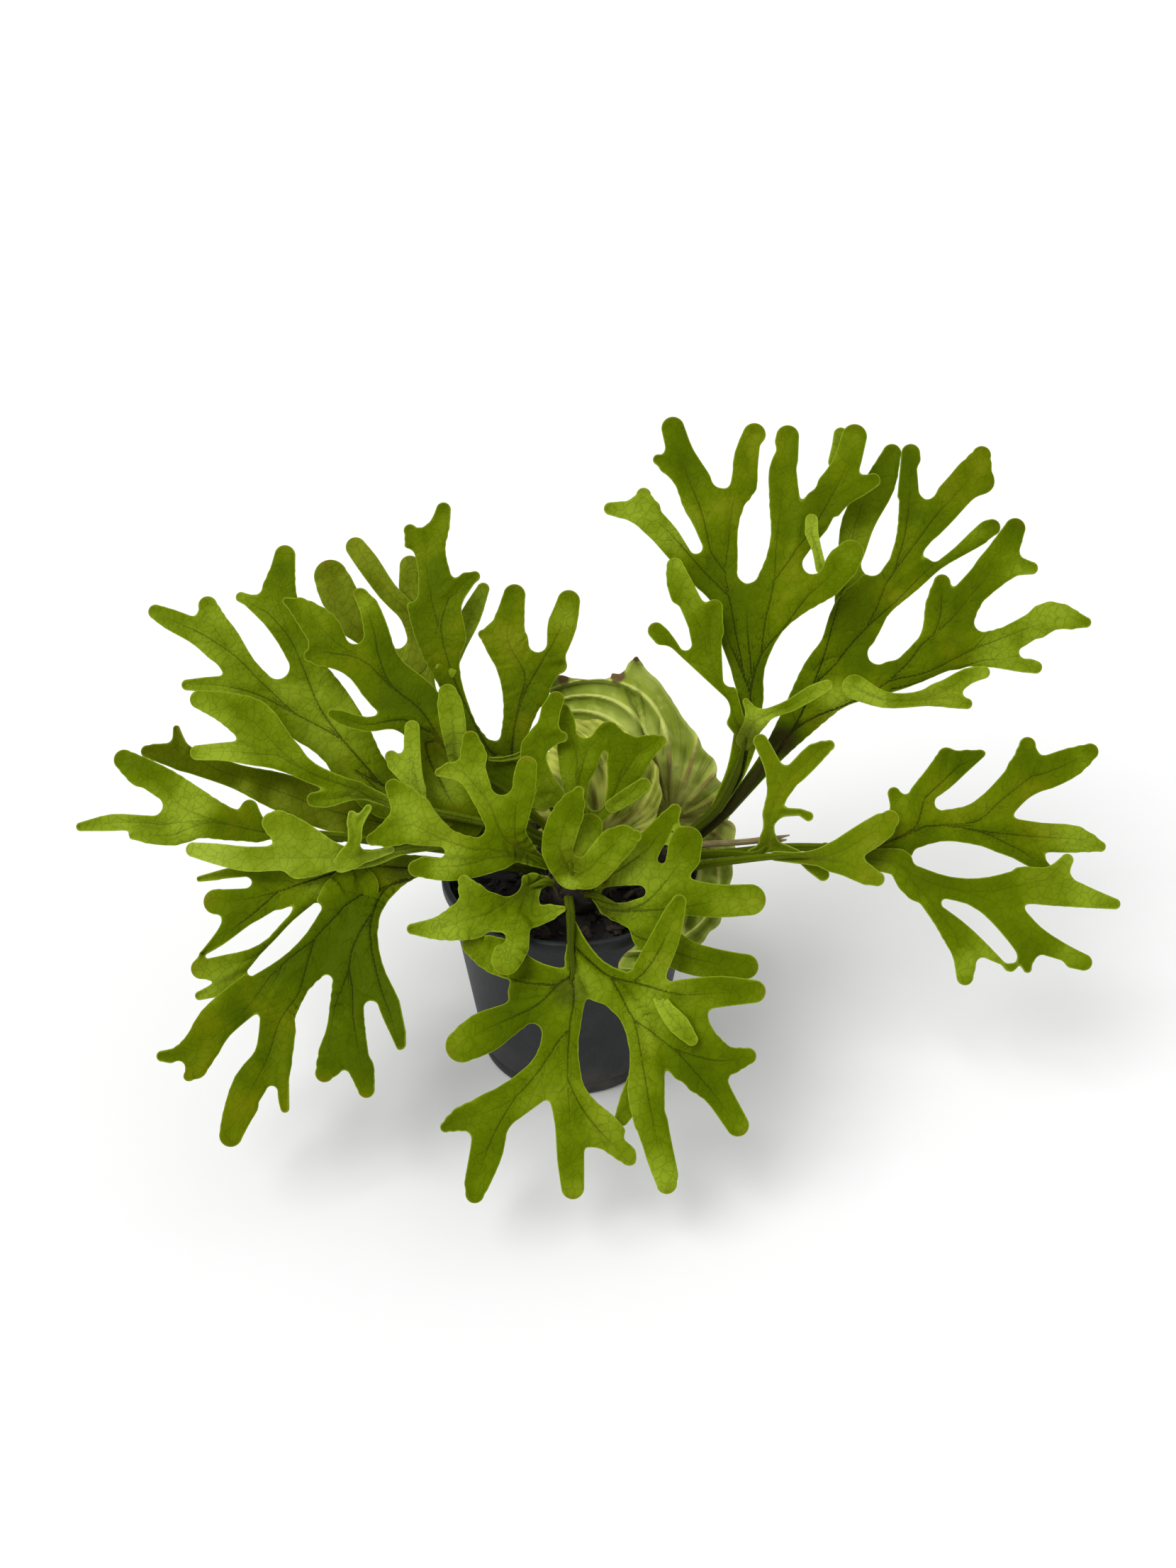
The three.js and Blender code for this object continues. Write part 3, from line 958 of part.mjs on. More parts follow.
function add(name, manifold, colour, roughness) {
  const mesh = new THREE.Mesh(
    unsolid(manifold), new THREE.MeshStandardMaterial({ color: colour, roughness }));
  mesh.name = name;
  plant.add(mesh);
}

const stalkHoles = union([
  ...Object.values(FRONDS).map((frond) => stalk(frond.stalk, CLEARANCE)),
  ...Object.values(SHIELDS).map((shield) => stalk(shield.root, CLEARANCE)),
  stalk(DEAD_STALK, CLEARANCE),
]);

add('pot', pot(), 0x35383a, 0.55);
const seats = union(Object.values(CROWNS).map((one) => crown(one, CLEARANCE)));
add('bark_mix', barkMix().subtract(seats).subtract(stalkHoles), 0x2a211a, 0.95);
for (const [name, one] of Object.entries(CROWNS)) {
  add(name, crown(one).subtract(stalkHoles), 0x3d2c1c, 0.9);
}
for (const [name, frond] of Object.entries(FRONDS)) {
  const blades = frond.layers.map((lobes, n) => blade(lobes, { bays: frond.bays?.[n] }));
  add(name, union([stalk(frond.stalk), ...blades]), frond.colour, 0.5);
}
for (const [name, shield] of Object.entries(SHIELDS)) {
  add(name, stalk(shield.root).add(shieldBlade(shield)), shield.colour, 0.6);
}
add('dead_stalk', stalk(DEAD_STALK), 0x6a4a2c, 0.8);

export default plant;
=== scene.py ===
# %% [markdown]
# # A staghorn fern in its nursery pot
# A staghorn fern has two kinds of leaf. Antler-shaped fronds reach out and fork again and again,
# and round ribbed shields clasp the mix the plant grows in. This lesson dresses a plain model of
# the plant: every frond becomes a thin, veined, slightly wavy sheet in the place where the plain
# one stands. The model's frame comes first, because every piece sits in it and rides on it.

# %% Open the frame
import math

import bpy
import numpy as np
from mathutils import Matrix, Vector


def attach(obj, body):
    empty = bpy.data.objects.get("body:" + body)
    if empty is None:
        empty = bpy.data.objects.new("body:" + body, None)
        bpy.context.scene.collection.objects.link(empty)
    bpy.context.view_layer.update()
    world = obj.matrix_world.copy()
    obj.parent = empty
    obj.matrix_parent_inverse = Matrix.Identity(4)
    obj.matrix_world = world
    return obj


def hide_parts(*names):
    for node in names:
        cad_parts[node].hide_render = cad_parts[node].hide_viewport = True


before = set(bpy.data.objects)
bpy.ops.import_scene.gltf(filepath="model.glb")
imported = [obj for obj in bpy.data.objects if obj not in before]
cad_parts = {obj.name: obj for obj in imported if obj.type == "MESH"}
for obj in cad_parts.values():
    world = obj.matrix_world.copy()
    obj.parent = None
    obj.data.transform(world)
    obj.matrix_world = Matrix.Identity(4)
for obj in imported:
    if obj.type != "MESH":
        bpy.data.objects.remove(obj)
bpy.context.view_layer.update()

MM = 0.001
bpy.ops.object.select_all(action="DESELECT")
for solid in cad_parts.values():
    solid.select_set(False)

# %% [markdown]
# The camera looks down on the plant from its front, 31 degrees above level and 70 cm away. The
# fronds are drawn on a plane that faces this camera through the middle of the pot's rim. A point
# of the plant is x to the right, v up on that plane, and t straight towards the camera, in
# millimetres. One function turns such a point into metres in the frame, so that an outline that
# is right on the plane is right in the picture, whatever its depth.

# %% The camera and the drawing plane
VIEW_TILT = math.radians(31)
EYE_DISTANCE = 700.0
EYE_RIGHT, EYE_UP = 8.3, 39.5
POT_HEIGHT = 105.0
RIGHT = np.array([1.0, 0.0, 0.0])
UP = np.array([0.0, math.sin(VIEW_TILT), math.cos(VIEW_TILT)])
TOWARD = np.array([0.0, -math.cos(VIEW_TILT), math.sin(VIEW_TILT)])
RIM_CENTRE = np.array([0.0, 0.0, POT_HEIGHT])


def place(x, v, t):
    """Points of the drawing plane at depth t, in metres in the frame."""
    x, v, t = (np.asarray(part, float)[..., None] for part in (x, v, t))
    shrink = 1 - t / EYE_DISTANCE
    right = EYE_RIGHT + (x - EYE_RIGHT) * shrink
    up = EYE_UP + (v - EYE_UP) * shrink
    return MM * (RIM_CENTRE + right * RIGHT + up * UP + t * TOWARD)


PICTURE_HEIGHT_PX, FOCAL_PX, SENSOR = 2212, 2060, 36.0
eye = bpy.data.cameras.new("eye")
eye.sensor_fit = "VERTICAL"
eye.sensor_height = SENSOR
eye.lens = SENSOR * FOCAL_PX / PICTURE_HEIGHT_PX
camera = bpy.data.objects.new("eye", eye)
bpy.context.scene.collection.objects.link(camera)
camera.location = place(EYE_RIGHT, EYE_UP, EYE_DISTANCE)
camera.rotation_euler = (math.pi / 2 - VIEW_TILT, 0, 0)
bpy.context.scene.camera = camera
print("camera at", [round(c, 3) for c in camera.location], "lens", round(eye.lens, 2))

# %% [markdown]
# A frond's blade is a thin sheet whose outline forks into round-ended lobes. It could be drawn
# as one long outline, but then nothing would know where the lobes and their veins run. Here each
# lobe is a row of points down its midline with the half width at each, so the same rows give the
# outline, the depth of the surface and the veins. A smooth curve through them fills in the rest.

# %% A smooth line through a few points
ROW_STEP = 5.0


def smooth_line(points, step):
    """Points about a step apart on a Catmull-Rom curve through the given ones."""
    points = np.asarray(points, float)
    ends = np.vstack([2 * points[0] - points[1], points, 2 * points[-1] - points[-2]])
    line = []
    for a, b, c, d in zip(ends, ends[1:], ends[2:], ends[3:]):
        count = max(1, int(round(np.linalg.norm((c - b)[:2]) / step)))
        u = np.arange(count)[:, None] / count
        line.append(0.5 * (2 * b + (c - a) * u + (2 * a - 5 * b + 4 * c - d) * u ** 2
                           + (3 * b - a - 3 * c + d) * u ** 3))
    return np.vstack(line + [points[-1:]])


print("a bend of 3 rows gets", len(smooth_line([(0, 0), (20, 5), (30, 25)], ROW_STEP)), "points")

# %% [markdown]
# The blade is the smooth union of its lobes, less its bays, which are the round gaps between two
# lobes. For any point this gives the distance to the edge, below 0 inside.

# %% How far a point is from the edge of a blade
DEPTH_BLEND = 0.12
FORK_ROUNDING, BAY_ROUNDING = 4.5, 2.0


def on_lobe(lobe, points):
    """For each point: gap to the lobe's edge, depth t there, and share of the half width."""
    rows = np.array(lobe, float)
    start, step = rows[:-1], np.diff(rows, axis=0)
    offset = points[:, None, :] - start[:, :2]
    length2 = (step[:, :2] ** 2).sum(1)
    along = np.clip((offset * step[:, :2]).sum(2) / length2, 0, 1)
    away = np.linalg.norm(offset - step[:, :2] * along[..., None], axis=2)
    width = start[:, 3] + step[:, 3] * along
    depth = start[:, 2] + step[:, 2] * along
    nearest = (away - width).argmin(1)[:, None]
    return [np.take_along_axis(part, nearest, 1)[:, 0] for part in (away - width, depth, away / width)]


def smooth_min(a, b, rounding):
    mix = np.maximum(rounding - np.abs(a - b), 0) / rounding
    return np.minimum(a, b) - mix * mix * rounding * 0.25


def blade_field(lobes, bays, points, rounding):
    """Signed distance to the blade's edge, negative inside; the surface's depth t; and how far
    across its lobe a point is, 0 on the midline and 1 at the edge."""
    edge = np.full(len(points), 1e3)
    weights = depths = sides = 0.0
    for lobe in lobes:
        gap, t, across = on_lobe(lobe, points)
        edge = smooth_min(edge, gap, rounding)
        weight = (across * across + DEPTH_BLEND) ** -3
        weights, depths = weights + weight, depths + weight * t
        sides = sides + weight * np.minimum(across, 1)
    for bay in bays:
        edge = -smooth_min(-edge, on_lobe(bay, points)[0], BAY_ROUNDING)
    return edge, depths / weights, sides / weights


plain_lobe = [(0, 0, 0, 6), (60, 0, 0, 6)]
print("2 mm inside a plain lobe:", blade_field([plain_lobe], [], np.array([[30.0, 4.0]]), FORK_ROUNDING)[0])

# %% [markdown]
# Blender's operators work on what is selected, so a few helpers select by a mask, run them, and
# read or move all corners at once.

# %% Select, edit and move
def select_by(mesh_object, domain, mask):
    """Selects just the marked vertices or faces of the object, for the next operator."""
    mesh = mesh_object.data
    for part, count in (("vertices", len(mesh.vertices)), ("edges", len(mesh.edges)),
                        ("polygons", len(mesh.polygons))):
        marks = mask if part == domain else np.zeros(count, bool)
        getattr(mesh, part).foreach_set("select", np.asarray(marks, bool))
    mesh.update()


def edit(mesh_object, mode, *operators):
    """Runs edit mode operators on what is selected in the object."""
    bpy.context.view_layer.objects.active = mesh_object
    bpy.ops.object.mode_set(mode="EDIT")
    bpy.ops.mesh.select_mode(type=mode)
    for operator, settings in operators:
        operator(**settings)
    bpy.ops.object.mode_set(mode="OBJECT")


def corners(mesh):
    flat = np.empty(3 * len(mesh.vertices))
    mesh.vertices.foreach_get("co", flat)
    return flat.reshape(-1, 3)


def set_corners(mesh, points):
    mesh.vertices.foreach_set("co", np.asarray(points, float).ravel())
    mesh.update()


def rim_of(mesh):
    """The ends of every edge, and which edges have one face only."""
    ends = np.empty(2 * len(mesh.edges), int)
    mesh.edges.foreach_get("vertices", ends)
    users = np.empty(len(mesh.loops), int)
    mesh.loops.foreach_get("edge_index", users)
    return ends.reshape(-1, 2), np.bincount(users, minlength=len(mesh.edges)) == 1


plain_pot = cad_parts["pot"].data
print("the plain pot has", len(corners(plain_pot)), "corners and", rim_of(plain_pot)[1].sum(), "open edges")

# %% [markdown]
# A sheet starts as a flat grid, which keeps its faces square and even. The cells outside the
# outline are deleted, the stepped border that is left is pulled onto the outline, and the rest
# is relaxed, the way cloth evens out when it is pinned to a new hem.

# %% Relax a sheet onto its outline
RIM_EASE, INNER_EASE = 0.35, 0.6
PULLS, FEELER, LEAST_STEEP = 2, 0.2, 0.25


def relax(points, ends, rim, edge_of, rounds, cell):
    """Pulls the rim onto the outline and evens the spacing, rim along rim and inside all round."""
    border = np.zeros(len(points), bool)
    border[ends[rim].ravel()] = True
    links = np.vstack([ends, ends[:, ::-1]])
    rim_links = np.vstack([ends[rim], ends[rim][:, ::-1]])
    keep = ~border[links[:, 0]]
    links = np.vstack([links[keep], rim_links])
    count = np.maximum(np.bincount(links[:, 0], minlength=len(points)), 1)[:, None]
    for turn in range(rounds):
        sums = np.zeros_like(points)
        np.add.at(sums, links[:, 0], points[links[:, 1]])
        share = np.where(border, RIM_EASE if turn < rounds - 1 else 0.0, INNER_EASE)[:, None]
        points = points + share * (sums / count - points)
        for _ in range(PULLS):
            spots = points[border]
            gap = edge_of(spots)
            feelers = [edge_of(spots + step) - gap for step in ((FEELER, 0), (0, FEELER))]
            slope = np.column_stack(feelers) / FEELER
            steep = np.maximum((slope ** 2).sum(1, keepdims=True), LEAST_STEEP)
            points[border] = spots - np.clip(gap[:, None] * slope / steep, -cell, cell)
    return points


print("each round moves an inner corner", INNER_EASE, "of the way to the middle of its neighbours")

# %% [markdown]
# After some rounds each cell is split into four, and a few more set the finer margin. That is
# quicker than relaxing a fine grid from the start.

# %% Cut a flat sheet to its outline
CELL = 1.5
COARSE_ROUNDS, FINE_ROUNDS = 6, 3


def grid_over(name, lobes, cell):
    """A flat grid over all lobes, its lowest corner, and how many cells it has each way."""
    rows = np.vstack([np.array(lobe, float) for lobe in lobes])
    low = (rows[:, :2] - rows[:, 3:]).min(0) - 2 * cell
    high = (rows[:, :2] + rows[:, 3:]).max(0) + 2 * cell
    cells = np.ceil((high - low) / cell).astype(int)
    bpy.ops.mesh.primitive_grid_add(x_subdivisions=cells[0], y_subdivisions=cells[1], size=2)
    sheet = bpy.context.object
    sheet.name = name
    flat = corners(sheet.data)
    flat[:, :2] = low + (flat[:, :2] + 1) / 2 * cells * cell
    set_corners(sheet.data, flat)
    return sheet, low, cells


def cells_outside(sheet, low, cells, cell, edge_of):
    """Which cells lie outside. Two inside that touch only at a corner are joined by a third."""
    middles = np.empty(3 * len(sheet.data.polygons))
    sheet.data.polygons.foreach_get("center", middles)
    middles = middles.reshape(-1, 3)[:, :2]
    column, line = ((middles - low) / cell).astype(int).T
    inside = np.zeros(cells + 2, bool)
    inside[column + 1, line + 1] = edge_of(middles) < 0
    for _ in range(2):
        a, b, c, d = inside[:-1, :-1], inside[1:, 1:], inside[1:, :-1], inside[:-1, 1:]
        c |= a & b & ~c & ~d
        a |= c & d & ~a & ~b
    return ~inside[column + 1, line + 1]


def cut_sheet(name, lobes, bays, rounding, cell=CELL):
    """A flat sheet of quads inside the outline, with its corners on the drawing plane in mm."""
    def edge_of(points):
        return blade_field(lobes, bays, points, rounding)[0]

    sheet, low, cells = grid_over(name, lobes, cell)
    select_by(sheet, "polygons", cells_outside(sheet, low, cells, cell, edge_of))
    edit(sheet, "FACE", (bpy.ops.mesh.delete, {"type": "FACE"}))
    for rounds in (COARSE_ROUNDS, FINE_ROUNDS):
        if rounds == FINE_ROUNDS:
            select_by(sheet, "polygons", np.ones(len(sheet.data.polygons), bool))
            edit(sheet, "FACE", (bpy.ops.mesh.subdivide, {"number_cuts": 1}))
        flat = corners(sheet.data)
        flat[:, :2] = relax(flat[:, :2], *rim_of(sheet.data), edge_of, rounds, cell)
        set_corners(sheet.data, flat)
    return sheet


print("faces of a sheet are", CELL, "mm wide at first and", CELL / 2, "mm after the split")


# %% [markdown]
# Here are the rows of every frond, in millimetres. A row of a stalk is x, v, t and the radius. A
# row of a lobe is x, v, t and the half width, and a row of a bay is x, v and the half width. A
# frond has a layer for each sheet that lies over another of its own.

# %% The rows of the fronds in the middle
FRONDS = {
  "frond_front": {
    "stalk": [[-1,-15,41,2.3], [0,-25,51,2.1], [0,-38,60,1.5], [1,-50,67,1], [-1,-60,71,0.6]],
    "bays": [[
      [[13,-72.5,7], [15,-80,9.8], [16,-90,12], [16.7,-100,11], [17.5,-108,7], [20,-116,1.8]],
      [[29,-129.5,3.4], [33,-135,1.6], [34,-141,2.2], [37,-152,3.5]],
      [[-18.5,-79.5,4.3], [-24,-87,6.8], [-33,-95.5,7]], [[50.5,-107.5,4.8], [52,-115,7]],
    ]],
    "layers": [[
      [[0,-38,60,1.8], [1,-50,67,3], [-2,-58,71,8], [-4,-70,76,10], [-5,-82,80,9], [-6,-95,84,11]],
      [[-3,-55,69,4], [-20,-50,64,6], [-35,-43,58,9], [-47,-38,51,5]],
      [[-3,-62,73,8], [-25,-73,74,9], [-42,-80,73,10], [-52,-86,72,8]],
      [[-8,-97,85,9], [-25,-110,86,9], [-38,-118,86,9], [-52,-121,85,6], [-60,-125,84,2.5]],
      [[-38,-118,86,8], [-40,-135,88,8], [-45,-152,89,6], [-46,-157,89,4.5]],
      [[-4,-100,85,9], [-1,-120,88,7], [0,-140,90,6.5], [1,-154,90,5.5]],
      [[2,-108,86,5], [12,-122,88,8], [22,-132,89,7], [28,-139,89,4.5]],
      [[0,-26,51,1.8], [6,-38,59,2.5], [14,-48,64,3], [24,-54,67,4], [35,-62,70,10], [48,-75,75,18]],
      [[38,-50,67,8], [45,-35,65,7], [50,-22,64,5], [52,-17,64,3.5]],
      [[55,-62,72,8], [72,-60,73,7.5], [88,-60,72,5.5]], [[55,-85,77,14], [72,-93,79,8], [85,-91,79,4]],
      [[60,-95,79,12], [70,-108,81,7], [80,-124,82,5.5]],
      [[36,-85,77,8], [36,-105,82,9], [39,-125,86,8], [45,-148,88,6.5], [46,-152,88,5]],
      [[22,-60,70.5,7], [29,-70,73,6.5], [35,-82,76,7]],
      [[1,-44,63.5,3], [6,-52,67,5], [13,-58,69,6.5], [20,-62,70.5,7]], [[-10,-58,69,8], [-24,-60,68,6]],
      [[3,-118,87.5,8], [10,-127,88.5,7]],
    ], [
      [[42,-62,71,3], [46,-69,77,4], [52,-76,81,5], [58,-83,82,3]],
    ], [
      [[36,-98,79,7], [29,-112,82,5.5], [24.5,-121,83,3.5]],
    ]],
  },
  "frond_front_right": {
    "stalk": [[7,-13,39,2], [12,-14,41.5,1.8], [22,-18,45,1.2]],
    "bays": [[
      [[18,-13.5,3.6], [26,-13.3,4], [33,-12.3,2.8]],
      [[43.6,3.4,2], [45,8,1.5], [46.8,12,0.6], [50,19.5,0.5]],
    ]],
    "layers": [[
      [[13,-13,41.7,2], [18,-6,43,5], [28,0,45,10], [38,8,46,9], [47,22,47,5], [50,27,47,3]],
      [[42,-6,46,9], [54,5,47,8.3], [56,12,47,7.3]], [[50,-14,48,9], [70,-16.5,52,8], [86,-16,54,7.5]],
      [[13,-15,41.7,2.4], [17,-20,43.5,3.5], [28,-22,47.5,7], [40,-22,50,10]],
      [[38,-32,52,9], [55,-43,54,8], [72,-47,55,7], [84,-48,56,6]],
    ]],
  },
  "frond_centre": {
    "stalk": [[1,-6,42,2.2], [1,-4,47,2], [0,2,50.5,1.4]],
    "bays": [[
      [[4.5,8,3.4], [9,17,5]],
    ]],
    "layers": [[
      [[1,-6,46,3.5], [0,-2,49,8], [-5,8,53,9], [-3,20,56,8.5], [1,30,57,6], [4,36,57,2.5]],
      [[2,-3,49,7], [8,-2,51,9], [17,7,54,9], [25,13,56,7], [31,14.5,57,3]],
    ], [
      [[4,2,50,5], [8,12,49,6], [9,19,48.5,6.5]],
    ]],
  },
  "frond_front_left": {
    "stalk": [[-8,-8,38,2], [-13,-7.5,42.5,1.8], [-20,-10,46,1.2]],
    "bays": [[
      [[-31,-7,7.5], [-36,-6,6.5]], [[-38,-35,3.5], [-34,-34.5,3]],
    ]],
    "layers": [[
      [[-12,-7,42,2.4], [-18,-8,45,5], [-24,-14,48,8], [-30,-20,51,8]],
      [[-42,-19,54,9], [-49,-11,55,5], [-51,-7,55,3]],
      [[-36,-22,53,9], [-48,-25,56,10], [-62,-29.5,58,6], [-76,-30,58,2.5]],
      [[-28,-28,56,8], [-28,-38,67,8], [-31,-45,74,7]],
      [[-22,-19,49,6], [-17,-24,50.5,5], [-10,-22,51.5,4], [-4,-20.5,52,1.5]],
    ]],
  },
  "frond_centre_left": {
    "stalk": [[-9,0,37,2], [-13,2,40.5,1.9], [-22,7,45,1.2]],
    "bays": [[
      [[-33,39.5,5.3], [-34,48,6.8]], [[-45.5,18.5,4.6], [-52,24,8], [-58,32,9]],
      [[-63,6.8,2.7], [-70,7.5,2.4], [-78,7.5,2.4]],
    ]],
    "layers": [[
      [[-12,1,40,2.5], [-18,4,43,4], [-25,9,46,7], [-32,14,49,10], [-38,28,50,9], [-44,42,50,8],
       [-47,55,49,6], [-48,61,48,4]],
      [[-46,44,50,6], [-58,46,48,4], [-63,45,47,2]], [[-28,24,51,8], [-24,36,52,7], [-21,48,51,5]],
      [[-36,10,50,9], [-45,8,51,8], [-60,13,52,9], [-72,22,53,10], [-80,32,53,7], [-85,38,52,4]],
      [[-70,19,53,9], [-78,20,52,9], [-88,15,50,6], [-95,13,49,3]],
      [[-36,6,50,8], [-45,2,49.5,7], [-58,0,48.5,7], [-68,0,47.5,6], [-74,-1,47,4]],
    ]],
  },
  "frond_back_centre": {
    "stalk": [[8,9,32,2], [8.5,16,31.5,1.9], [8,28,30,1.2]],
    "bays": [[
      [[12,31,4.3], [13.3,39,4.2], [15.5,47,2]], [[7,66,4.5], [8,74,6]],
    ]],
    "layers": [[
      [[8,14,31.5,2.2], [8,22,31,5], [3,40,29,7], [3,52,28,9], [-1,65,26.5,6], [-3.5,75,25,3]],
      [[5,50,28,7], [10,58,27,6], [17,64,26,4]],
      [[9,22,31,5], [20,33,29,5], [24,45,28,8], [27,52,27,9], [21,62,26,5], [19,65,26,4]],
      [[28,50,27,8], [36,57,26,6], [43,60,25,3]],
    ], [
      [[20,29,30,3.5], [28,34,32.5,4], [35,39,33,3.5]],
    ], [
      [[2,26,30.5,4], [-5,31,32.5,4.2], [-12,40,34,5], [-17,49,34,5.8], [-17.5,57,33.5,6.5],
       [-11.5,66,33,5], [-9.5,75,31,4.7], [-7,80,30,4]],
      [[-12,62,33,5], [-4,62,33,2.6]], [[-10,35,33,3.5], [-16.3,31,34,3.4], [-13,28.5,35,2]],
    ]],
  },
  "frond_back_tall": {
    "stalk": [[3,11,27,2.1], [-8,28,22,2.1], [-20,42,16,2], [-27,52,11.5,1.2]],
    "bays": [[
      [[-37.5,64.3,3.8], [-39.3,72,7], [-41.3,82,8.7], [-44,92,8.8], [-46.8,100,6.2], [-46.5,108,2.7]],
      [[-15.8,107,4.4], [-16,116,4.8]], [[-77.5,131,4.5], [-78,140,5], [-79,148,4.5]],
    ]],
    "layers": [[
      [[-18,40,17,2.4], [-24,46,14,4.5], [-28,52,11,6], [-27,65,8,7], [-24,80,5,10], [-22,92,2,14],
       [-30,108,-2,9.5], [-28.5,122,-5,6.5], [-27,130,-6,5.3]],
      [[-15,98,1,9], [-10,104,0,8], [-4,116,-2,7], [-1,127,-3,5.5]],
      [[-33,106,-2,7], [-38,110,-3,5], [-42,111,-3,2.5]], [[-13,96,1,5], [-5,96,0,3]],
      [[-24,46,14,4.5], [-33,51,11,5], [-40,57,8,5], [-48,72,3,6], [-56,90,-2,8], [-62,110,-6,12],
       [-67,130,-10,12], [-69,150,-14,9], [-63,163,-17,5], [-61,171,-18,3.5]],
      [[-71,150,-14,8], [-77,161,-16,3]],
      [[-63,126,-9,8], [-56,130,-10,5], [-50,137,-11,4], [-46,139,-12,2.5]],
    ], [
      [[-60,94,-2.6,5], [-58,99,-5,5], [-54,107,-11,4.5], [-48,120,-20,5], [-42,133,-23,3]],
    ], [
      [[-20,36,17,5], [-27,41,15,8], [-34,45,13.5,8], [-40,49,12,4]],
    ], [
      [[-41,51.6,17,0.6], [-33,51.2,18,1], [-26,52.6,18,1.3], [-22,55,17,1]],
    ]],
  },
  "frond_back_olive": {
    "stalk": [[-5,4.5,14.5,2], [-18,16,8,2], [-35,34,2,2], [-60,60,-6,1.4]],
    "bays": [[
      [[-83,108.5,4.2], [-86,117,3.5]],
    ]],
    "layers": [[
      [[-45,44,-1,2.4], [-60,60,-7,5], [-72,80,-14,9], [-80,97,-18,8], [-92,108,-22,5.5], [-104,115,-24,6],
       [-111,130,-26,9], [-115,139,-28,8]],
      [[-74,92,-16,8], [-73,106,-19,5.5], [-77,120,-21,4.8], [-88,132,-22,4.8], [-97,145,-22,5.3],
       [-103,153,-22,4.8]],
    ], [
      [[-75,98,-17,6], [-72,115,-22,4.5], [-77,130,-26,5], [-77,144,-27,5]],
    ]],
  },
}
print("fronds:", len(FRONDS))

# %% [markdown]
# On the left the fronds spread in a half circle, some over others.

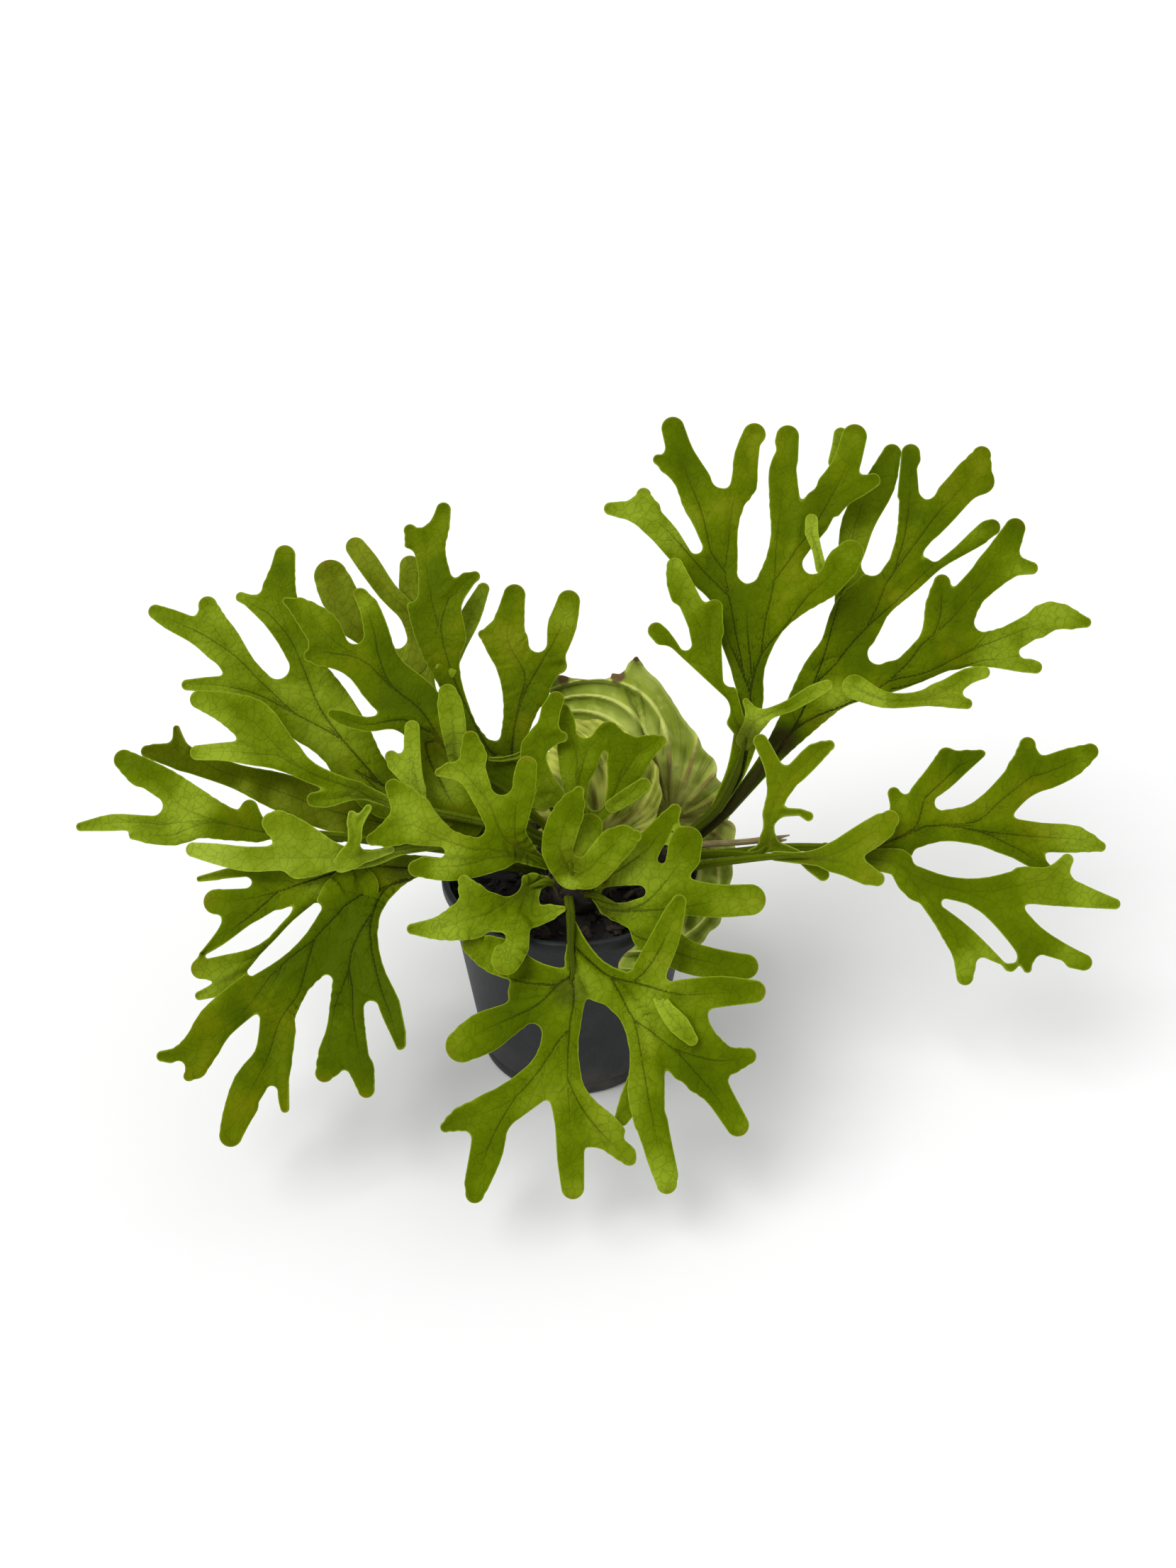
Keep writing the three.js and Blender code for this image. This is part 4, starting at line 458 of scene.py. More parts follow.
# %% The rows of the fronds on the left
FRONDS.update({
  "frond_left_mid": {
    "stalk": [[-3,9,33,2.1], [-15,22,34,2], [-30,34,34,2], [-45,44,33,2], [-60,56,31,1.2]],
    "bays": [[
      [[-103.5,111,4.5], [-106,120,5.5], [-110,128,6]],
    ]],
    "layers": [[
      [[-45,44,33,2.4], [-57,52,31.5,3], [-62,60,31,6], [-72,75,30,12], [-86,86,29,13], [-98,98,28,11],
       [-112,107,27,10], [-122,117,26,8], [-130,124,25,5], [-136,127,25,2]],
      [[-112,104,27,8], [-120,102,26,6], [-125,101,26,3]],
      [[-92,98,28,9], [-94,112,28,7], [-98,124,27,6], [-101,129,26,4.5]],
      [[-74,70,31,8], [-85,70,33,4], [-98,68,35,3.5], [-110,71.5,36,3.5], [-114,73,36,2.5]],
      [[-70,64,29,8], [-68,52,27,12], [-62,40,26,15], [-56,29,26,13], [-50,21,27,8]],
    ], [
      [[-56,24,27,3], [-63,20,31,2.5], [-69,27,34,2], [-72,36,36.5,1.8], [-74.5,46,38.5,3.3], [-76,55,39,4],
       [-76,66.5,39,3.6]],
      [[-72.5,37,36.5,2], [-79,44,37.5,4], [-83.5,49.5,36,4.5], [-86,52.5,36,3]],
    ], [
      [[-55,50,32,3.2], [-56,65,36.5,6], [-58,78,37.5,6], [-59,83,37.5,4.5]],
    ]],
  },
  "frond_left_upper": {
    "stalk": [[-3,7,22,2.1], [-25,20,19,2], [-50,28,18,2], [-70,34,17,2], [-88,40,16.5,1.2]],
    "bays": [[
      [[-140.5,95.5,5.8], [-146,103,7], [-152,112,6.5], [-159,121,5]],
    ]],
    "layers": [[
      [[-72,34,17,2.4], [-88,38,17,5], [-98,48,16,9], [-110,62,14,14], [-120,76,12,15], [-128,95,9,10],
       [-136,115,6,10], [-140,128,4,9], [-138,142,2,6], [-137,149,1,5]],
      [[-140,120,5,7], [-148,123,5,6], [-158,129,4,2.5]],
      [[-122,70,12,12], [-130,72,11,11], [-148,88,9,11], [-160,101,7,10], [-170,113,5,8], [-174,125,4,4.5]],
      [[-170,108,5,8], [-180,113,4,6], [-192,118.5,3,5], [-199,122,3,3.5]],
      [[-140,78,10,8], [-155,84,11,5], [-170,87,12,4], [-184,87,12,2.5]],
      [[-106,49,15,9], [-97,41,15,11.3], [-88,34,16,11.3], [-76,30,16.5,6]],
    ]],
  },
  "frond_left_upper_front": {
    "stalk": [[-8,9,27,2], [-30,18,29,2], [-55,24,31,1.9], [-85,30,32,1.9], [-102,37,33,1.2]],
    "layers": [[
      [[-85,30,32,2.4], [-100,36,33,3.5], [-112,40,33.5,4], [-125,45,34,5], [-136,53,35,7],
       [-145,62,35.5,9.5], [-153,70,36,10.5], [-165,76,37,7.5], [-178,80,37,4.5]],
      [[-136,53,35,6], [-150,54,34,6], [-165,55,33,4.5], [-179,54.5,32,3.5]],
      [[-103,36,33,3], [-110,33,34,2.8], [-118,32,35,4], [-123,32,35,3.5]],
    ]],
  },
  "frond_left_dark": {
    "stalk": [[-12,-2,15,2.1], [-30,8,14,2], [-60,14,13,2], [-78,18,12.5,1.2]],
    "layers": [[
      [[-42,16,13,3.5], [-60,17,13,5.5], [-90,21,12,7.5], [-115,27,11,10], [-140,36,11,9], [-160,43,12,6],
       [-180,50,14,6], [-195,54,15,5], [-203,55,16,3]],
      [[-186,52,14.5,4], [-188,60,13.5,3], [-189,66,13,1.5]],
    ]],
  },
  "frond_left_far": {
    "stalk": [[-13,0,21,2], [-35,4,24,2], [-60,8,27,2], [-85,11,29,2], [-110,14,30.5,1.9], [-128,15,31,1.2]],
    "bays": [[
      [[-200,29,4.5], [-207,32,6]],
    ]],
    "layers": [[
      [[-110,14,30.5,2.4], [-142,16,31,3], [-155,18,31,6], [-170,22,31,9], [-185,28,31,12], [-195,38,30,9],
       [-207,46,29,7], [-214,51,28,5]],
      [[-188,22,31,8], [-195,20,31,6], [-205,21,30,3.6], [-220,21,29,4], [-235,19,28,2]],
      [[-185,18,32,6], [-190,15,34,5], [-203,15,36.5,4], [-210,14.5,37,1.5]],
      [[-150,17,31,4], [-152,22,32,4.5], [-154,28,33,4]],
    ]],
  },
  "frond_left_light": {
    "stalk": [[-11,2,27,2], [-35,8,33,2], [-66,10,40,1.9], [-82,8,43,1.6], [-96,5,44.5,1.1]],
    "layers": [[
      [[-66,10,40,2.2], [-82,8,43,2.8], [-95,4,45,4], [-110,4,47,6], [-122,7,48,9], [-132,14,47,9],
       [-140,20,46,7], [-143,21,46,5]],
      [[-125,4,48,7], [-140,4,48.5,6], [-155,3.5,48,6], [-170,6,47,5], [-181,8,46,3.5]],
      [[-124,3,48,7], [-129,0,49,5.5], [-131,-2,49,4]],
    ], [
      [[-110,1,46.5,4], [-106,4,48.5,5], [-104,12,51,2.4], [-102,20,52,2.2], [-97,28,52,1.6]],
      [[-103,14,51,2], [-105,21,52,2.2], [-105,25,52,1.6]],
      [[-106,4,48.5,4], [-96,5,48,2.5], [-86,8,46,1.5]],
    ]],
  },
  "frond_left_low": {
    "stalk": [[-14,-3,30,2.4], [-20,-1,32,2.4], [-40,1,35,2.4], [-60,1,36,2.2], [-80,-2,36.5,1.2]],
    "bays": [[
      [[-75,-16,7.5], [-79,-28,13], [-78,-42,13], [-72,-54,13.5]],
      [[-95.6,-68,3.6], [-94,-76,4.7], [-90.5,-88,6.6]], [[-117,-55,3], [-121,-63,6], [-125,-74,7.2]],
      [[-143.3,-108,2.8], [-145,-114,4.5]], [[-188,-96.5,3.2], [-191,-101,4]],
      [[-122,-20,2.6], [-130,-29,4.5], [-138,-37.5,4.5], [-146,-44.5,3.6], [-153,-50.5,2]],
    ], [
      [[-122,-20,2.6], [-130,-29,4.5], [-138,-37.5,4.5], [-146,-44.5,3.6], [-153,-50.5,2]],
      [[-141,-24,2.8], [-148,-30.5,4.8], [-156,-35.5,4.5], [-166,-40,2.2], [-174,-43,1]],
      [[-156,-7.7,2.7], [-166,-8.5,2]],
    ]],
    "layers": [[
      [[-60,1,36,2.8], [-75,0,36.5,5.5], [-90,-5,38,10], [-105,-18,43,16], [-103,-40,52,14],
       [-104,-60,60,13], [-105,-80,67,9], [-100,-98,72,6], [-98,-107,73,4]],
      [[-98,-40,53,10], [-92,-50,57,8], [-88,-65,63,6], [-83,-80,68,4], [-82,-85,69,3]],
      [[-108,-78,67,8], [-113,-90,70,8], [-118,-99,72,4.5]],
      [[-112,-28,48,14], [-122,-40,52,12], [-135,-58,58,13], [-140,-75,63,9], [-143,-92,67,9],
       [-153,-105,70,9], [-160,-120,73,7], [-163,-129,74,5.5]],
      [[-141,-96,68,6], [-139,-105,70,4], [-137,-116,71,2]],
      [[-128,-44,53,9], [-140,-50,55,8], [-155,-62,57,9], [-170,-75,61,9], [-178,-87,64,8],
       [-190,-91,65,3.8], [-196,-91,65,2.5]],
      [[-178,-88,64,7], [-180,-96,66,6], [-183,-100,67,3]],
    ], [
      [[-100,-10,40,8], [-118,-12,41,7], [-132,-27,43,4.5], [-150,-43,45,6], [-168,-48,47,6],
       [-177,-49,48,5]],
      [[-150,-45,45,5], [-165,-57,46,4], [-178,-62,47,2]],
      [[-104,-7,40,8], [-120,-5,40,8], [-140,-12,39.5,8.5], [-155,-20,40,8], [-165,-32,41,4.5],
       [-176,-42,42,1.5]],
      [[-152,-18,40,7], [-160,-17,40,7], [-170,-17,40,6]],
      [[-134,-8,39.5,6], [-145,-4,38.5,5], [-160,-3,38,3], [-178,-6,37,1.2]],
    ]],
  },
})
print("fronds with those on the left:", len(FRONDS))

# %% [markdown]
# On the right are fewer fronds, but the two largest of the plant are among them.

# %% The rows of the fronds on the right
FRONDS.update({
  "frond_right_upper": {
    "stalk": [[53,14,9,2.4], [58,17,10,2.4], [70,28,9.5,2.6], [79,45,6.5,2.4], [84,62,3,1.4]],
    "bays": [[
      [[47,172,4], [54,164,4], [60,153,3.2]], [[72,186,4.5], [72,190,5]],
      [[85,141,5.2], [87,150,7], [88,160,8], [89,170,6.5], [92,180,2.8], [91.7,190,2], [94.5,200,4]],
      [[113.8,184,4.2], [113.5,190,5]], [[116,145,5], [120,152,4], [125,160,2.5], [127,166,1.5]],
      [[100,84,7.5], [101,93,8.2], [108,107,8.5], [118,117,7], [125,124,4]],
    ], [
      [[68,75,8.5], [55,87,8.5], [44,98,8]], [[77,90,4], [76,100,3.5], [75,108,2.5]],
      [[55,106.5,3], [52.5,113,4.2], [49,122,4]],
    ]],
    "layers": [[
      [[70,28,9.5,2.8], [79,45,6.5,4.5], [84,62,3,6], [86,78,0,6], [86,92,-3,8], [78,112,-6,7],
       [75,130,-9,7], [66,138,-9,7], [56,148,-9,7], [45,162,-8,8], [36,170,-7,7], [35,178,-7,3.5]],
      [[34,170,-7,5], [24,171,-6,4], [19,171.5,-6,3]],
      [[75,134,-10,9], [72,150,-12,9], [68,168,-14,12], [60,182,-15,9], [53,197,-16,6.5], [49,210,-16,5.5]],
      [[54,190,-15,6], [47,193,-15,5], [42,195,-15,2.5]],
      [[76,155,-13,8], [78,165,-14,8], [83,182,-17,7], [85,197,-19,6.5], [88,207,-20,5.5]],
      [[88,92,-3,8], [94,108,-6,9], [97,128,-9,14], [102,150,-12,10], [102,172,-15,8], [102,190,-18,7],
       [104,206,-19,5.5]],
      [[104,140,-11,9], [114,160,-12,9], [122,175,-14,9], [131,190,-16,7], [136,206,-18,6]],
      [[126,178,-14,7], [138,182,-14,5], [145,185,-14,3.5]],
      [[99,120,-7,8], [105,125,-6,8], [118,133,-4,8], [130,145,-3,8], [134,150,-3,6.5]],
    ], [
      [[83,64,3,4], [79,70,4.5,4.5], [74,82,5,6], [66,95,4,9], [55,99,4,5.5], [46,108,4,4.5], [41,113,4,4]],
      [[65,98,4,8], [64,110,3,8], [58,122,2,7], [52,136,1,6], [50,144,1,4]],
      [[66,108,3,6], [67,115,2,6], [69,124,1,4]],
    ], [
      [[84,60,3.5,5], [88,69,5,4], [97,74,7,2.6], [105,77,8,3], [116,83.5,9,3.5], [123,87,9,2.5]],
      [[89,70,5,4], [84,79,7,1.5]],
    ], [
      [[120,143,-6,2.5], [118,152,-5,2.2], [115.5,160,-4,3.2], [115.5,166,-4,3]],
    ], [
      [[127,194,-21,3.5], [129,201,-22,3.8], [129.5,207,-22,3.4]],
    ]],
  },
  "frond_right_tall": {
    "stalk": [[56,11,3,2.4], [64,17,4,2.4], [75,27,4,2.6], [90,45,0,2.4], [101,60,-6,1.4]],
    "bays": [[
      [[144.5,144.5,5.3], [147.5,150,6], [150,157,5.7], [153,165,4], [156,175,1.3]],
      [[171,180.5,4.2], [170,190,4]], [[174.5,149.5,3.5], [181,156,4.5], [188,163,4.5], [196,171,5]],
      [[147.5,102,5.2], [153,106,7.5], [159,114,8.5]],
    ], [
      [[147.5,102,5.2], [153,106,7.5], [159,114,8.5]], [[198,117,4.6], [204,122,8], [213,128,9]],
      [[218,102.5,2.8], [224,105,4]],
    ], [
    ], [
      [[144.5,144.5,5.3], [147.5,150,6], [150,157,5.7], [153,165,4]],
    ]],
    "layers": [[
      [[75,27,4,2.9], [90,45,0,4], [100,58,-6,6], [112,74,-11,10], [124,90,-15,14], [132,103,-17,13],
       [138,120,-20,13], [145,132,-22,9], [158,148,-24,9], [163,165,-27,8], [163,182,-30,6],
       [163,198,-32,4.5]],
      [[163,158,-25,7], [172,165,-26,8], [184,178,-28,8], [193,188,-29,8], [197,197,-30,4.5]],
      [[192,186,-29,6], [198,184,-29,5]],
      [[148,128,-22,8], [163,137,-23,5.5], [175,146,-24,4.2], [186,154,-24,5.5], [195,160,-25,6.3],
       [202,162.5,-25,4]],
    ], [
      [[118,80,-13,10], [128,88,-15,12], [140,90,-15,10], [155,92,-15,8], [170,100,-15,10],
       [183,110,-15,12], [190,125,-15,10], [200,138,-14,9], [208,152,-13,7], [213,162,-12,5]],
      [[178,112,-15,9], [177,125,-16,7], [178,136,-16,4]],
      [[203,142,-14,7], [212,144,-13,5], [221,143,-12,3]],
      [[186,104,-14,9], [198,107,-13,9], [215,112,-11,8], [230,120,-9,7], [240,118.5,-8,5],
       [247,117,-7,2.5]],
      [[198,103,-13,7], [205,101,-12,6], [217,97,-10,4], [223,95.5,-10,3]],
    ], [
      [[136,86,-14,6], [150,80,-11,4], [165,80,-8,3.5], [178,83.5,-6,5], [190,91,-4,4], [198,93,-3,3]],
      [[176,82,-6,4], [182,80,-5,4], [190,78,-4,2.5]],
    ], [
      [[135,112,-19.5,8], [135,128,-23,8.5], [135,145,-25.5,7], [138,165,-29,8], [148,183,-33,7.5],
       [154,198,-35,4.5]],
    ]],
  },
  "frond_right_low": {
    "stalk": [[56,4,9,2], [60,5,13.5,2], [80,7,15,2], [100,9,15,2], [122,9,15,2], [146,7,16.5,1.2]],
    "bays": [[
      [[178,30.5,3.6], [186,34,5.5], [194,40,6.5], [203,49,6]],
      [[168,5,4.2], [178,6,6], [190,5,6], [200,3.5,4.5], [210,1.5,2.3]],
    ], [
      [[168,4,4.2], [178,2,5.5], [190,-1,4.6], [200,-1,4], [210,0,2.5]],
      [[180,-18,2], [188,-21.5,3.5], [196,-28,4], [204,-36,4], [210,-43,3.5]],
      [[197.5,-47,3.3], [204,-50.5,4]], [[226,-46,3.6], [233,-49,4.5]],
    ]],
    "layers": [[
      [[122,9,15,2.4], [138,6,16,4], [150,11,17,8], [165,19,18,12], [170,33,17,8], [180,44,15,9],
       [180,53,14,4]],
      [[182,46,15,7], [190,50,14,6], [196,52,13,4]], [[160,24,18,6], [157,30,19,4], [155,35,19,3]],
      [[165,19,18,12], [180,20,19,9], [195,22,19,9], [207,33,18,9], [217,45,16,8], [219,58,14,4]],
      [[216,42,16,8], [228,45,16,8], [240,50,15,7], [249,55,14,4]],
      [[190,18,20,8], [205,16,20,8], [225,14,20,7], [242,13,19,6.5], [254,9.5,18,2.5]],
      [[206,12,21,6], [215,8,21.5,5], [224,2,21.5,4], [230,-2,21.5,1.5]],
    ], [
      [[136,6,16,3.4], [148,3,18,5.5], [157,2,20,6.5], [164,-4,22,7], [180,-10,25,6], [200,-12,27,8],
       [218,-9,28,9], [232,-11,28,8], [248,-15,28,5], [261,-18,28,2.5]],
      [[230,-8,28,6], [234,-3,28,5], [238,3,28,3]],
      [[200,-14,27,8], [208,-22,30,8], [220,-35,32,8], [235,-42,33,5.5], [246,-46,34,4]],
      [[219,-38,32,6], [218,-44,33,4], [219,-49,34,2]],
      [[162,-7,22,5], [168,-12,24,4], [178,-24,28,5], [190,-37,32,8], [202,-44,34,5], [211,-48,35,2.5]],
      [[190,-40,33,6], [189,-47,34,5], [189,-53,35,4]], [[164,-8,23,4], [165,-12,25,3.5], [163,-7,27,2.5]],
    ]],
  },
  "frond_right_small": {
    "stalk": [[53,0,11,1.8], [57,-0.5,20,1.8], [66,1,24.5,1.8], [80,3,25,1.8], [100,5,25,1.6],
      [114,4.5,25,1.1]],
    "layers": [[
      [[98,5,25,2.2], [112,4,25,3], [125,5.5,26,5.5], [139,12.5,27,7], [149,19,27,6.5], [153,22.5,26,4.5]],
      [[127,3,26,6], [133,1,27,6], [142,-4,29,5], [147,-6,29,3.5]],
    ]],
  },
  "frond_right_upright": {
    "stalk": [[50,7,15,1.7], [58,6.5,19.5,1.6], [75,6.5,20.5,1.6], [88,6,21,1.6], [94,10,21,1.2]],
    "layers": [[
      [[86,6,21,1.9], [94,10,21,3], [95,20,20,2.6], [97,30,19,4], [100,38,18,5.5], [96,50,17,4],
       [91,60,16,3.5]],
      [[101,40,18,5], [108,45,18,5], [117,54,17,5], [124,58,17,2.5]],
      [[96,25,20,2.5], [103,26,21,2], [110,26,22,1.6], [114,24,22,2.3]],
      [[94,13,21,2.5], [98,10,21,2.4], [108,6,20.5,2.2], [115,0,20,2.5], [121,-4,20,3]],
    ]],
  },
})
print("all fronds:", len(FRONDS), "with bays:", sum("bays" in frond for frond in FRONDS.values()))

# %% [markdown]
# On five fronds the veins are a part of how they look, so their lines are given. Each is x and v
# from where the vein leaves its mother vein to where it fades out.

# %% The veins of the large fronds
tall_veins = [
  [[93,49], [102,59], [109,70], [113,79], [117,89], [121,100], [125,114], [129,128], [133,142], [135,158],
   [140,174], [150,190]],
  [[109,70], [117.5,87], [122,92], [127,97], [134,106], [141.5,114], [148,120], [157,128], [168,139],
   [182,151], [194,160]],
  [[141.5,114], [146.5,124], [151,135], [155,141], [157,148], [160,158], [162,174], [163,192]],
  [[155,141], [161,149], [167,157], [175,168], [186,180], [194,191]],
  [[101,58], [108,66], [118,72], [128,76], [137,80], [148.5,86], [156,92], [163,99], [168,106], [174,111],
   [183,119], [191,129], [201,141], [210,155]],
  [[137,80], [145,84], [154,89], [165,91.5], [174,94.5], [183,99], [193,104], [206,109], [222,115],
   [237,118]],
  [[154,85], [163,87], [174,91], [186,95], [200,99], [215,98]], [[174,111], [177,120], [178,132]],
  [[193,104], [200,112]],
]
VEINS = {
  ("frond_right_tall", 0): tall_veins,
  ("frond_right_tall", 1): tall_veins,
  ("frond_right_tall", 3): tall_veins,
  ("frond_right_upper", 0): [
    [[77,35], [81.5,48], [84.5,62], [85.7,74], [86,82], [88.5,94], [91,101], [92,109], [93.5,119],
     [95.5,127], [97.5,137], [98,146], [99,158], [101,176], [103,198]],
    [[97.5,137], [103,144], [108.5,152.5], [114,159], [121,170], [130,187], [135,200]],
    [[91,101], [95.5,107], [102.5,114.5], [108.5,123], [114,130], [123,138], [131,146]],
    [[79,35], [83.5,50], [86,64], [86,82], [83,92], [81,102], [78.5,115], [76.5,126], [75,134], [74,141],
     [75.5,154], [76,162], [78.5,177], [83,190], [87,202]],
    [[74,141], [71,145], [67,151], [65,161], [62,172], [57,184], [51,200]],
    [[76,129], [70,135], [64,141], [57,149], [46,161], [35,170]],
    [[86,82], [83.5,89], [79.5,99], [76,107], [73.5,114]], [[87,86], [86,100], [84.5,115], [85,124]],
  ],
  ("frond_left_low", 0): [
    [[-60,-4], [-66,-5], [-79.5,-7], [-87,-9.5], [-95,-12], [-100.5,-14], [-108,-19], [-113.5,-25],
     [-119,-30.5], [-124,-36], [-132,-42], [-138.5,-47.5], [-145,-54.5], [-149,-60], [-158,-71], [-169,-80],
     [-181,-90]],
    [[-122,-34], [-124,-39], [-126,-45.5], [-128,-53], [-130.5,-61], [-136,-69], [-140,-76], [-145,-91],
     [-152,-105], [-160,-119]],
    [[-138.5,-47.5], [-140,-52], [-145,-60]],
    [[-68,-5], [-76,-6], [-83.5,-7.5], [-88.5,-11], [-92.5,-16.5], [-94.5,-22], [-98,-27], [-102,-34],
     [-105,-41.5], [-106.3,-49], [-109,-57], [-113,-68], [-115,-80], [-118,-94]],
    [[-94.5,-22], [-96,-30], [-95.5,-38], [-94,-46], [-91,-58], [-86,-72], [-83,-83]],
    [[-106,-50], [-104.5,-60], [-104,-74], [-101,-92]], [[-70,-2], [-77,-1], [-87,0], [-100,0.5]],
  ],
  ("frond_left_low", 1): [
    [[-87,0], [-100,0.5], [-113,-3], [-128,-8], [-140,-12], [-152,-15], [-166,-17]],
    [[-140,-12], [-150,-21], [-164,-32]], [[-112,-8], [-130,-25], [-150,-42], [-168,-48]],
  ],
  ("frond_front", 0): [
    [[0,-24], [0.5,-29], [1.4,-36], [1.2,-45], [0.5,-52.5], [1.4,-58], [1.4,-66], [0,-73.5], [-0.5,-80],
     [-1,-87], [-1.2,-95], [-1.2,-104], [-0.5,-120], [0,-140]],
    [[0.5,-52.5], [-6,-57], [-10,-61.5], [-17,-67], [-25,-71], [-34,-75], [-47,-81]],
    [[-6,-57], [-13,-56.5], [-20,-56], [-29,-54], [-39,-47]],
    [[-0.5,-78], [-6,-84], [-10,-90], [-14,-96], [-17,-100], [-26,-110], [-38,-117], [-51,-121]],
    [[-26,-110], [-34,-123], [-40,-136], [-45,-150]],
    [[-1.2,-102], [3,-112], [9,-121], [18,-131], [27,-138]],
    [[1.4,-37.5], [4,-41], [9.5,-46], [14.5,-50.5], [18.5,-53], [24,-54.5], [30,-55.5], [37,-57.5],
     [46,-60], [53,-61.5], [66,-61], [84,-60]],
    [[18.5,-53], [24,-61.5], [27.5,-69], [30,-73], [32,-81], [33.5,-89], [35,-98], [38,-115], [42,-134],
     [45,-150]],
    [[30,-73], [38,-79], [44.5,-84], [51,-89], [61,-100], [71,-112], [80,-126]],
    [[49,-87], [60,-91], [72,-93], [84,-91]], [[30,-55.5], [36,-50], [42,-41], [48,-28]],
  ],
  ("frond_front_right", 0): [
    [[5,-15], [11,-17], [16,-20.5], [26,-21.5], [39.5,-21], [52,-20], [69,-17], [84,-16]],
    [[26,-21.5], [34,-18.5], [39.5,-14.5], [46,-7], [54,4]],
    [[6,-14], [10,-10.5], [14.5,-6.5], [24,-1], [35,7], [44,17]],
    [[12,-18], [18,-24], [24,-28], [31,-33], [45,-39], [62,-45], [80,-48]],
  ],
}
print("layers with given veins:", len(VEINS), "lines:", sum(len(lines) for lines in VEINS.values()))

# %% [markdown]
# Where light falls on a frond and where shade lies on it is painted as lighter and darker areas,
# given as x, v, reach and change of tone, and a change far below 0 is a spot of decay.

# %% Painted light and shade, and spots of decay
# painted light above 0 and painted shade below 0 on each frond, and a spot of decay far below 0
PAINTED_LIGHT_AND_DECAY_SPOTS = {
  "frond_front": [(6,-58,14,0.6), (-35,-72,14,-0.25), (35,-68,12,0.35), (-18,-92,12,0.3), (64,-100,14,-0.3),
    (30,-120,12,0.3), (44,-148,10,0.5), (-45,-148,12,0.35), (80,-125,10,0.25)],
  "frond_front_right": [(40,0,14,0.2), (30,-12,10,0.25), (72,-44,12,-0.3), (16,-7,1.7,-4)],
  "frond_right_tall": [(226,118,22,0.9), (205,98,14,0.75), (184,104,10,-0.4), (215,147,12,0.5),
    (165,110,12,0.25), (128,80,10,0.6), (196,160,12,0.7), (104,60,10,-0.4), (141,84,4,1.0), (147,80,4,0.9)],
  "frond_right_upper": [(28,171,18,0.8), (50,158,10,0.4), (132,150,10,0.3), (136,205,9,0.2), (96,90,9,-0.3),
    (46,208,8,0.3), (140,184,7,0.3), (90,69,7,0.8)],
  "frond_left_low": [(-78,-4,14,0.5), (-172,-60,10,0.4), (-118,-12,9,0.7), (-160,-45,14,0.35),
    (-95,-30,16,-0.3), (-150,-70,18,-0.2)],
  "frond_left_upper": [(-185,115,18,0.5), (-105,45,14,-0.3), (-138,140,12,-0.5)],
  "frond_left_mid": [(-125,122,10,0.4), (-100,125,8,0.5), (-64,66,10,-0.2), (-58,38,13,0.75),
    (-58,22,7,-0.9)],
  "frond_left_dark": [(-155,38,6,0.9), (-139,34,6,0.8), (-113,16,7,0.7)],
  "frond_left_upper_front": [(-120,40,12,-0.25), (-170,56,14,0.3)],
  "frond_left_far": [(-225,20,14,0.45), (-203,46,7,-0.4), (-185,20,10,0.3), (-160,19,13,-0.8),
    (-180,34,9,0.3)],
  "frond_right_low": [(160,17,14,-0.35), (185,48,12,-0.2), (172,-3,12,-0.3), (200,-18,14,0.35),
    (245,13,11,0.7), (158,28,8,0.3), (222,42,14,-0.2), (252,-15,13,0.6), (238,-43,12,0.55),
    (198,-49,13,0.5), (246,52,10,0.2), (215,14,10,-0.25)],
  "frond_centre_left": [(-30,10,9,-0.45), (-80,28,12,0.5), (-44,45,12,0.35), (-60,0,10,0.5)],
  "frond_front_left": [(-24,-14,9,-0.4), (-30,-42,8,0.4), (-65,-29,10,0.3)],
  "frond_back_tall": [(-62,160,14,0.2), (-22,70,14,-0.3), (-2,120,8,0.4)],
  "frond_centre": [(9,14,8,0.4), (0,-2,7,-0.2), (26,12,7,0.3), (0,-9,4,1.3)],
}
VEINING = {  # how clearly a frond's veins show; others are 0.8
  "frond_right_tall": 1.6, "frond_right_upper": 1.5, "frond_left_low": 1.5, "frond_front": 1.15,
  "frond_front_right": 0.75, "frond_back_tall": 1.1, "frond_left_upper": 1.2, "frond_left_mid": 1.1,
  "frond_right_low": 1.3, "frond_centre": 0.3, "frond_front_left": 0.35, "frond_centre_left": 0.45,
  "frond_back_centre": 0.5, "frond_left_light": 0.3, "frond_right_small": 0.4, "frond_right_upright": 0.3,
  "frond_left_far": 0.6, "frond_left_upper_front": 0.5, "frond_back_olive": 0.7,
}
print("areas:", sum(len(spots) for spots in PAINTED_LIGHT_AND_DECAY_SPOTS.values()), "on", len(PAINTED_LIGHT_AND_DECAY_SPOTS), "fronds")

# %% [markdown]
# The veins of a staghorn frond leave the stalk as a bundle and part well before each fork, so
# each lobe has one, thinner and fainter towards its tip. On the large fronds they follow the
# given lines. On the others the lobes' own rows say where they run: a branch leaves the vein
# before it some way upstream, runs close beside it, and then follows its lobe. Curve objects
# could show the same, but a blade needs the veins as a shade and a furrow in its own skin.

# %% Where a vein leaves its mother vein
VEIN_STEP = 2.5
BUNDLED, BUNDLE_SPREAD = 16.0, 1.1
LEAST_BEND, BEND_SHARE = 1.6, 0.3


def distances(points):
    """How far along the line each of its points is."""
    return np.concatenate([[0], np.cumsum(np.linalg.norm(np.diff(points, axis=0), axis=1))])


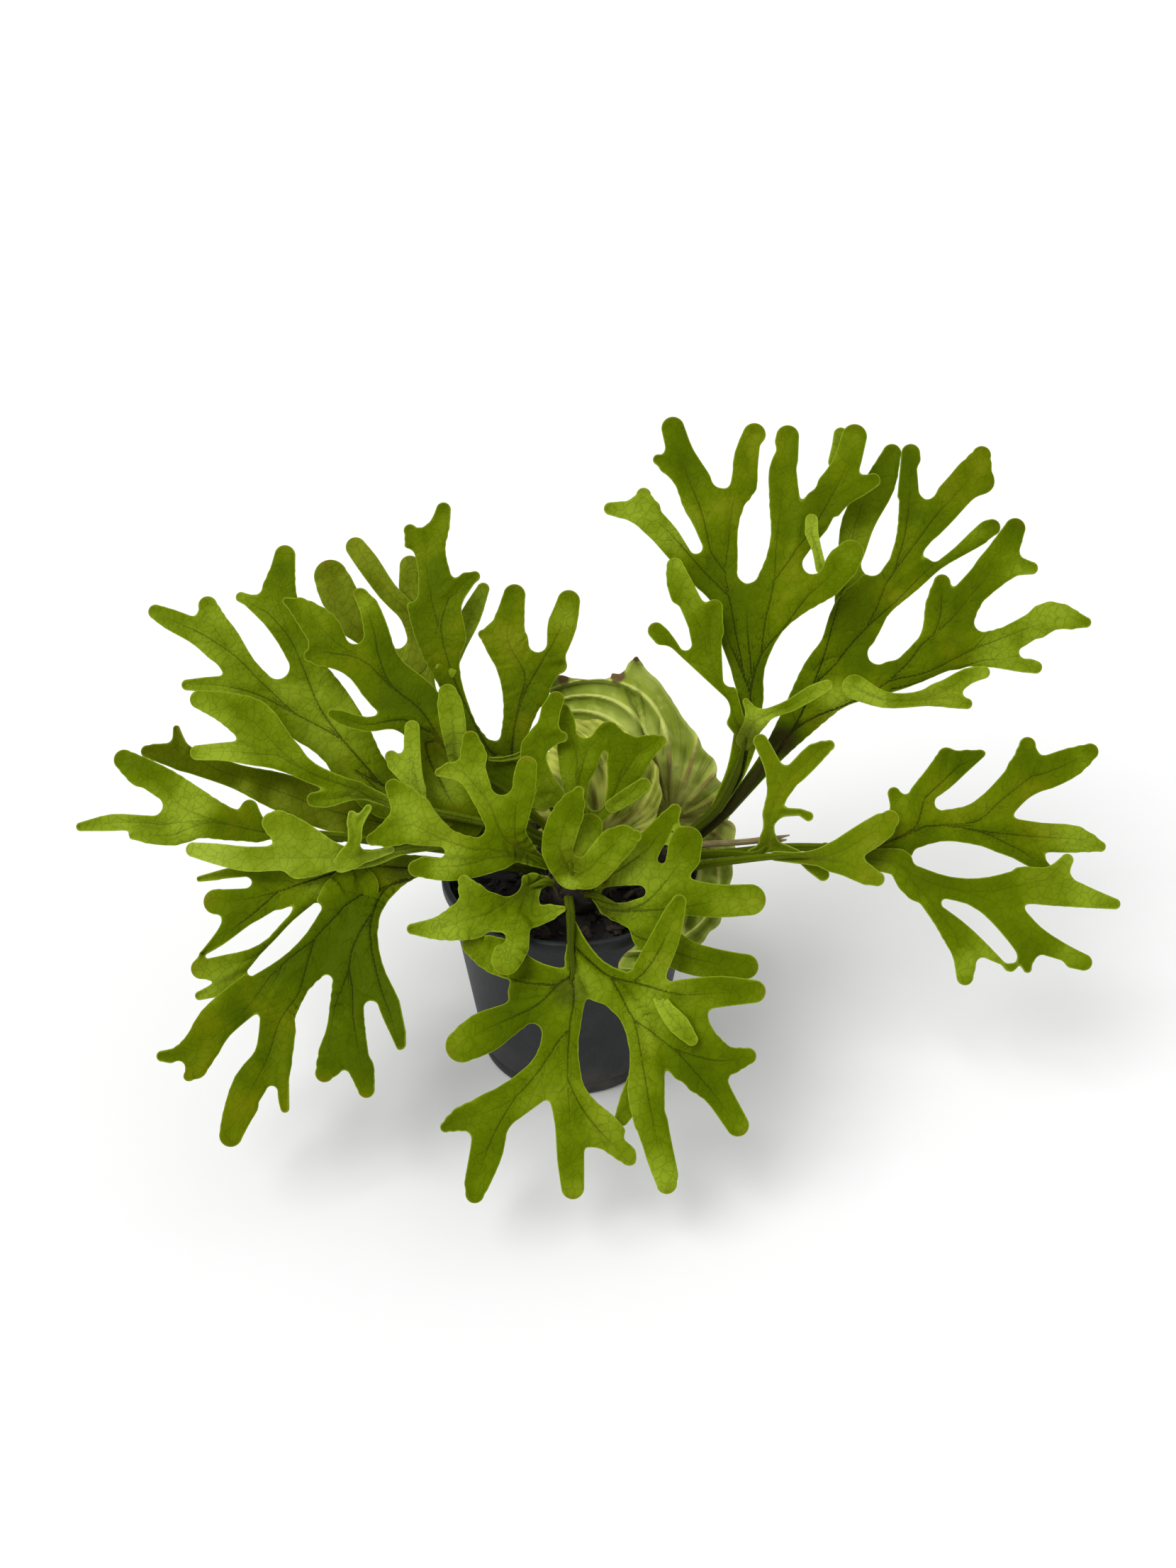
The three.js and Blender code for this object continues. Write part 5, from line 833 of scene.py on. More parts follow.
def branch_off(line, mains, given):
    """The line, started on the nearest main vein, and how far from the root that is. A given line
    starts where it comes closest, and any other leaves upstream and runs along for a while."""
    gaps = [np.linalg.norm(main[0] - line[0], axis=1) for main in mains]
    which = int(np.argmin([gap.min() for gap in gaps]))
    main, run = mains[which]
    at, near = int(gaps[which].argmin()), gaps[which].min()
    back = at if given else max(0, at - int(round((BUNDLE_SPREAD * near + BUNDLED) / VEIN_STEP)))
    if at > back:
        second, third = min(2, len(line) - 1), min(3, len(line) - 1)
        away = line[third] - main[at]
        aside = max(LEAST_BEND, BEND_SHARE * near)
        bend = main[(at + back) // 2] + away * aside / max(np.linalg.norm(away), 1)
        line = np.vstack([smooth_line([main[back], bend, line[second]], VEIN_STEP), line[third:]])
    return line, run[back]


print("a branch runs beside its mother for at least", BUNDLED, "mm")

# %% [markdown]
# Between the main veins, short twigs leave at a slant to both sides, at uneven distances. They
# are drawn by chance from a seeded generator, so the plant grows the same way every time.

# %% Side veins
FIRST_TWIG, LAST_TWIG, TWIG_GAP = 7.0, 6.0, (5, 9)
TWIG_SHARE, LONGEST_TWIG, SHORTEST_TWIG, TWIG_STEP = 1.2, 13, 3, 3.5


def side_veins(line, run, strength, rows, rng):
    """Twigs of a main vein, as bits that get thinner and fainter."""
    twigs, side, along = [], 1, FIRST_TWIG
    while along < run[-1] - run[0] - LAST_TWIG:
        k = int(np.searchsorted(run - run[0], along))
        ahead = line[min(k + 1, len(line) - 1)] - line[max(k - 1, 0)]
        ahead = ahead / max(np.linalg.norm(ahead), 1e-6)
        out = side * np.array([-ahead[1], ahead[0]])
        width = rows[np.linalg.norm(rows[:, :2] - line[k], axis=1).argmin(), 3]
        reach = min(TWIG_SHARE * width, LONGEST_TWIG)
        if reach > SHORTEST_TWIG:
            elbow = line[k] + reach * (0.34 * ahead + 0.32 * out)
            tip = line[k] + reach * (0.8 * ahead + 0.55 * out)
            twig = smooth_line([line[k], elbow, tip + rng.uniform(-1, 1, 2)], TWIG_STEP)
            thin = np.linspace(1, 0.2, len(twig) - 1)[:, None]
            faint = 0.1 + 0.24 * strength[min(k, len(strength) - 1)]
            twigs.append(np.hstack([twig[:-1], twig[1:], 0.2 + 0.12 * thin, faint * thin]))
        side = -side
        along += rng.uniform(*TWIG_GAP)
    return twigs


print("twigs are at most", LONGEST_TWIG, "mm long")

# %% Lay one layer's veins
SHORTEST_VEIN, FADES_FROM, LONG_ENOUGH = 13.0, 0.45, 20
FINEST_HALF, ROOT_HALF, THINS_OVER = 0.2, 0.55, 48
FAINTEST, ROOT_STRENGTH, FADES_OVER = 0.42, 0.58, 70


def lay_veins(lobes, lines, rng):
    """Straight bits of vein, each with its start, end, half width and strength."""
    rows = np.vstack([smooth_line(lobe, ROW_STEP) for lobe in lobes])
    mains, bits = [], []
    for line in lines or [[row[:2] for row in lobe] for lobe in lobes]:
        line, start = smooth_line(line, VEIN_STEP), 0.0
        if mains:
            if not lines and distances(line)[-1] < SHORTEST_VEIN:
                continue
            line, start = branch_off(line, mains, bool(lines))
        run = start + distances(line)
        mains.append((line, run))
        share = (run - start) / (run[-1] - start)
        fade = np.clip((1 - share) / FADES_FROM, 0, 1) if run[-1] - start > LONG_ENOUGH else 1 - share
        half = FINEST_HALF + ROOT_HALF * np.exp(-run / THINS_OVER)
        strength = fade * (FAINTEST + ROOT_STRENGTH * np.exp(-run / FADES_OVER))
        bits.append(np.column_stack([line[:-1], line[1:], half[:-1], strength[:-1]]))
        bits += side_veins(line, run, strength, rows, rng)
    return np.vstack(bits)


sample = lay_veins([plain_lobe], None, np.random.default_rng(1))
print("the plain lobe gets", len(sample), "bits of vein")

# %% [markdown]
# A sheet learns of the veins corner by corner. Each corner gets how strong the vein beside it is
# and, with a sign for left and right, how many half widths away it runs. The finish draws the
# line where that second number passes zero, and so finds it between corners too.

# %% Mark the veins on a sheet
VEIN_REACH, FARTHEST_BESIDE, BATCH = 1.1, 8, 3000


def vein_masks(points, bits):
    """Strength of the vein nearby, and how many of its half widths a point is to its left."""
    masks = np.zeros((2, len(points)))
    start, end, half, strength = bits[:, :2], bits[:, 2:4], bits[:, 4], bits[:, 5]
    step = end - start
    length2 = np.maximum((step ** 2).sum(1), 1e-6)
    for first in range(0, len(points), BATCH):
        spots = points[first:first + BATCH, None, :]
        along = np.clip(((spots - start) * step).sum(2) / length2, 0, 1)
        off = spots - start - step * along[..., None]
        away = np.linalg.norm(off, axis=2)
        near = np.clip(1.9 - away / VEIN_REACH, 0, 1) * strength
        best = (near - 0.01 * away).argmax(1)[:, None]
        turn = step[:, 0] * off[..., 1] - step[:, 1] * off[..., 0]
        beside = np.copysign(np.minimum(away / half, FARTHEST_BESIDE), turn)
        for mask, part in zip(masks, (near, beside)):
            mask[first:first + BATCH] = np.take_along_axis(part, best, 1)[:, 0]
    return masks


print("1 mm left of the sample's vein, in half widths:", vein_masks(np.array([[30.0, 1.0]]), sample)[1])

# %% [markdown]
# What a finish needs to know about a place on a leaf, such as whether a vein or a tip is near, is
# kept as attributes on the mesh, because they stay with the piece in every file. Solidify gives a
# sheet both its faces. A vertex group tells it where to stay thin, as a leaf is at its margin.

# %% Attributes and thickness
def set_attribute(mesh, name, values):
    attribute = mesh.attributes.get(name) or mesh.attributes.new(name, "FLOAT", "POINT")
    attribute.data.foreach_set("value", np.asarray(values, np.float32))


def fill_attribute(mesh, name, value):
    set_attribute(mesh, name, np.full(len(mesh.vertices), value))


def add_to_attribute(mesh, name, value):
    old = np.zeros(len(mesh.vertices))
    if name in mesh.attributes:
        mesh.attributes[name].data.foreach_get("value", old)
    set_attribute(mesh, name, old + value)


def apply_modifier(piece, kind, **settings):
    modifier = piece.modifiers.new(kind.lower(), kind)
    for name, value in settings.items():
        setattr(modifier, name, value)
    bpy.context.view_layer.objects.active = piece
    bpy.ops.object.modifier_apply(modifier=modifier.name)


def thicken(sheet, thickness, depth_in, thin_share, reach):
    """Solidify to both sides; the margin keeps only thin_share of the thickness."""
    group = sheet.vertex_groups.new(name="thick")
    share = thin_share + (1 - thin_share) * np.clip(depth_in / reach, 0, 1) ** 0.6
    for level in np.unique(np.round(share, 2)):
        group.add(np.flatnonzero(np.abs(share - level) <= 0.005).tolist(), float(level), "REPLACE")
    apply_modifier(sheet, "SOLIDIFY", thickness=thickness * MM, offset=0, vertex_group="thick",
                   use_even_offset=False, use_rim=True)
    sheet.vertex_groups.clear()


BLADE_THICKNESS, MARGIN_SHARE, MARGIN_REACH = 1.2, 0.4, 2.0
print("a blade is", BLADE_THICKNESS, "mm thick and", BLADE_THICKNESS * MARGIN_SHARE, "at its margin")

# %% [markdown]
# On the plant a frond is leathery. Its margin bends back a little, each lobe is a shallow
# channel, and no part of it lies flat. The flat sheet takes its depth from the rows, and the
# droop, the channels, a furrow over each vein and a slow wave are added. Sculpting could do it
# too, but twenty fronds can share a formula.

# %% Shape one layer of a blade
EDGE_DROOP, DROOP_REACH = 1.3, 3.5
CHANNEL, VEIN_FURROW, WAVE = 1.6, 0.3, 0.7
MARGIN_BAND, WAVE_BAND, STALK_REACH = 4, 7, 17


def tip_share(lobes, bays, points):
    """0 on the body of the blade, up to 1 at each end of a lobe that is on the outline."""
    share = np.zeros(len(points))
    for lobe in lobes:
        (x, v, _, width), ahead = lobe[-1], lobe[-1, :2] - lobe[-2, :2]
        tip = np.array([x, v]) + ahead / np.linalg.norm(ahead) * width
        if blade_field(lobes, bays, tip[None], FORK_ROUNDING)[0][0] > -0.8:
            share = np.maximum(share, 1 - np.linalg.norm(points - tip, axis=1) / (4 + width))
    return np.clip(share, 0, 1)


def patches_of(spots, points):
    """The sum of soft round patches, each given as x, v, reach and amount."""
    total = np.zeros(len(points))
    for x, v, reach, amount in spots:
        total += amount * np.exp(-(((points - (x, v)) / reach) ** 2).sum(1))
    return total


def slow_wave(points, turn):
    x, v = points[:, 0], points[:, 1]
    return (np.sin(x / 9.1 + v / 15.0 + turn[0]) + np.sin(v / 7.7 - x / 19.0 + turn[1])
            + 0.5 * np.sin(x / 4.3 + turn[2]) * np.sin(v / 4.9 + turn[3]))


def blade_sheet(name, lobes, bays, veins, root, spots, under, rng):
    """One layer of a frond's blade, in place and thick. Its stalk ends at the point root. Where it
    lies on the lobes under it as part of one surface, its edge leaves no margin."""
    lobes = [smooth_line(lobe, ROW_STEP) for lobe in lobes]
    bays = [smooth_line([(x, v, 0, radius) for x, v, radius in bay], ROW_STEP) for bay in bays]
    sheet = cut_sheet(name, lobes, bays, FORK_ROUNDING)
    points = corners(sheet.data)[:, :2]
    edge, t, across = blade_field(lobes, bays, points, FORK_ROUNDING)
    vein, beside = vein_masks(points, veins)
    furrow = vein * np.clip(1.4 - np.abs(beside) / 2.5, 0, 1)
    wave = slow_wave(points, rng.uniform(0, 6.3, 4))
    inside = np.clip(-edge / WAVE_BAND, 0, 1)
    t = t - EDGE_DROOP * np.exp(np.minimum(edge, 0) / DROOP_REACH)
    t = t - CHANNEL * (1 - across ** 1.5) - VEIN_FURROW * furrow + WAVE * wave * (0.35 + 0.65 * inside)
    hem = np.minimum(edge, blade_field(under, [], points, FORK_ROUNDING)[0]) if under else edge
    # the tone attribute starts as the painted light and shade of the frond's areas and its spots of decay
    for word, values in (("vein", vein), ("beside", beside), ("margin", np.clip(-hem / MARGIN_BAND, 0, 1)),
                         ("tip", tip_share(lobes, bays, points)),
                         ("stalk", np.exp(-np.linalg.norm(points - root, axis=1) / STALK_REACH)),
                         ("tone", patches_of(spots, points))):
        set_attribute(sheet.data, word, values)
    set_corners(sheet.data, place(points[:, 0], points[:, 1], t))
    thicken(sheet, BLADE_THICKNESS, -edge, MARGIN_SHARE, MARGIN_REACH)
    return sheet


print("droop at the margin:", EDGE_DROOP, "mm, depth of a channel:", CHANNEL, "mm")

# %% [markdown]
# A frond's stalk is round and tough at its root and flattens into the blade, where it goes on as
# the main vein. It starts as a cylinder with many rings. Each ring is then moved to its place on
# the smooth curve through the stalk's rows and turned across it, which a curve object with a
# taper would do too, but here the last ring can shrink until it sinks into the blade.

# %% Bend a cylinder into a stalk
STALK_SIDES, STALK_STEP, STALK_FLATNESS, STALK_END = 14, 1.6, 0.82, 0.35


def stalk_tube(name, rows, end_radius=STALK_END):
    rows = np.array(rows, float)
    spine = place(rows[:, 0], rows[:, 1], rows[:, 2]) / MM
    line = smooth_line(spine, STALK_STEP)
    run = distances(line)
    knots = [np.linalg.norm(line - knot, axis=1).argmin() for knot in spine]
    radius = np.interp(run, run[knots], np.append(rows[:-1, 3], end_radius))
    bpy.ops.mesh.primitive_cylinder_add(vertices=STALK_SIDES, radius=1, depth=2, end_fill_type="NGON")
    tube = bpy.context.object
    tube.name = name
    spots = tube.data.vertices
    rises = [spots[edge.vertices[0]].co.z - spots[edge.vertices[1]].co.z for edge in tube.data.edges]
    select_by(tube, "edges", np.abs(rises) > 1)
    edit(tube, "EDGE", (bpy.ops.mesh.subdivide, {"number_cuts": len(line) - 2}))
    shape = corners(tube.data)
    ring = np.rint((shape[:, 2] + 1) / 2 * (len(line) - 1)).astype(int)
    ahead = np.gradient(line, axis=0)
    ahead /= np.linalg.norm(ahead, axis=1, keepdims=True)
    side = np.cross(ahead, TOWARD)
    side /= np.linalg.norm(side, axis=1, keepdims=True)
    front = np.cross(side, ahead)
    turn = np.arctan2(shape[:, 1], shape[:, 0])
    across = radius[ring] * np.cos(turn)
    proud = radius[ring] * np.sin(turn) * STALK_FLATNESS
    moved = line[ring] + across[:, None] * side[ring] + proud[:, None] * front[ring]
    set_corners(tube.data, moved * MM)
    edit(tube, "EDGE", (bpy.ops.mesh.select_all, {"action": "SELECT"}),
         (bpy.ops.mesh.normals_make_consistent, {"inside": False}))
    for word, value in (("vein", 0.5), ("margin", 1), ("tip", 0)):
        fill_attribute(tube.data, word, value)
    set_attribute(tube.data, "beside", 3 * np.sin(2 * turn))
    set_attribute(tube.data, "stalk", 1 - 0.2 * run[ring] / run[-1])
    return tube


print("a stalk has", STALK_SIDES, "sides and a ring every", STALK_STEP, "mm")

# %% [markdown]
# A finish is a node tree. Clicking the nodes together is quick for two or three, but a leaf needs
# twenty, and sums of masks are easier to read as sums. So a wire, which is one output socket,
# takes part in Python arithmetic, and each operation adds its Math node.

# %% Wires
class Wire:
    """An output socket of a finish. Arithmetic on it adds Math nodes."""

    def __init__(self, finish, socket):
        self.finish, self.socket = finish, socket

    def maths(self, operation, *values):
        return self.finish.add("ShaderNodeMath", {"operation": operation}, dict(enumerate(values)))

    def __add__(self, other):
        return self.maths("ADD", self, other)

    def __sub__(self, other):
        return self.maths("SUBTRACT", self, other)

    def __rsub__(self, other):
        return self.maths("SUBTRACT", other, self)

    def __mul__(self, other):
        return self.maths("MULTIPLY", self, other)

    __radd__, __rmul__ = __add__, __mul__

    def size(self):
        return self.maths("ABSOLUTE", self)

    def between(self, low, high):
        """0 at low, 1 at high, with a soft turn at both ends."""
        return self.finish.add("ShaderNodeMapRange", {"interpolation_type": "SMOOTHSTEP"},
                               {"Value": self, "From Min": low, "From Max": high})


print("besides sums, a wire has", [name for name in vars(Wire) if name[0] != "_"])

# %% [markdown]
# All other nodes come from one method that is told the node's type, its settings and what its
# sockets get.

# %% Finishes
class Finish:
    """A material and its nodes, ending in one Principled shader."""

    def __init__(self, name):
        self.material = bpy.data.materials.new(name)
        self.material.use_nodes = True
        self.nodes, self.links = self.material.node_tree.nodes, self.material.node_tree.links
        self.shader = self.nodes["Principled BSDF"]

    def add(self, kind, settings=None, sockets=None, output=0):
        node = self.nodes.new(kind)
        for name, value in (settings or {}).items():
            if name == "stops":
                for spare in list(node.color_ramp.elements)[len(value):]:
                    node.color_ramp.elements.remove(spare)
                while len(node.color_ramp.elements) < len(value):
                    node.color_ramp.elements.new(1)
                for stop, (where, colour) in zip(node.color_ramp.elements, value):
                    stop.position, stop.color = where, (*colour, 1)
            else:
                setattr(node, name, value)
        self.feed(node, sockets or {})
        return Wire(self, node.outputs[output])

    def feed(self, node, sockets):
        for name, value in sockets.items():
            if isinstance(value, Wire):
                self.links.new(value.socket, node.inputs[name])
            elif isinstance(value, tuple) and len(node.inputs[name].default_value) == 4:
                node.inputs[name].default_value = (*value, 1)
            else:
                node.inputs[name].default_value = value

    def where(self):
        return self.add("ShaderNodeTexCoord", {}, {}, "Object")

    def attribute(self, name):
        return self.add("ShaderNodeAttribute", {"attribute_name": name}, {}, "Fac")

    def mixed(self, share, first, second):
        """A colour share of the way from first to second."""
        return self.add("ShaderNodeMix", {"data_type": "RGBA", "clamp_factor": True},
                        {0: share, 6: first, 7: second}, 2)

    def noise(self, where, scale, detail=3, rough=0.5):
        return self.add("ShaderNodeTexNoise", {}, {"Vector": where, "Scale": scale, "Detail": detail,
                                                   "Roughness": rough})

    def bump(self, height, distance, strength):
        return self.add("ShaderNodeBump", {}, {"Height": height, "Distance": distance, "Strength": strength})


print("a finish has", [name for name in vars(Finish) if name[0] != "_"])

# %% [markdown]
# A staghorn leaf is a bright yellow-green where it is young and olive where it is old and thick.
# Its veins are thin and dark, with a net of finer ones between them, its margin is paler, and
# old tips turn brown. The blade's finish mixes these by the attributes on the mesh. The vein's
# line is drawn from the distance beside it, which stays sharp however coarse the mesh is. The
# same finish with other colours serves the young pale fronds and the dark ones behind.

# %% The finish of the blades
AGED_OLIVE, DECAYED, STALK_BROWN = (0.165, 0.15, 0.001), (0.06, 0.035, 0.012), (0.026, 0.022, 0.005)


def blade_finish(name, deep, fresh, pale, vein_colour, tip_colour, tip_amount=0.35):
    finish = Finish(name)
    where = finish.where()
    vein, beside, margin, tip, stalk, tone, ripe = (
        finish.attribute(word)
        for word in ("vein", "beside", "margin", "tip", "stalk", "tone", "ripe"))
    line = vein * (1 - beside.size().between(0.6, 1.7))
    broad = finish.noise(where, 26, 2)
    blotch = finish.noise(where, 95, 4, 0.6)
    grain = finish.noise(where, 900, 2)
    warped = finish.add("ShaderNodeVectorMath", {"operation": "MULTIPLY_ADD"},
                        {0: finish.noise(where, 240, 2), 1: (0.004, 0.004, 0.004), 2: where})
    cell = finish.add("ShaderNodeTexVoronoi", {"feature": "DISTANCE_TO_EDGE"},
                      {"Vector": warped, "Scale": 235}, "Distance")
    net = 1 - cell.between(0.0, 0.09)
    mottle = broad * 0.75 + blotch * 0.25 - 0.5
    # tone brings each frond's own green and the painted light and shade of its areas
    patches = mottle.between(-0.2, 0.2) * 0.7 + tone * 0.7 - 0.1
    colour = finish.mixed(patches, deep, fresh)
    colour = finish.mixed((mottle * 1.7 + tone * 0.5 + 0.25).between(0.4, 1.05) * 0.8, colour, pale)
    colour = finish.mixed(stalk.between(0.4, 0.95) * 0.3, colour, deep)
    colour = finish.mixed(net * 0.28, colour, deep)
    colour = finish.mixed(vein.between(0.2, 1.0) * 0.16, colour, vein_colour)
    colour = finish.mixed(line * 0.8, colour, vein_colour)
    colour = finish.mixed((1 - margin.between(0.0, 0.17)) * 0.55, colour, pale)
    aged = (blotch * 0.35 + broad * 0.65).between(0.47, 0.66) * (0.42 - tone * 0.6)
    colour = finish.mixed(aged, colour, AGED_OLIVE)
    brown = tip * (blotch + 0.4)
    colour = finish.mixed(brown.between(0.45, 0.95) * tip_amount, colour, tip_colour)
    colour = finish.mixed((0 - tone).between(0.9, 2.0) * 0.85, colour, DECAYED)
    colour = finish.mixed(stalk.between(0.5, 0.8) * ripe, colour, STALK_BROWN)
    height = net * -0.35 + grain * 0.25 + blotch * 0.5 - line * 0.8
    finish.feed(finish.shader, {
        "Base Color": colour, "Roughness": 0.42 + grain * 0.14, "Specular IOR Level": 0.05,
        "Specular Tint": (0.75, 0.9, 0.3),
        "Subsurface Weight": 0.2, "Subsurface Scale": 0.002,
        "Normal": finish.bump(height, 0.0004, 0.8),
    })
    finish.shader.inputs["Subsurface Radius"].default_value = (0.6, 1.0, 0.15)
    return finish.material


DARK_VEIN = (0.016, 0.022, 0.002)
TIP_BROWN = (0.17, 0.12, 0.008)
FINISHES = {
    "blade": blade_finish("blade", (0.058, 0.092, 0.0), (0.15, 0.22, 0.0005), (0.30, 0.39, 0.026),
                          DARK_VEIN, TIP_BROWN),
    "blade_light": blade_finish("blade_light", (0.085, 0.125, 0.0005), (0.19, 0.265, 0.003),
                                (0.36, 0.47, 0.05), (0.045, 0.06, 0.006), TIP_BROWN, 0.2),
    "blade_dark": blade_finish("blade_dark", (0.052, 0.072, 0.0), (0.13, 0.165, 0.001),
                               (0.26, 0.32, 0.02), DARK_VEIN, TIP_BROWN, 0.6),
}
print("finishes:", sorted(FINISHES))

# %% [markdown]
# No two fronds are the same green. Small lobes that curl over show their pale backs, some layers
# that lie in the shade of others are lightened, which is painted light, and the oldest stalks have
# turned dark. A tone on each mesh does this with one finish, where a finish for each frond would
# mean twenty to keep alike.

# %% The tones of the fronds
LIGHT = ("frond_left_light", "frond_right_small", "frond_right_upright")
DARK = ("frond_left_dark", "frond_back_olive")
TONE = {  # how fresh each frond's green is, from 0 for olive to 1 for bright; others are 0.5
    "frond_front": 0.4, "frond_front_left": 0.8, "frond_centre": 0.4, "frond_centre_left": 0.4,
    "frond_left_upper_front": 0.7, "frond_left_light": 0.85, "frond_left_upper": 0.6, "frond_left_far": 0.6,
    "frond_back_olive": 0.85, "frond_back_tall": 0.15, "frond_left_mid": 0.12, "frond_left_low": 0.0,
    "frond_right_upper": 0.22, "frond_right_tall": 0.12, "frond_right_low": 0.25, "frond_right_small": 0.2,
    "frond_right_upright": 0.1, "frond_left_dark": 0.55,
}
# some layers here are lightened where others shade them, which is painted light; some show pale backs
LAYER_TONE_AND_PAINTED_LIGHT = {  # layers that differ from their frond
    ("frond_front", 1): 1.0, ("frond_front", 2): 0.2, ("frond_back_tall", 2): 0.4,
    ("frond_back_tall", 3): 1.4, ("frond_right_tall", 2): 0.5, ("frond_right_tall", 3): 0.5,
    ("frond_right_upper", 1): 0.6,
    ("frond_right_upper", 2): 1.0, ("frond_right_upper", 3): 1.3, ("frond_right_upper", 4): 1.0,
    ("frond_left_mid", 1): 1.1, ("frond_left_mid", 2): 0.9, ("frond_left_low", 1): 0.25,
    ("frond_right_low", 1): 0.4, ("frond_back_centre", 1): 0.9, ("frond_back_tall", 1): 0.9,
}
# Layers that are one surface with the first:
JOINED = [("frond_right_tall", 1), ("frond_right_tall", 3), ("frond_front", 2)]
RIPE = {  # how dark a stalk has grown; others are 0.2
    "frond_right_tall": 0.95, "frond_right_upper": 0.5, "frond_left_low": 0.5, "frond_front": 0.45,
    "frond_front_right": 0.4,
}
USUAL_TONE, USUAL_RIPENESS, USUAL_VEINING, COVERED_VEINING = 0.5, 0.2, 0.8, 0.2
print("fronds with a tone of their own:", len(TONE), "layers:", len(LAYER_TONE_AND_PAINTED_LIGHT))

# %% [markdown]
# With its rows, a frond needs no more decisions: lay its veins, cut and shape one sheet for each
# layer, bend its stalk, and join them. The piece then stands for the plain frond of the same
# name, so that one is hidden.

# %% Make every frond
def finish_piece(piece, node, slot_name, material=None):
    """Gives a finished piece its place, finish and the solid it stands for."""
    piece.data.materials.clear()
    piece.data.materials.append(material or FINISHES[slot_name])
    bpy.ops.object.select_all(action="DESELECT")
    piece.select_set(True)
    bpy.context.view_layer.objects.active = piece
    bpy.ops.object.transform_apply(location=True, rotation=True, scale=True)
    bpy.ops.object.shade_smooth_by_angle(angle=math.radians(50))
    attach(piece, "root")
    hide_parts(node)


def join(pieces, name):
    bpy.ops.object.select_all(action="DESELECT")
    for piece in pieces:
        piece.select_set(True)
    bpy.context.view_layer.objects.active = pieces[0]
    bpy.ops.object.join()
    pieces[0].name = pieces[0].data.name = name
    return pieces[0]


def frond_sheet(node, layer, lobes, frond, rng):
    bays, spots = frond.get("bays", []), PAINTED_LIGHT_AND_DECAY_SPOTS.get(node, [])
    veins = lay_veins(lobes, VEINS.get((node, layer)), rng)
    uncovered = layer == 0 or (node, layer) in VEINS
    veins[:, 5] *= VEINING.get(node, USUAL_VEINING) * (1 if uncovered else COVERED_VEINING)
    under = frond["layers"][0] if (node, layer) in JOINED else None
    return blade_sheet(f"{node}_{layer}", lobes, bays[layer] if layer < len(bays) else [],
                       veins, frond["stalk"][-1][:2], spots, under, rng)


faces = 0
for number, (node, frond) in enumerate(FRONDS.items()):
    rng = np.random.default_rng(100 + number)
    parts = [stalk_tube(node + "_stalk", frond["stalk"])]
    parts += [frond_sheet(node, layer, lobes, frond, rng) for layer, lobes in enumerate(frond["layers"])]
    for layer, part in enumerate(parts, -1):
        add_to_attribute(part.data, "tone", LAYER_TONE_AND_PAINTED_LIGHT.get((node, layer), TONE.get(node, USUAL_TONE)))
        fill_attribute(part.data, "ripe", RIPE.get(node, USUAL_RIPENESS))
    piece = join(parts, node + "_leaf")
    finish_piece(piece, node, "blade_light" if node in LIGHT else "blade_dark" if node in DARK else "blade")
    faces += len(piece.data.polygons)
print("fronds:", len(FRONDS), "faces:", faces)

# %% [markdown]
# The shield fronds are the plant's other leaves. Each is a fan of folds that starts at a hub and
# ends in a scalloped edge, pale green at first and papery brown later, and it clasps the mix and
# the rim. The rows give its outline and depth. Its folds are swept from a point, the fan's x and
# v, and curl: the third number is how many degrees they have turned 60 mm out, and the fourth how
# late they do it. The bearing of each crest is given in degrees. Where a shield has dried brown is
# given as x, v, reach and how much, and below 0 where it is bleached, which on the domed shield is
# partly painted light where other fronds shade it.

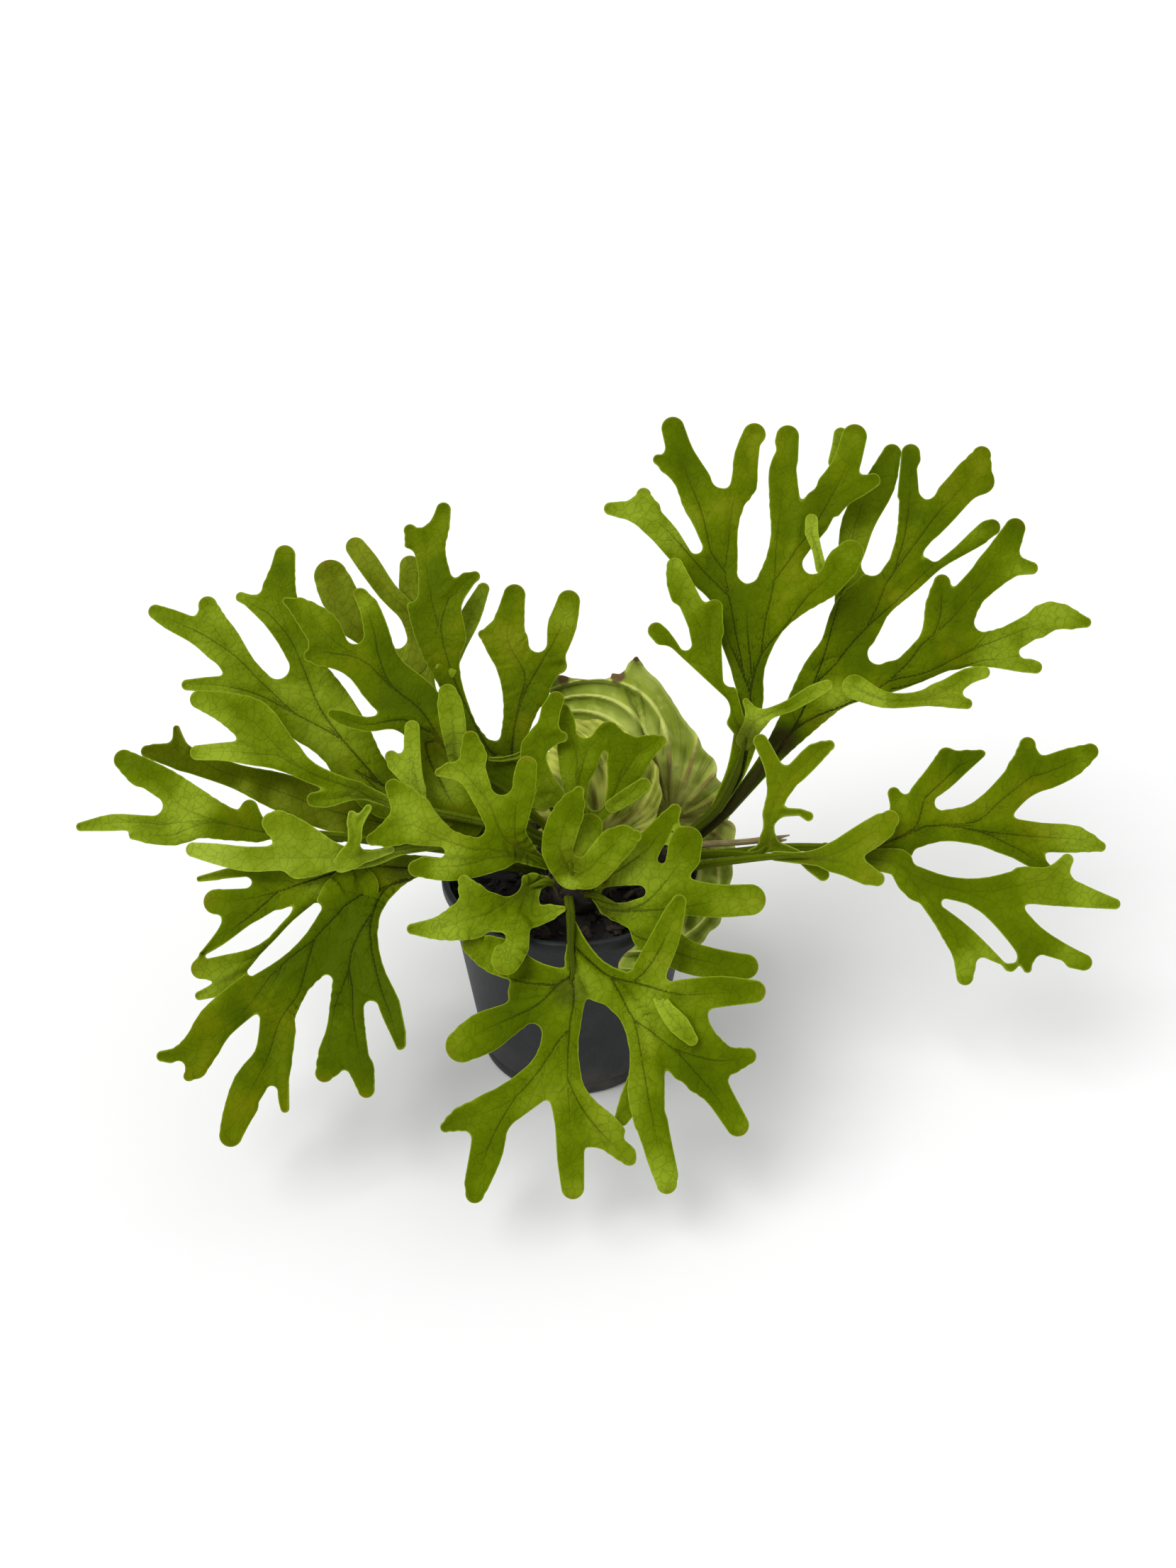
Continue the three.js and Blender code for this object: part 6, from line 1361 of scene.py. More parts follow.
# %% The rows of the shields and of the dead stalk
SHIELDS = {
  "shield_back": {
    "root": [[46,15,-1,2.6], [46,19,-4,2.6], [46,25,-5,1.5]],
    "fan": [48,22,9.9,4],
    "crests": [-40,-15,6,26,46,70,91.5,103,113,124,138,155,175],
    "hub": [46,27,-5,9],
    "ribs": [
      [[14,58,0,8], [-5,86,-8,5]], [[20,62,0,9], [4,84,-9,5]], [[26,64,0,9], [13,84,-9,5]],
      [[32,66,1,9], [21,85,-9,5]], [[38,68,2,9], [29,90,-11,5], [31,95,-11,3.2]],
      [[40,62,3,10], [37,83,-9,7]], [[42,58,4,10], [45,71,-7,6.8]], [[46,50,4,10], [54.5,58.5,-5,7]],
      [[52,42,2,9], [64,47,-5,5.8]], [[56,34,1,8], [69.5,34,-5,6.2]], [[58,27,-1,7], [71,26,-5,5.5]],
      [[46,24,-6,8], [58,20.5,-6,6.5], [67,22,-6,5.5]], [[31,95,-11,3], [31.4,99.4,-11,1]],
      [[27,89,-10,3], [23,90.6,-9.5,1.3], [20.3,91.8,-9,0.7]],
    ],
    "dry": [[22,91.5,2.8,1.7], [31.5,100,1.9,1.7], [-3,90,3,1.2], [-8,87,5,0.6], [25,91,5,0.6]],
    "hems": [
      [[-5,86,-8,5], [4,84.4,-9,5], [13,84.4,-9,5], [20,85,-9,5]],
      [[31,95,-11,3.2], [36,86,-9.5,6.2], [42,77,-8,7], [46.5,70,-7,6.4], [53,61,-6,7], [57,53,-5,7],
       [62.5,47.5,-5,6.6], [64,41,-5,5.6], [67.5,35.5,-5,6]],
    ],
  },
  "shield_dome": {
    "root": [[8,8,17,2.6], [10,12,15.5,2.6], [12,18,16,1.5]],
    "fan": [12,14,41,2],
    "crests": [-30,5,28,47,69,86,108,127,149,170,195,220],
    "hub": [12,18,16,9],
    "ribs": [
      [[2,17,14,6], [-10,15,11,5], [-18,12,9,3.5]], [[2,23,16,8], [-10,26,12,6], [-19,25,9,4]],
      [[-2,30,18,8], [-14,36,10,4.5]], [[0,38,20,8], [-13,50,8,5]], [[4,44,21,8], [-7,61,7,5]],
      [[9,46,21,8], [2,65,6,5]], [[15,48,21,8], [12,65,6,5]], [[20,46,21,8], [22,62,7,5]],
      [[24,42,21,8], [31,55,9,5]], [[27,36,20,8], [37,45,11,5]], [[28,30,19,7], [38,34,13,5]],
      [[26,24,18,6], [36,25,13,4]],
    ],
    # patches below 0 on the dome are bleached, partly painted light where other fronds shade it
    "dry": [[-17,22,9,0.5], [-16,12,7,0.6], [-7,47,8,-0.7], [13,40,9,-1], [35,27,5,-0.9], [12,68,8,0.35],
      [30,22,5,0.7]],
    "hems": [
      [[2,65,6,5], [12,65,6,5], [22,62,7,5], [31,55,9,5], [37,45,11,4.6], [38.5,34,13,5], [36.5,25,13,4.5],
       [31,19,14,4]],
    ],
  },
  "shield_rim": {
    "root": [[56,8,-3,2.2], [61,11,-5,2.2], [67,12,-3,1.4]],
    "fan": [50,22,-62,2],
    "crests": [-173,-153,-133,-113,-93,-73,-53,-33,-13,7,27],
    "ribs": [
      [[69,13,-2,6], [74,17,1,4.6]], [[68,6,0,6], [75,7,1,4]], [[68,-2,7,6], [73,-3,6,4]],
      [[67,-9,15,6], [71,-14,15,4.5]], [[62,-16,26,6], [67,-25,25,5]], [[57,-22,32,6], [59,-33,32,5]],
      [[49,-29,42,5], [51,-38,41,4.5]], [[42,-35,45,4], [41,-43,45,4]], [[34,-41,47.5,4], [33,-46,47.5,4]],
      [[30,-44,49,3.5], [27,-48,50,4]],
    ],
    "hems": [
      [[67,11,-3,6], [67,2,4,5], [65,-7,15,5], [60,-18,29,4.5], [50,-28,41.5,3.5], [37,-39,47,3.2],
       [28,-45,49.5,3.2]],
      [[74,17,1,4.6], [73.5,5,2,4.4], [72.5,-5,8,4.6], [68.5,-20,20,5], [60,-32,32,5], [50,-39,41,4.3],
       [39,-44.5,46,4.2], [28,-48,50,4]],
    ],
  },
}

DEAD_STALK = [
  [56, 9, 10, 1.6], [62, 10.5, 12, 1.6], [80, 11.5, 13, 1.5], [94, 13, 13, 1.5], [105, 15, 13.5, 1.2],
]
print("shields:", len(SHIELDS), "with folds:", [len(shield["crests"]) - 1 for shield in SHIELDS.values()])

# %% [markdown]
# A shield is palest on its folds, and the hollow beside each fold is darkened, which is painted
# shade. A dry line runs along the crests, rusty near the hub and cream further out, and its cream
# is also a painted highlight on each crest. Crumpled places fade to cream on their crests, which
# is painted highlight, and to rust in their hollows, which is partly dry colour and partly painted
# shade. The hub is rusty, partly its own brown and partly painted shade deep between the shields,
# and the dry patches are rusty. Patches below 0 are bleached to cream, on the domed shield partly
# painted light where other fronds shade it. The domed shield is the oldest and has the paler of
# two sets of colours.

# %% The finish of the shields
DRIED_OUT = (0.11, 0.055, 0.03)


def shield_finish(name, deep, green, pale, cream, rust_and_shade, fold_shade):
    finish = Finish(name)
    where = finish.where()
    crest, fold, shaded, far, margin, along, crumple, dried = (
        finish.attribute(word)
        for word in ("crest", "fold", "shaded", "far", "margin", "streak", "crumple", "dried"))
    broad = finish.noise(where, 45, 2)
    blotch = finish.noise(where, 130, 5, 0.65)
    grain = finish.noise(where, 1200, 2)
    streaks = finish.add("ShaderNodeTexNoise", {"noise_dimensions": "1D"},
                         {"W": along, "Scale": 1.0, "Detail": 3})
    colour = finish.mixed(broad.between(0.38, 0.6), green, pale)
    colour = finish.mixed(blotch.between(0.5, 0.75) * 0.45, colour, cream)
    colour = finish.mixed(streaks.between(0.5, 0.7) * 0.18, colour, green)
    # painted shade in the hollow beside each fold, stronger far from the hub
    colour = finish.mixed(shaded * (0.35 + far.between(0.2, 0.6) * 0.65) * fold_shade, colour, deep)
    # painted highlight in cream on the crumples' crests, and rust in their hollows that is partly dry colour
    # and partly painted shade
    colour = finish.mixed(crumple.between(0.25, 0.9) * 0.65, colour, cream)
    colour = finish.mixed((0 - crumple).between(0.3, 0.9) * 0.6, colour, rust_and_shade)
    # rust near the hub, partly its own brown and partly painted shade deep between the shields
    colour = finish.mixed((1 - far.between(0.0, 0.35)) * 0.5, colour, rust_and_shade)
    # below 0 a patch is bleached to cream, on the dome partly painted light where others shade it
    colour = finish.mixed((0 - dried).between(0.2, 1.0) * 0.8, colour, cream)
    # the dry line along each crest, rust near the hub; its cream further out is also a painted highlight
    crest_line_and_highlight = fold.between(0.3, 0.7) * (1 - crest.size().between(0.3, 1.3)) * far.between(0.08, 0.3)
    colour = finish.mixed(crest_line_and_highlight * 0.85, colour, finish.mixed(far.between(0.3, 0.55), rust_and_shade, cream))
    edge = 1 - margin.between(0.0, 0.4)
    colour = finish.mixed(edge * 0.45, colour, cream)
    dry = edge * 0.9 + far * 0.45 + blotch * 0.9
    colour = finish.mixed(dry.between(1.45, 1.95) * 0.6, colour, rust_and_shade)
    colour = finish.mixed((dried + blotch * 0.6).between(0.75, 1.3) * 0.9, colour, DRIED_OUT)
    height = streaks * 0.6 + grain * 0.15 + blotch * 0.8 + crest_line_and_highlight * 0.5
    finish.feed(finish.shader, {
        "Base Color": colour, "Roughness": 0.6 + grain * 0.12, "Specular IOR Level": 0.06,
        "Specular Tint": (0.85, 0.95, 0.45),
        "Subsurface Weight": 0.2, "Subsurface Scale": 0.002,
        "Normal": finish.bump(height, 0.0006, 0.8),
    })
    finish.shader.inputs["Subsurface Radius"].default_value = (0.9, 1.0, 0.3)
    return finish.material


# the first colour of each shield finish is the painted shade of the fold hollows
FINISHES["shield"] = shield_finish("shield", (0.10, 0.14, 0.008), (0.225, 0.285, 0.028), (0.40, 0.46, 0.09),
                                   (0.58, 0.63, 0.16), (0.19, 0.13, 0.04), 0.75)
FINISHES["shield_aged"] = shield_finish("shield_aged", (0.17, 0.19, 0.012), (0.31, 0.36, 0.03),
                                        (0.52, 0.57, 0.11), (0.76, 0.80, 0.15), (0.20, 0.15, 0.03), 0.35)
print("finishes now:", len(FINISHES))

# %% [markdown]
# A fold falls steeply behind its crest and rises slowly to the next. How far a point lies between
# two crests is its phase, which gives the height, the painted shade of the hollow and the distance
# beside the crest. Creases that cross the folds make the sheet papery.

# %% Fold a shield
SHIELD_THICKNESS, SHIELD_MARGIN_SHARE, SHIELD_MARGIN_REACH = 1.1, 0.45, 2.5
FOLD_HEIGHT, STEEP_SHARE = {"shield_back": 3.6, "shield_dome": 2.0, "shield_rim": 3.2}, 0.3
CRUMPLE = {"shield_back": 0.3, "shield_dome": 1.5, "shield_rim": 0.35}
SCALLOP_ROUNDING, CURL_REACH, FULL_FOLD_REACH, USUAL_GAP = 2.2, 60, 30, 15


def folds_of(shield, points):
    """For each point: reach and bearing from the fan, phase between two crests, and their gap."""
    x, v, curl, power = shield["fan"]
    crests = np.array(shield["crests"], float)
    out = points - (x, v)
    far = np.linalg.norm(out, axis=1)
    bearing = np.degrees(np.arctan2(out[:, 1], out[:, 0])) - curl * (far / CURL_REACH) ** power
    count = np.interp((bearing - crests[0]) % 360 + crests[0], crests, np.arange(len(crests)))
    gap = np.interp(count, np.arange(len(crests) - 1) + 0.5, np.diff(crests))
    return far, bearing, count % 1, gap


def creases_of(points, far, bearing, edge, turn):
    return (np.sin(bearing + turn[0] - far / 11) * (0.2 + 0.35 * np.exp(np.minimum(edge, 0) / 4))
            + np.sin(far / 3.4 + 3 * np.sin(bearing / 8 + turn[1])) * 0.35
            + np.sin(points[:, 0] / 2.9 + turn[2]) * np.sin(points[:, 1] / 2.4 + turn[3]) * 0.35)


print("height of the folds in mm:", FOLD_HEIGHT)

# %% Make the shields
def shield_fan(name, shield, fold_height, crumple, rng):
    ribs = [([shield["hub"]] if "hub" in shield else []) + rib for rib in shield["ribs"]]
    lobes = shield["hems"] + ribs
    sheet = cut_sheet(name, lobes, [], SCALLOP_ROUNDING)
    points = corners(sheet.data)[:, :2]
    edge, t, _ = blade_field(lobes, [], points, SCALLOP_ROUNDING)
    far, bearing, phase, gap = folds_of(shield, points)
    size = np.clip(gap / USUAL_GAP, 0.6, 1.3)
    rising, falling = (phase - STEEP_SHARE) / (1 - STEEP_SHARE), 1 - phase / STEEP_SHARE
    height = np.where(phase < STEEP_SHARE, falling, rising) ** 1.4
    far_share = np.clip(far / far.max(), 0, 1)
    creases = creases_of(points, far, bearing, edge, rng.uniform(0, 6.3, 4))
    t = t + fold_height * size * (height - 0.6) * np.clip(far / FULL_FOLD_REACH, 0.15, 1)
    t = t + crumple * creases * np.clip(far_share * 1.6, 0.3, 1)
    t = t - EDGE_DROOP * np.exp(np.minimum(edge, 0) / DROOP_REACH)
    beside = (phase + 0.5) % 1 - 0.5
    # painted shade for the hollow beside each crest, strongest just past the steep fall
    shaded = np.interp(phase, [0, 0.07, 0.2, 0.45, 0.75, 1], [0, 0.2, 0.95, 0.65, 0.1, 0])
    for word, values in (("crest", beside * np.radians(gap) * far), ("fold", 1 - 2 * np.abs(beside)),
                         ("shaded", shaded), ("crumple", creases * min(1, crumple)), ("far", far_share),
                         ("margin", np.clip(-edge / 6, 0, 1)), ("streak", 0.44 * bearing),
                         ("dried", patches_of(shield.get("dry", []), points))):
        set_attribute(sheet.data, word, values)
    set_corners(sheet.data, place(points[:, 0], points[:, 1], t))
    thicken(sheet, SHIELD_THICKNESS, -edge, SHIELD_MARGIN_SHARE, SHIELD_MARGIN_REACH)
    return sheet


for number, (node, shield) in enumerate(SHIELDS.items()):
    rng = np.random.default_rng(300 + number)
    root = stalk_tube(node + "_root", shield["root"], end_radius=0.8)
    # the root gets a little of the painted shade of the hollows
    for word, value in (("crest", 9.0), ("shaded", 0.3), ("margin", 1.0)):
        fill_attribute(root.data, word, value)
    for word in ("fold", "crumple", "far", "streak", "dried"):
        fill_attribute(root.data, word, 0.0)
    fan = shield_fan(node + "_fan", shield, FOLD_HEIGHT[node], CRUMPLE[node], rng)
    piece = join([root, fan], node + "_leaf")
    finish_piece(piece, node, "shield", FINISHES["shield_aged" if node == "shield_dome" else "shield"])
    print(node, "faces:", len(piece.data.polygons))

# %% [markdown]
# An old frond died back to its stalk, which dried brown and split at the end. It is bent from a
# cylinder as the living stalks are, with two short prongs for the split.

# %% The dead stalk
def dry_finish():
    finish = Finish("dead_stalk")
    where = finish.where()
    along = finish.add("ShaderNodeMapping", {}, {"Vector": where, "Scale": (60.0, 700.0, 700.0)})
    fibre = finish.noise(along, 1.0, 4, 0.6)
    blotch = finish.noise(where, 160, 3)
    colour = finish.mixed(fibre.between(0.3, 0.7), (0.12, 0.085, 0.03), (0.32, 0.26, 0.11))
    colour = finish.mixed(blotch.between(0.5, 0.8) * 0.6, colour, (0.24, 0.25, 0.08))
    finish.feed(finish.shader, {"Base Color": colour, "Roughness": 0.8,
                                "Normal": finish.bump(fibre, 0.0005, 0.9)})
    return finish.material


FINISHES["dead_stalk"] = dry_finish()
last = DEAD_STALK[-2]
prong = [last, (last[0] + 6, last[1] - 0.5, last[2] + 1, 1.0),
         (last[0] + 9.5, last[1] - 0.2, last[2] + 2.5, 0.6)]
piece = join([stalk_tube("dead_main", DEAD_STALK), stalk_tube("dead_prong", prong)], "dead_stalk_dry")
finish_piece(piece, "dead_stalk", "dead_stalk")
print("dead stalk faces:", len(piece.data.polygons))

# %% [markdown]
# The pot is the thin dark plastic kind that plants are sold in: a tapered wall, a lip that stiffens
# the rim, and drain holes in the floor. It starts as a disc the size of the foot. Extruding its
# rim again and again, each time resized and raised to the next ring of the profile, draws the
# wall up the outside, over the lip and down the inside as one skin.

# %% The pot's skin
POT_RIM_RADIUS, POT_FOOT_RADIUS, POT_WALL, POT_FLOOR = 62.0, 45.0, 1.6, 2.4
LIP_DEPTH, LIP_STEP = 6.0, 1.8


def wall_radius(height):
    """The pot's inner radius at a height above the table."""
    return POT_FOOT_RADIUS + (POT_RIM_RADIUS - LIP_STEP - POT_FOOT_RADIUS) * height / POT_HEIGHT - POT_WALL


def outer(height, proud=0.0):
    return wall_radius(height) + POT_WALL + proud, height


lip_foot = POT_HEIGHT - LIP_DEPTH
profile = [
    (43.2, 0.0), (44.4, 0.35), outer(1.6), outer(7.0), outer(7.4, -0.35), outer(8.0, -0.35), outer(8.4),
    outer(40.0), outer(84.0), outer(84.8, 0.55), outer(88.0, 0.55), outer(lip_foot - 0.4, 0.55),
    (61.3, lip_foot), (61.85, lip_foot + 0.8), (61.95, POT_HEIGHT - 0.9), (61.7, POT_HEIGHT - 0.3),
    (61.1, POT_HEIGHT), (59.6, POT_HEIGHT), (58.9, POT_HEIGHT - 0.4),
    (wall_radius(97.0), 97.0), (wall_radius(50.0), 50.0), (wall_radius(POT_FLOOR), POT_FLOOR),
]
bpy.ops.object.select_all(action="DESELECT")
bpy.ops.mesh.primitive_circle_add(vertices=120, radius=profile[0][0] * MM, fill_type="NGON",
                                  location=(0, 0, profile[0][1] * MM))
pot = bpy.context.object
pot.name = "nursery_pot"
bpy.ops.object.mode_set(mode="EDIT")
bpy.ops.mesh.select_all(action="SELECT")
for (radius, height), (next_radius, next_height) in zip(profile, profile[1:]):
    bpy.ops.mesh.extrude_region()
    grow = next_radius / radius
    bpy.ops.transform.resize(value=(grow, grow, 1))
    bpy.ops.transform.translate(value=(0, 0, (next_height - height) * MM))
bpy.ops.mesh.select_all(action="SELECT")
bpy.ops.mesh.normals_make_consistent(inside=False)
bpy.ops.object.mode_set(mode="OBJECT")
bpy.ops.object.transform_apply(location=True, rotation=True, scale=True)
print("rings of the profile:", len(profile))

# %% [markdown]
# Water leaves through holes in the floor, each cut with a cylinder by a Boolean modifier. A bevel
# then softens all sharp edges.

# %% The drain holes
DRAIN_HOLES, DRAIN_RADIUS, DRAIN_CIRCLE, DRILL_LENGTH = 6, 4.5, 30.0, 12
EDGE_BEVEL, SHARP = 0.25, math.radians(50)
for number in range(DRAIN_HOLES):
    turn = 2 * math.pi * (number + 0.5) / DRAIN_HOLES
    bpy.ops.mesh.primitive_cylinder_add(
        vertices=32, radius=DRAIN_RADIUS * MM, depth=DRILL_LENGTH * MM,
        location=(DRAIN_CIRCLE * MM * math.cos(turn), DRAIN_CIRCLE * MM * math.sin(turn), POT_FLOOR * MM))
    drill = bpy.context.object
    apply_modifier(pot, "BOOLEAN", operation="DIFFERENCE", object=drill, solver="EXACT")
    bpy.data.objects.remove(drill)
apply_modifier(pot, "BEVEL", width=EDGE_BEVEL * MM, segments=2, limit_method="ANGLE", angle_limit=SHARP)
print("pot faces:", len(pot.data.polygons))

# %% [markdown]
# The plastic is nearly black, scuffed in upright streaks and dusty near the foot.

# %% The pot's plastic
def pot_finish():
    finish = Finish("pot")
    where = finish.where()
    stretched = finish.add("ShaderNodeMapping", {}, {"Vector": where, "Scale": (1.0, 1.0, 0.06)})
    scuffs = finish.noise(stretched, 900, 4, 0.6)
    orange_peel = finish.noise(where, 1500, 2)
    dust = finish.noise(where, 60, 5, 0.6)
    height = finish.add("ShaderNodeSeparateXYZ", {}, {"Vector": where}, 2)
    low = 1 - height.between(0.0, 0.03)
    colour = finish.mixed(dust.between(0.45, 0.8) * 0.45, (0.011, 0.0125, 0.0145), (0.035, 0.038, 0.042))
    colour = finish.mixed(scuffs.between(0.58, 0.8) * 0.35, colour, (0.07, 0.075, 0.08))
    colour = finish.mixed(low * dust.between(0.4, 0.7) * 0.5, colour, (0.09, 0.075, 0.055))
    finish.feed(finish.shader, {
        "Base Color": colour, "Roughness": 0.42 + scuffs * 0.2 + dust * 0.1, "Specular IOR Level": 0.35,
        "Normal": finish.bump(orange_peel * 0.4 + scuffs * 0.6, 0.00025, 0.6),
    })
    return finish.material


finish_piece(pot, "pot", "pot", pot_finish())
print("materials of the pot:", len(pot.data.materials))

# %% [markdown]
# The mix is composted bark: chunks of up to a centimetre, dark with damp, over finer stuff.
# Modelling every chunk down to the floor would be wasted, as only the top shows. So one heap
# fills the pot, bumpy on top, and a few hundred chips lie on it. One chip is modelled, and its
# copies are squashed, turned and dented each in its own way.

# %% The heap
SOIL_DROP, SOIL_DOME, HEAP_CELL, HEAP_GAP = 7.0, 3.0, 3.0, 0.4


def soil_height(x, y):
    """Height of the heap's top, in mm, with slow and quick bumps."""
    reach = wall_radius(POT_HEIGHT - SOIL_DROP)
    dome = SOIL_DOME * (1 - (x * x + y * y) / reach ** 2)
    slow = 1.1 * np.sin(x / 6.1 + 0.7 * np.sin(y / 8.3)) * np.cos(y / 7.7 + 0.9)
    quick = 0.45 * np.sin(x / 1.9 + y / 2.3) * np.sin(y / 1.7 - x / 3.1)
    return POT_HEIGHT - SOIL_DROP + dome + slow + quick


mix_radius = wall_radius(POT_HEIGHT - SOIL_DROP) - HEAP_GAP
middle = [(-0.01, 0, 0, mix_radius), (0.01, 0, 0, mix_radius)]
heap = cut_sheet("bark_heap", [middle], [], 1.0, HEAP_CELL)
flat = corners(heap.data)
flat[:, 2] = soil_height(flat[:, 0], flat[:, 1])
set_corners(heap.data, flat * MM)
select_by(heap, "edges", rim_of(heap.data)[1])
bpy.context.view_layer.objects.active = heap
bpy.ops.object.mode_set(mode="EDIT")
bpy.ops.mesh.select_mode(type="EDGE")
bpy.ops.mesh.extrude_edges_move()
bpy.ops.transform.resize(value=(1, 1, 0), center_override=(0, 0, (POT_FLOOR + 0.5) * MM))
taper = (wall_radius(POT_FLOOR) - 1.0) / mix_radius
bpy.ops.transform.resize(value=(taper, taper, 1), center_override=(0, 0, 0))
bpy.ops.mesh.edge_face_add()
bpy.ops.mesh.select_all(action="SELECT")
bpy.ops.mesh.normals_make_consistent(inside=False)
bpy.ops.object.mode_set(mode="OBJECT")
print("radius of the heap:", round(mix_radius, 2), "mm, faces:", len(heap.data.polygons))

# %% [markdown]
# Every third chip is a crumb. Near the wall, the room left there limits a chip's size.

# %% The chips
CHIPS = 420
rng = np.random.default_rng(7)


def new_piece(name, points, faces):
    mesh = bpy.data.meshes.new(name)
    mesh.from_pydata(points.tolist(), [], faces)
    piece = bpy.data.objects.new(name, mesh)
    bpy.context.scene.collection.objects.link(piece)
    return piece


bpy.ops.mesh.primitive_ico_sphere_add(subdivisions=2, radius=1)
chip = bpy.context.object
seed_shape, seed_faces = corners(chip.data), [tuple(face.vertices) for face in chip.data.polygons]
bpy.data.objects.remove(chip)
shape, chip_faces = [], []
for number in range(CHIPS):
    bearing, out = rng.uniform(0, 2 * math.pi), mix_radius * math.sqrt(rng.uniform(0, 1)) - 2.5
    x, y = out * math.cos(bearing), out * math.sin(bearing)
    size = rng.uniform(1.6, 5.2) if number % 3 else rng.uniform(0.9, 1.8)
    room = mix_radius + 1.0 - abs(out)
    size = min(size, max(0.9, room * 0.7))
    half = size * np.array([1.0, rng.uniform(0.45, 0.9), rng.uniform(0.25, 0.5)])
    waves = np.sin(seed_shape @ rng.normal(0, 3.2, (3, 3)) + rng.uniform(0, 6, 3))
    dents = 1 + 0.16 * waves.sum(1, keepdims=True)
    boxy = np.sign(seed_shape) * np.abs(seed_shape) ** 0.7
    turn = np.array(Vector((0, 0, 1)).rotation_difference(
        Vector((rng.normal(0, 0.45), rng.normal(0, 0.45), 1))).to_matrix())
    spin = rng.uniform(0, 2 * math.pi)
    cos, sin = math.cos(spin), math.sin(spin)
    flat_turn = np.array([[cos, -sin, 0], [sin, cos, 0], [0, 0, 1]])
    spot = np.array([x, y, soil_height(x, y) + 0.35 * half[2] + rng.uniform(0, 0.8)])
    chip_faces += [tuple(corner + number * len(seed_shape) for corner in face) for face in seed_faces]
    shape.append((boxy * dents * half) @ flat_turn.T @ turn.T + spot)
chip_piece = new_piece("bark_chips", np.vstack(shape) * MM, chip_faces)
set_attribute(chip_piece.data, "piece", np.repeat(rng.uniform(0.25, 1, CHIPS), len(seed_shape)))
fill_attribute(heap.data, "piece", 0.12)
print("chips:", CHIPS, "faces:", len(chip_piece.data.polygons))

# %% [markdown]
# Each chip has its own share of the way from wet black to dry brown, and stretched noise is the
# fibre of the bark.

# %% The bark's finish
def bark_finish():
    finish = Finish("bark")
    where = finish.where()
    shade = finish.attribute("piece")
    stretched = finish.add("ShaderNodeMapping", {}, {"Vector": where, "Scale": (1.0, 0.3, 1.0)})
    fibre = finish.noise(stretched, 900, 5, 0.65)
    crumbs = finish.noise(where, 500, 5, 0.7)
    tone = shade * 0.6 + fibre * 0.5
    colour = finish.add("ShaderNodeValToRGB", {"stops": [
        (0.2, (0.004, 0.0035, 0.003)), (0.5, (0.014, 0.010, 0.0075)), (0.75, (0.036, 0.025, 0.016)),
        (0.95, (0.09, 0.068, 0.047))]}, {"Fac": tone})
    finish.feed(finish.shader, {"Base Color": colour, "Roughness": 0.88, "Specular IOR Level": 0.3,
                                "Normal": finish.bump(fibre * 0.6 + crumbs, 0.0012, 0.9)})
    return finish.material


FINISHES["bark"] = bark_finish()
piece = join([heap, chip_piece], "bark_mix_chips")
finish_piece(piece, "bark_mix", "bark")
print("corners of the mix:", len(piece.data.vertices))

# %% [markdown]
# The fronds grow from a crown, a short thick rhizome that hides under its own papery scales. Two
# crowns sit in this pot. Each starts as an icosphere pushed in and out into knobs, and one thin
# pointed scale is modelled, copied over the upper side and leaned back on it, like shingles.

# %% One scale
def scale_shape():
    """One scale as a subdivided plane: narrow, pointed and cupped, a unit long."""
    bpy.ops.mesh.primitive_grid_add(x_subdivisions=2, y_subdivisions=5, size=1)
    scale = bpy.context.object
    shape = corners(scale.data)
    along = shape[:, 1] + 0.5
    shape[:, 0] *= 0.42 * np.sqrt(np.clip(1 - along ** 1.6, 0.02, 1)) * (0.5 + along)
    shape[:, 2] = 0.16 * along ** 2 - 0.9 * shape[:, 0] ** 2
    shape[:, 1] = along
    quads = [tuple(face.vertices) for face in scale.data.polygons]
    bpy.data.objects.remove(scale)
    return shape, quads


unit, quads = scale_shape()
print("a scale has", len(unit), "corners and", len(quads), "faces")

# %% A crown in its coat of scales
SCALES, SCALE_THICKNESS, SCALE_LENGTH = 260, 0.3, (3.0, 6.5)
SUNK_IN, LIFT = 0.93, 0.22


def crown_knob(name, middle, radius):
    bpy.ops.mesh.primitive_ico_sphere_add(subdivisions=5, radius=1)
    knob = bpy.context.object
    knob.name = name
    ball = corners(knob.data)
    knobs = np.sin(7 * ball[:, 0] + 2) * np.sin(6 * ball[:, 1] + 1) * np.sin(8 * ball[:, 2])
    rough = np.sin(23 * ball[:, 0] + 4 * ball[:, 1]) * np.sin(21 * ball[:, 1] - 5 * ball[:, 2])
    reach = radius * (0.94 + 0.05 * knobs + 0.02 * rough) * MM
    set_corners(knob.data, place(*middle) + ball * reach[:, None])
    fill_attribute(knob.data, "piece", 0.2)
    return knob


def placed_scale(radius, rng):
    """The corners of one scale, leaned back on the upper side of a ball."""
    height = rng.uniform(-0.25, 0.98)
    bearing = rng.uniform(0, 2 * math.pi)
    level = math.sqrt(1 - height * height)
    out = np.array([level * math.cos(bearing), level * math.sin(bearing), height])
    lean = np.array([0, 0, 1.0]) + rng.normal(0, 0.35, 3)
    tangent = lean - out * (lean @ out)
    tangent /= np.linalg.norm(tangent)
    side = np.cross(tangent, out)
    local = unit * rng.uniform(*SCALE_LENGTH)
    spot = out * radius * SUNK_IN
    return spot + local[:, :1] * side + local[:, 1:2] * (tangent + LIFT * out) + local[:, 2:] * out


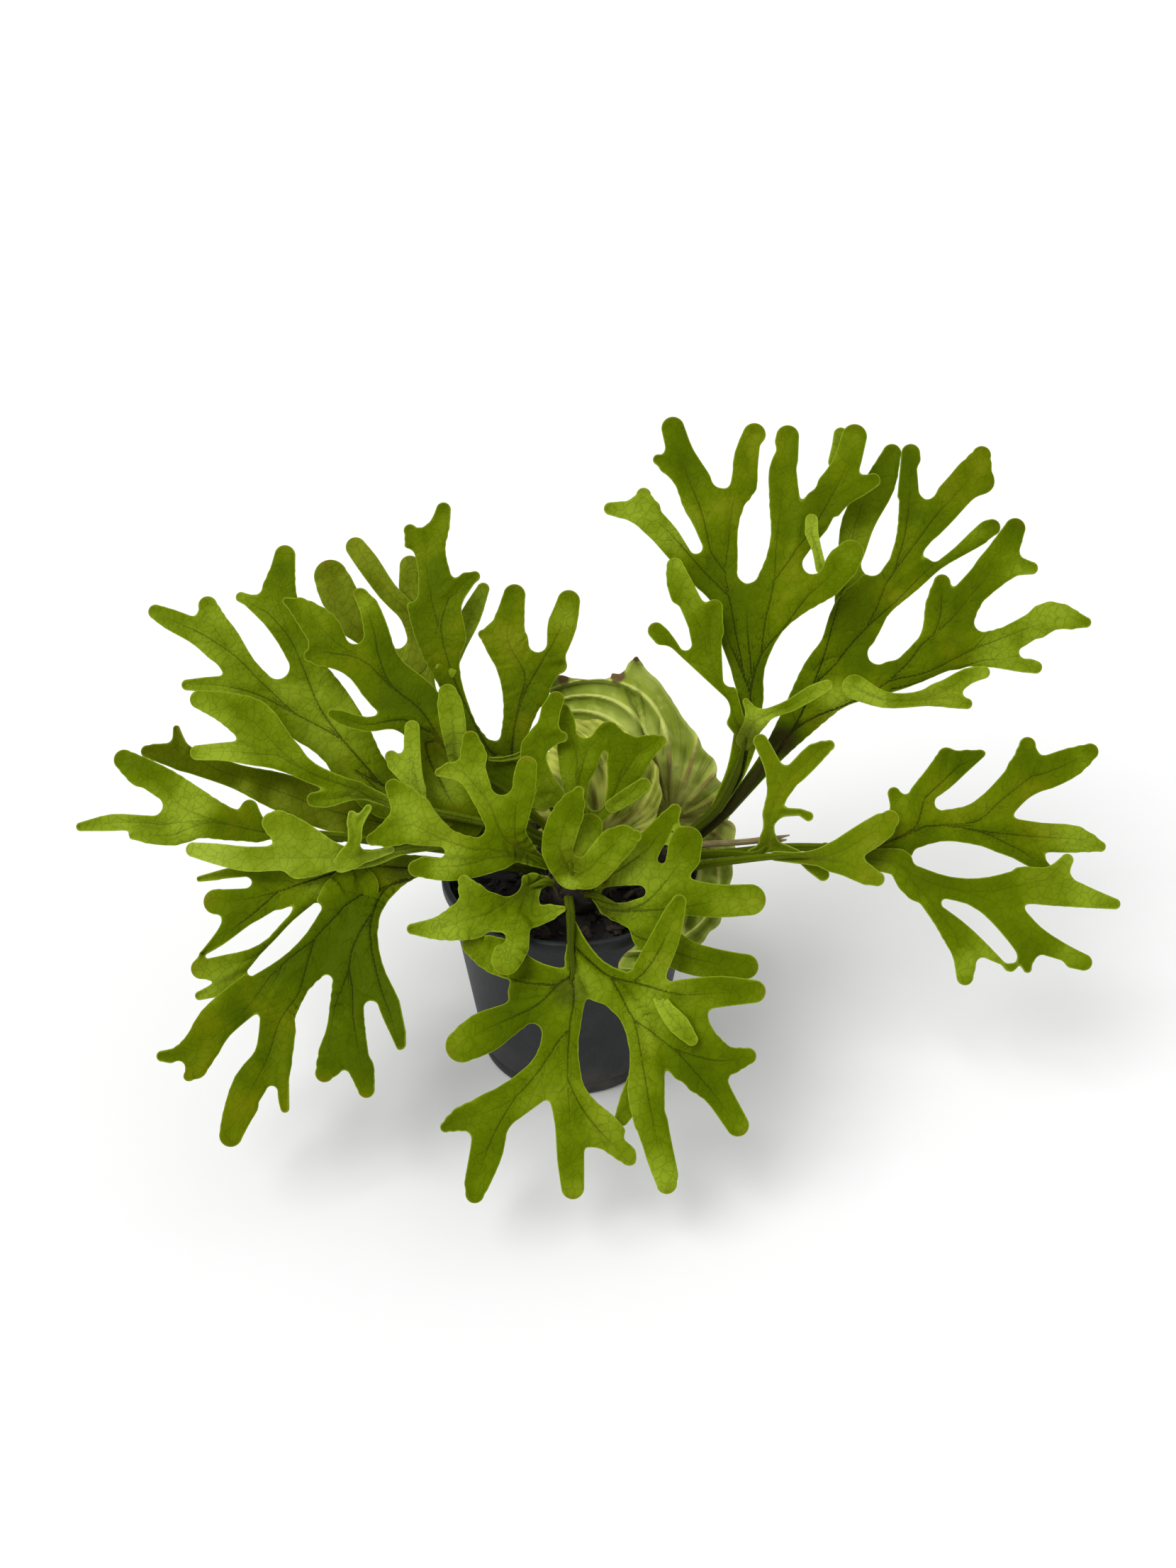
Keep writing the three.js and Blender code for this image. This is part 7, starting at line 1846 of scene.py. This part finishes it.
def crown_coat(name, middle, radius, rng):
    shape = [placed_scale(radius, rng) for _ in range(SCALES)]
    faces = [tuple(corner + number * len(unit) for corner in face)
             for number in range(SCALES) for face in quads]
    coat = new_piece(name, np.vstack(shape) * MM + place(*middle), faces)
    apply_modifier(coat, "SOLIDIFY", thickness=SCALE_THICKNESS * MM, offset=0)
    shades = np.repeat(rng.uniform(0.35, 1, SCALES), len(coat.data.vertices) // SCALES)
    set_attribute(coat.data, "piece", shades)
    return coat


print("scales on a crown:", SCALES)

# %% [markdown]
# The scales are dark brown, some paler, mixed as the bark is.

# %% The finish of the crowns
def crown_finish():
    finish = Finish("crown")
    where = finish.where()
    shade = finish.attribute("piece")
    fibre = finish.noise(where, 1400, 4, 0.6)
    colour = finish.add("ShaderNodeValToRGB", {"stops": [
        (0.15, (0.009, 0.006, 0.004)), (0.5, (0.026, 0.017, 0.009)), (0.9, (0.10, 0.068, 0.034))]},
        {"Fac": shade * 0.55 + fibre * 0.45})
    finish.feed(finish.shader, {"Base Color": colour, "Roughness": 0.75,
                                "Normal": finish.bump(fibre, 0.0005, 0.8)})
    return finish.material


FINISHES["crown"] = crown_finish()
print("finishes now:", len(FINISHES))

# %% Make both crowns
CROWNS = {"crown_main": ((2, -6, 26), 17.0), "crown_side": ((46, 6, 4), 12.0)}
for number, (node, (middle, radius)) in enumerate(CROWNS.items()):
    coat = crown_coat(node + "_scales", middle, radius, np.random.default_rng(500 + number))
    piece = join([crown_knob(node, middle, radius), coat], node + "_scaly")
    finish_piece(piece, node, "crown")
    print(node, "faces:", len(piece.data.polygons))

# %% [markdown]
# The floor is plain and pale and reaches far enough to fill the picture. The light is soft: a
# bright even sky and two suns as wide as large studio lamps, one from the upper left before the
# plant and a weaker one behind it. A sun lights the whole floor alike, where a lamp would leave
# it grey far away. The plain view transform keeps a leaf's colour as bright as it was mixed.

# %% Floor, sky and suns
FLOOR_SIZE, SKY_STRENGTH = 80, 0.58


def sun(name, come_from, strength, width):
    data = bpy.data.lights.new(name, "SUN")
    data.energy, data.angle = strength, math.radians(width)
    light = bpy.data.objects.new(name, data)
    bpy.context.scene.collection.objects.link(light)
    light.location = come_from
    light.rotation_euler = Vector(come_from).to_track_quat("Z", "Y").to_euler()


bpy.context.scene.view_settings.view_transform = "Standard"
bpy.ops.mesh.primitive_plane_add(size=FLOOR_SIZE, location=(0, 0, 0))
floor = bpy.context.object
floor.name = "floor"
paper = Finish("paper")
paper.feed(paper.shader, {"Base Color": (0.9, 0.9, 0.9), "Roughness": 0.9, "Specular IOR Level": 0.1})
floor.data.materials.append(paper.material)

sky = bpy.data.worlds.new("sky")
sky.use_nodes = True
background = sky.node_tree.nodes["Background"]
background.inputs["Color"].default_value = (1, 1, 1, 1)
background.inputs["Strength"].default_value = SKY_STRENGTH
bpy.context.scene.world = sky
sun("sun_front", (-0.75, -0.5, 1.2), 2.0, 40)
sun("sun_behind", (0.7, 0.9, 1.0), 0.4, 60)
print("suns:", [round(light.energy, 1) for light in bpy.data.lights if light.type == "SUN"])

# %% [markdown]
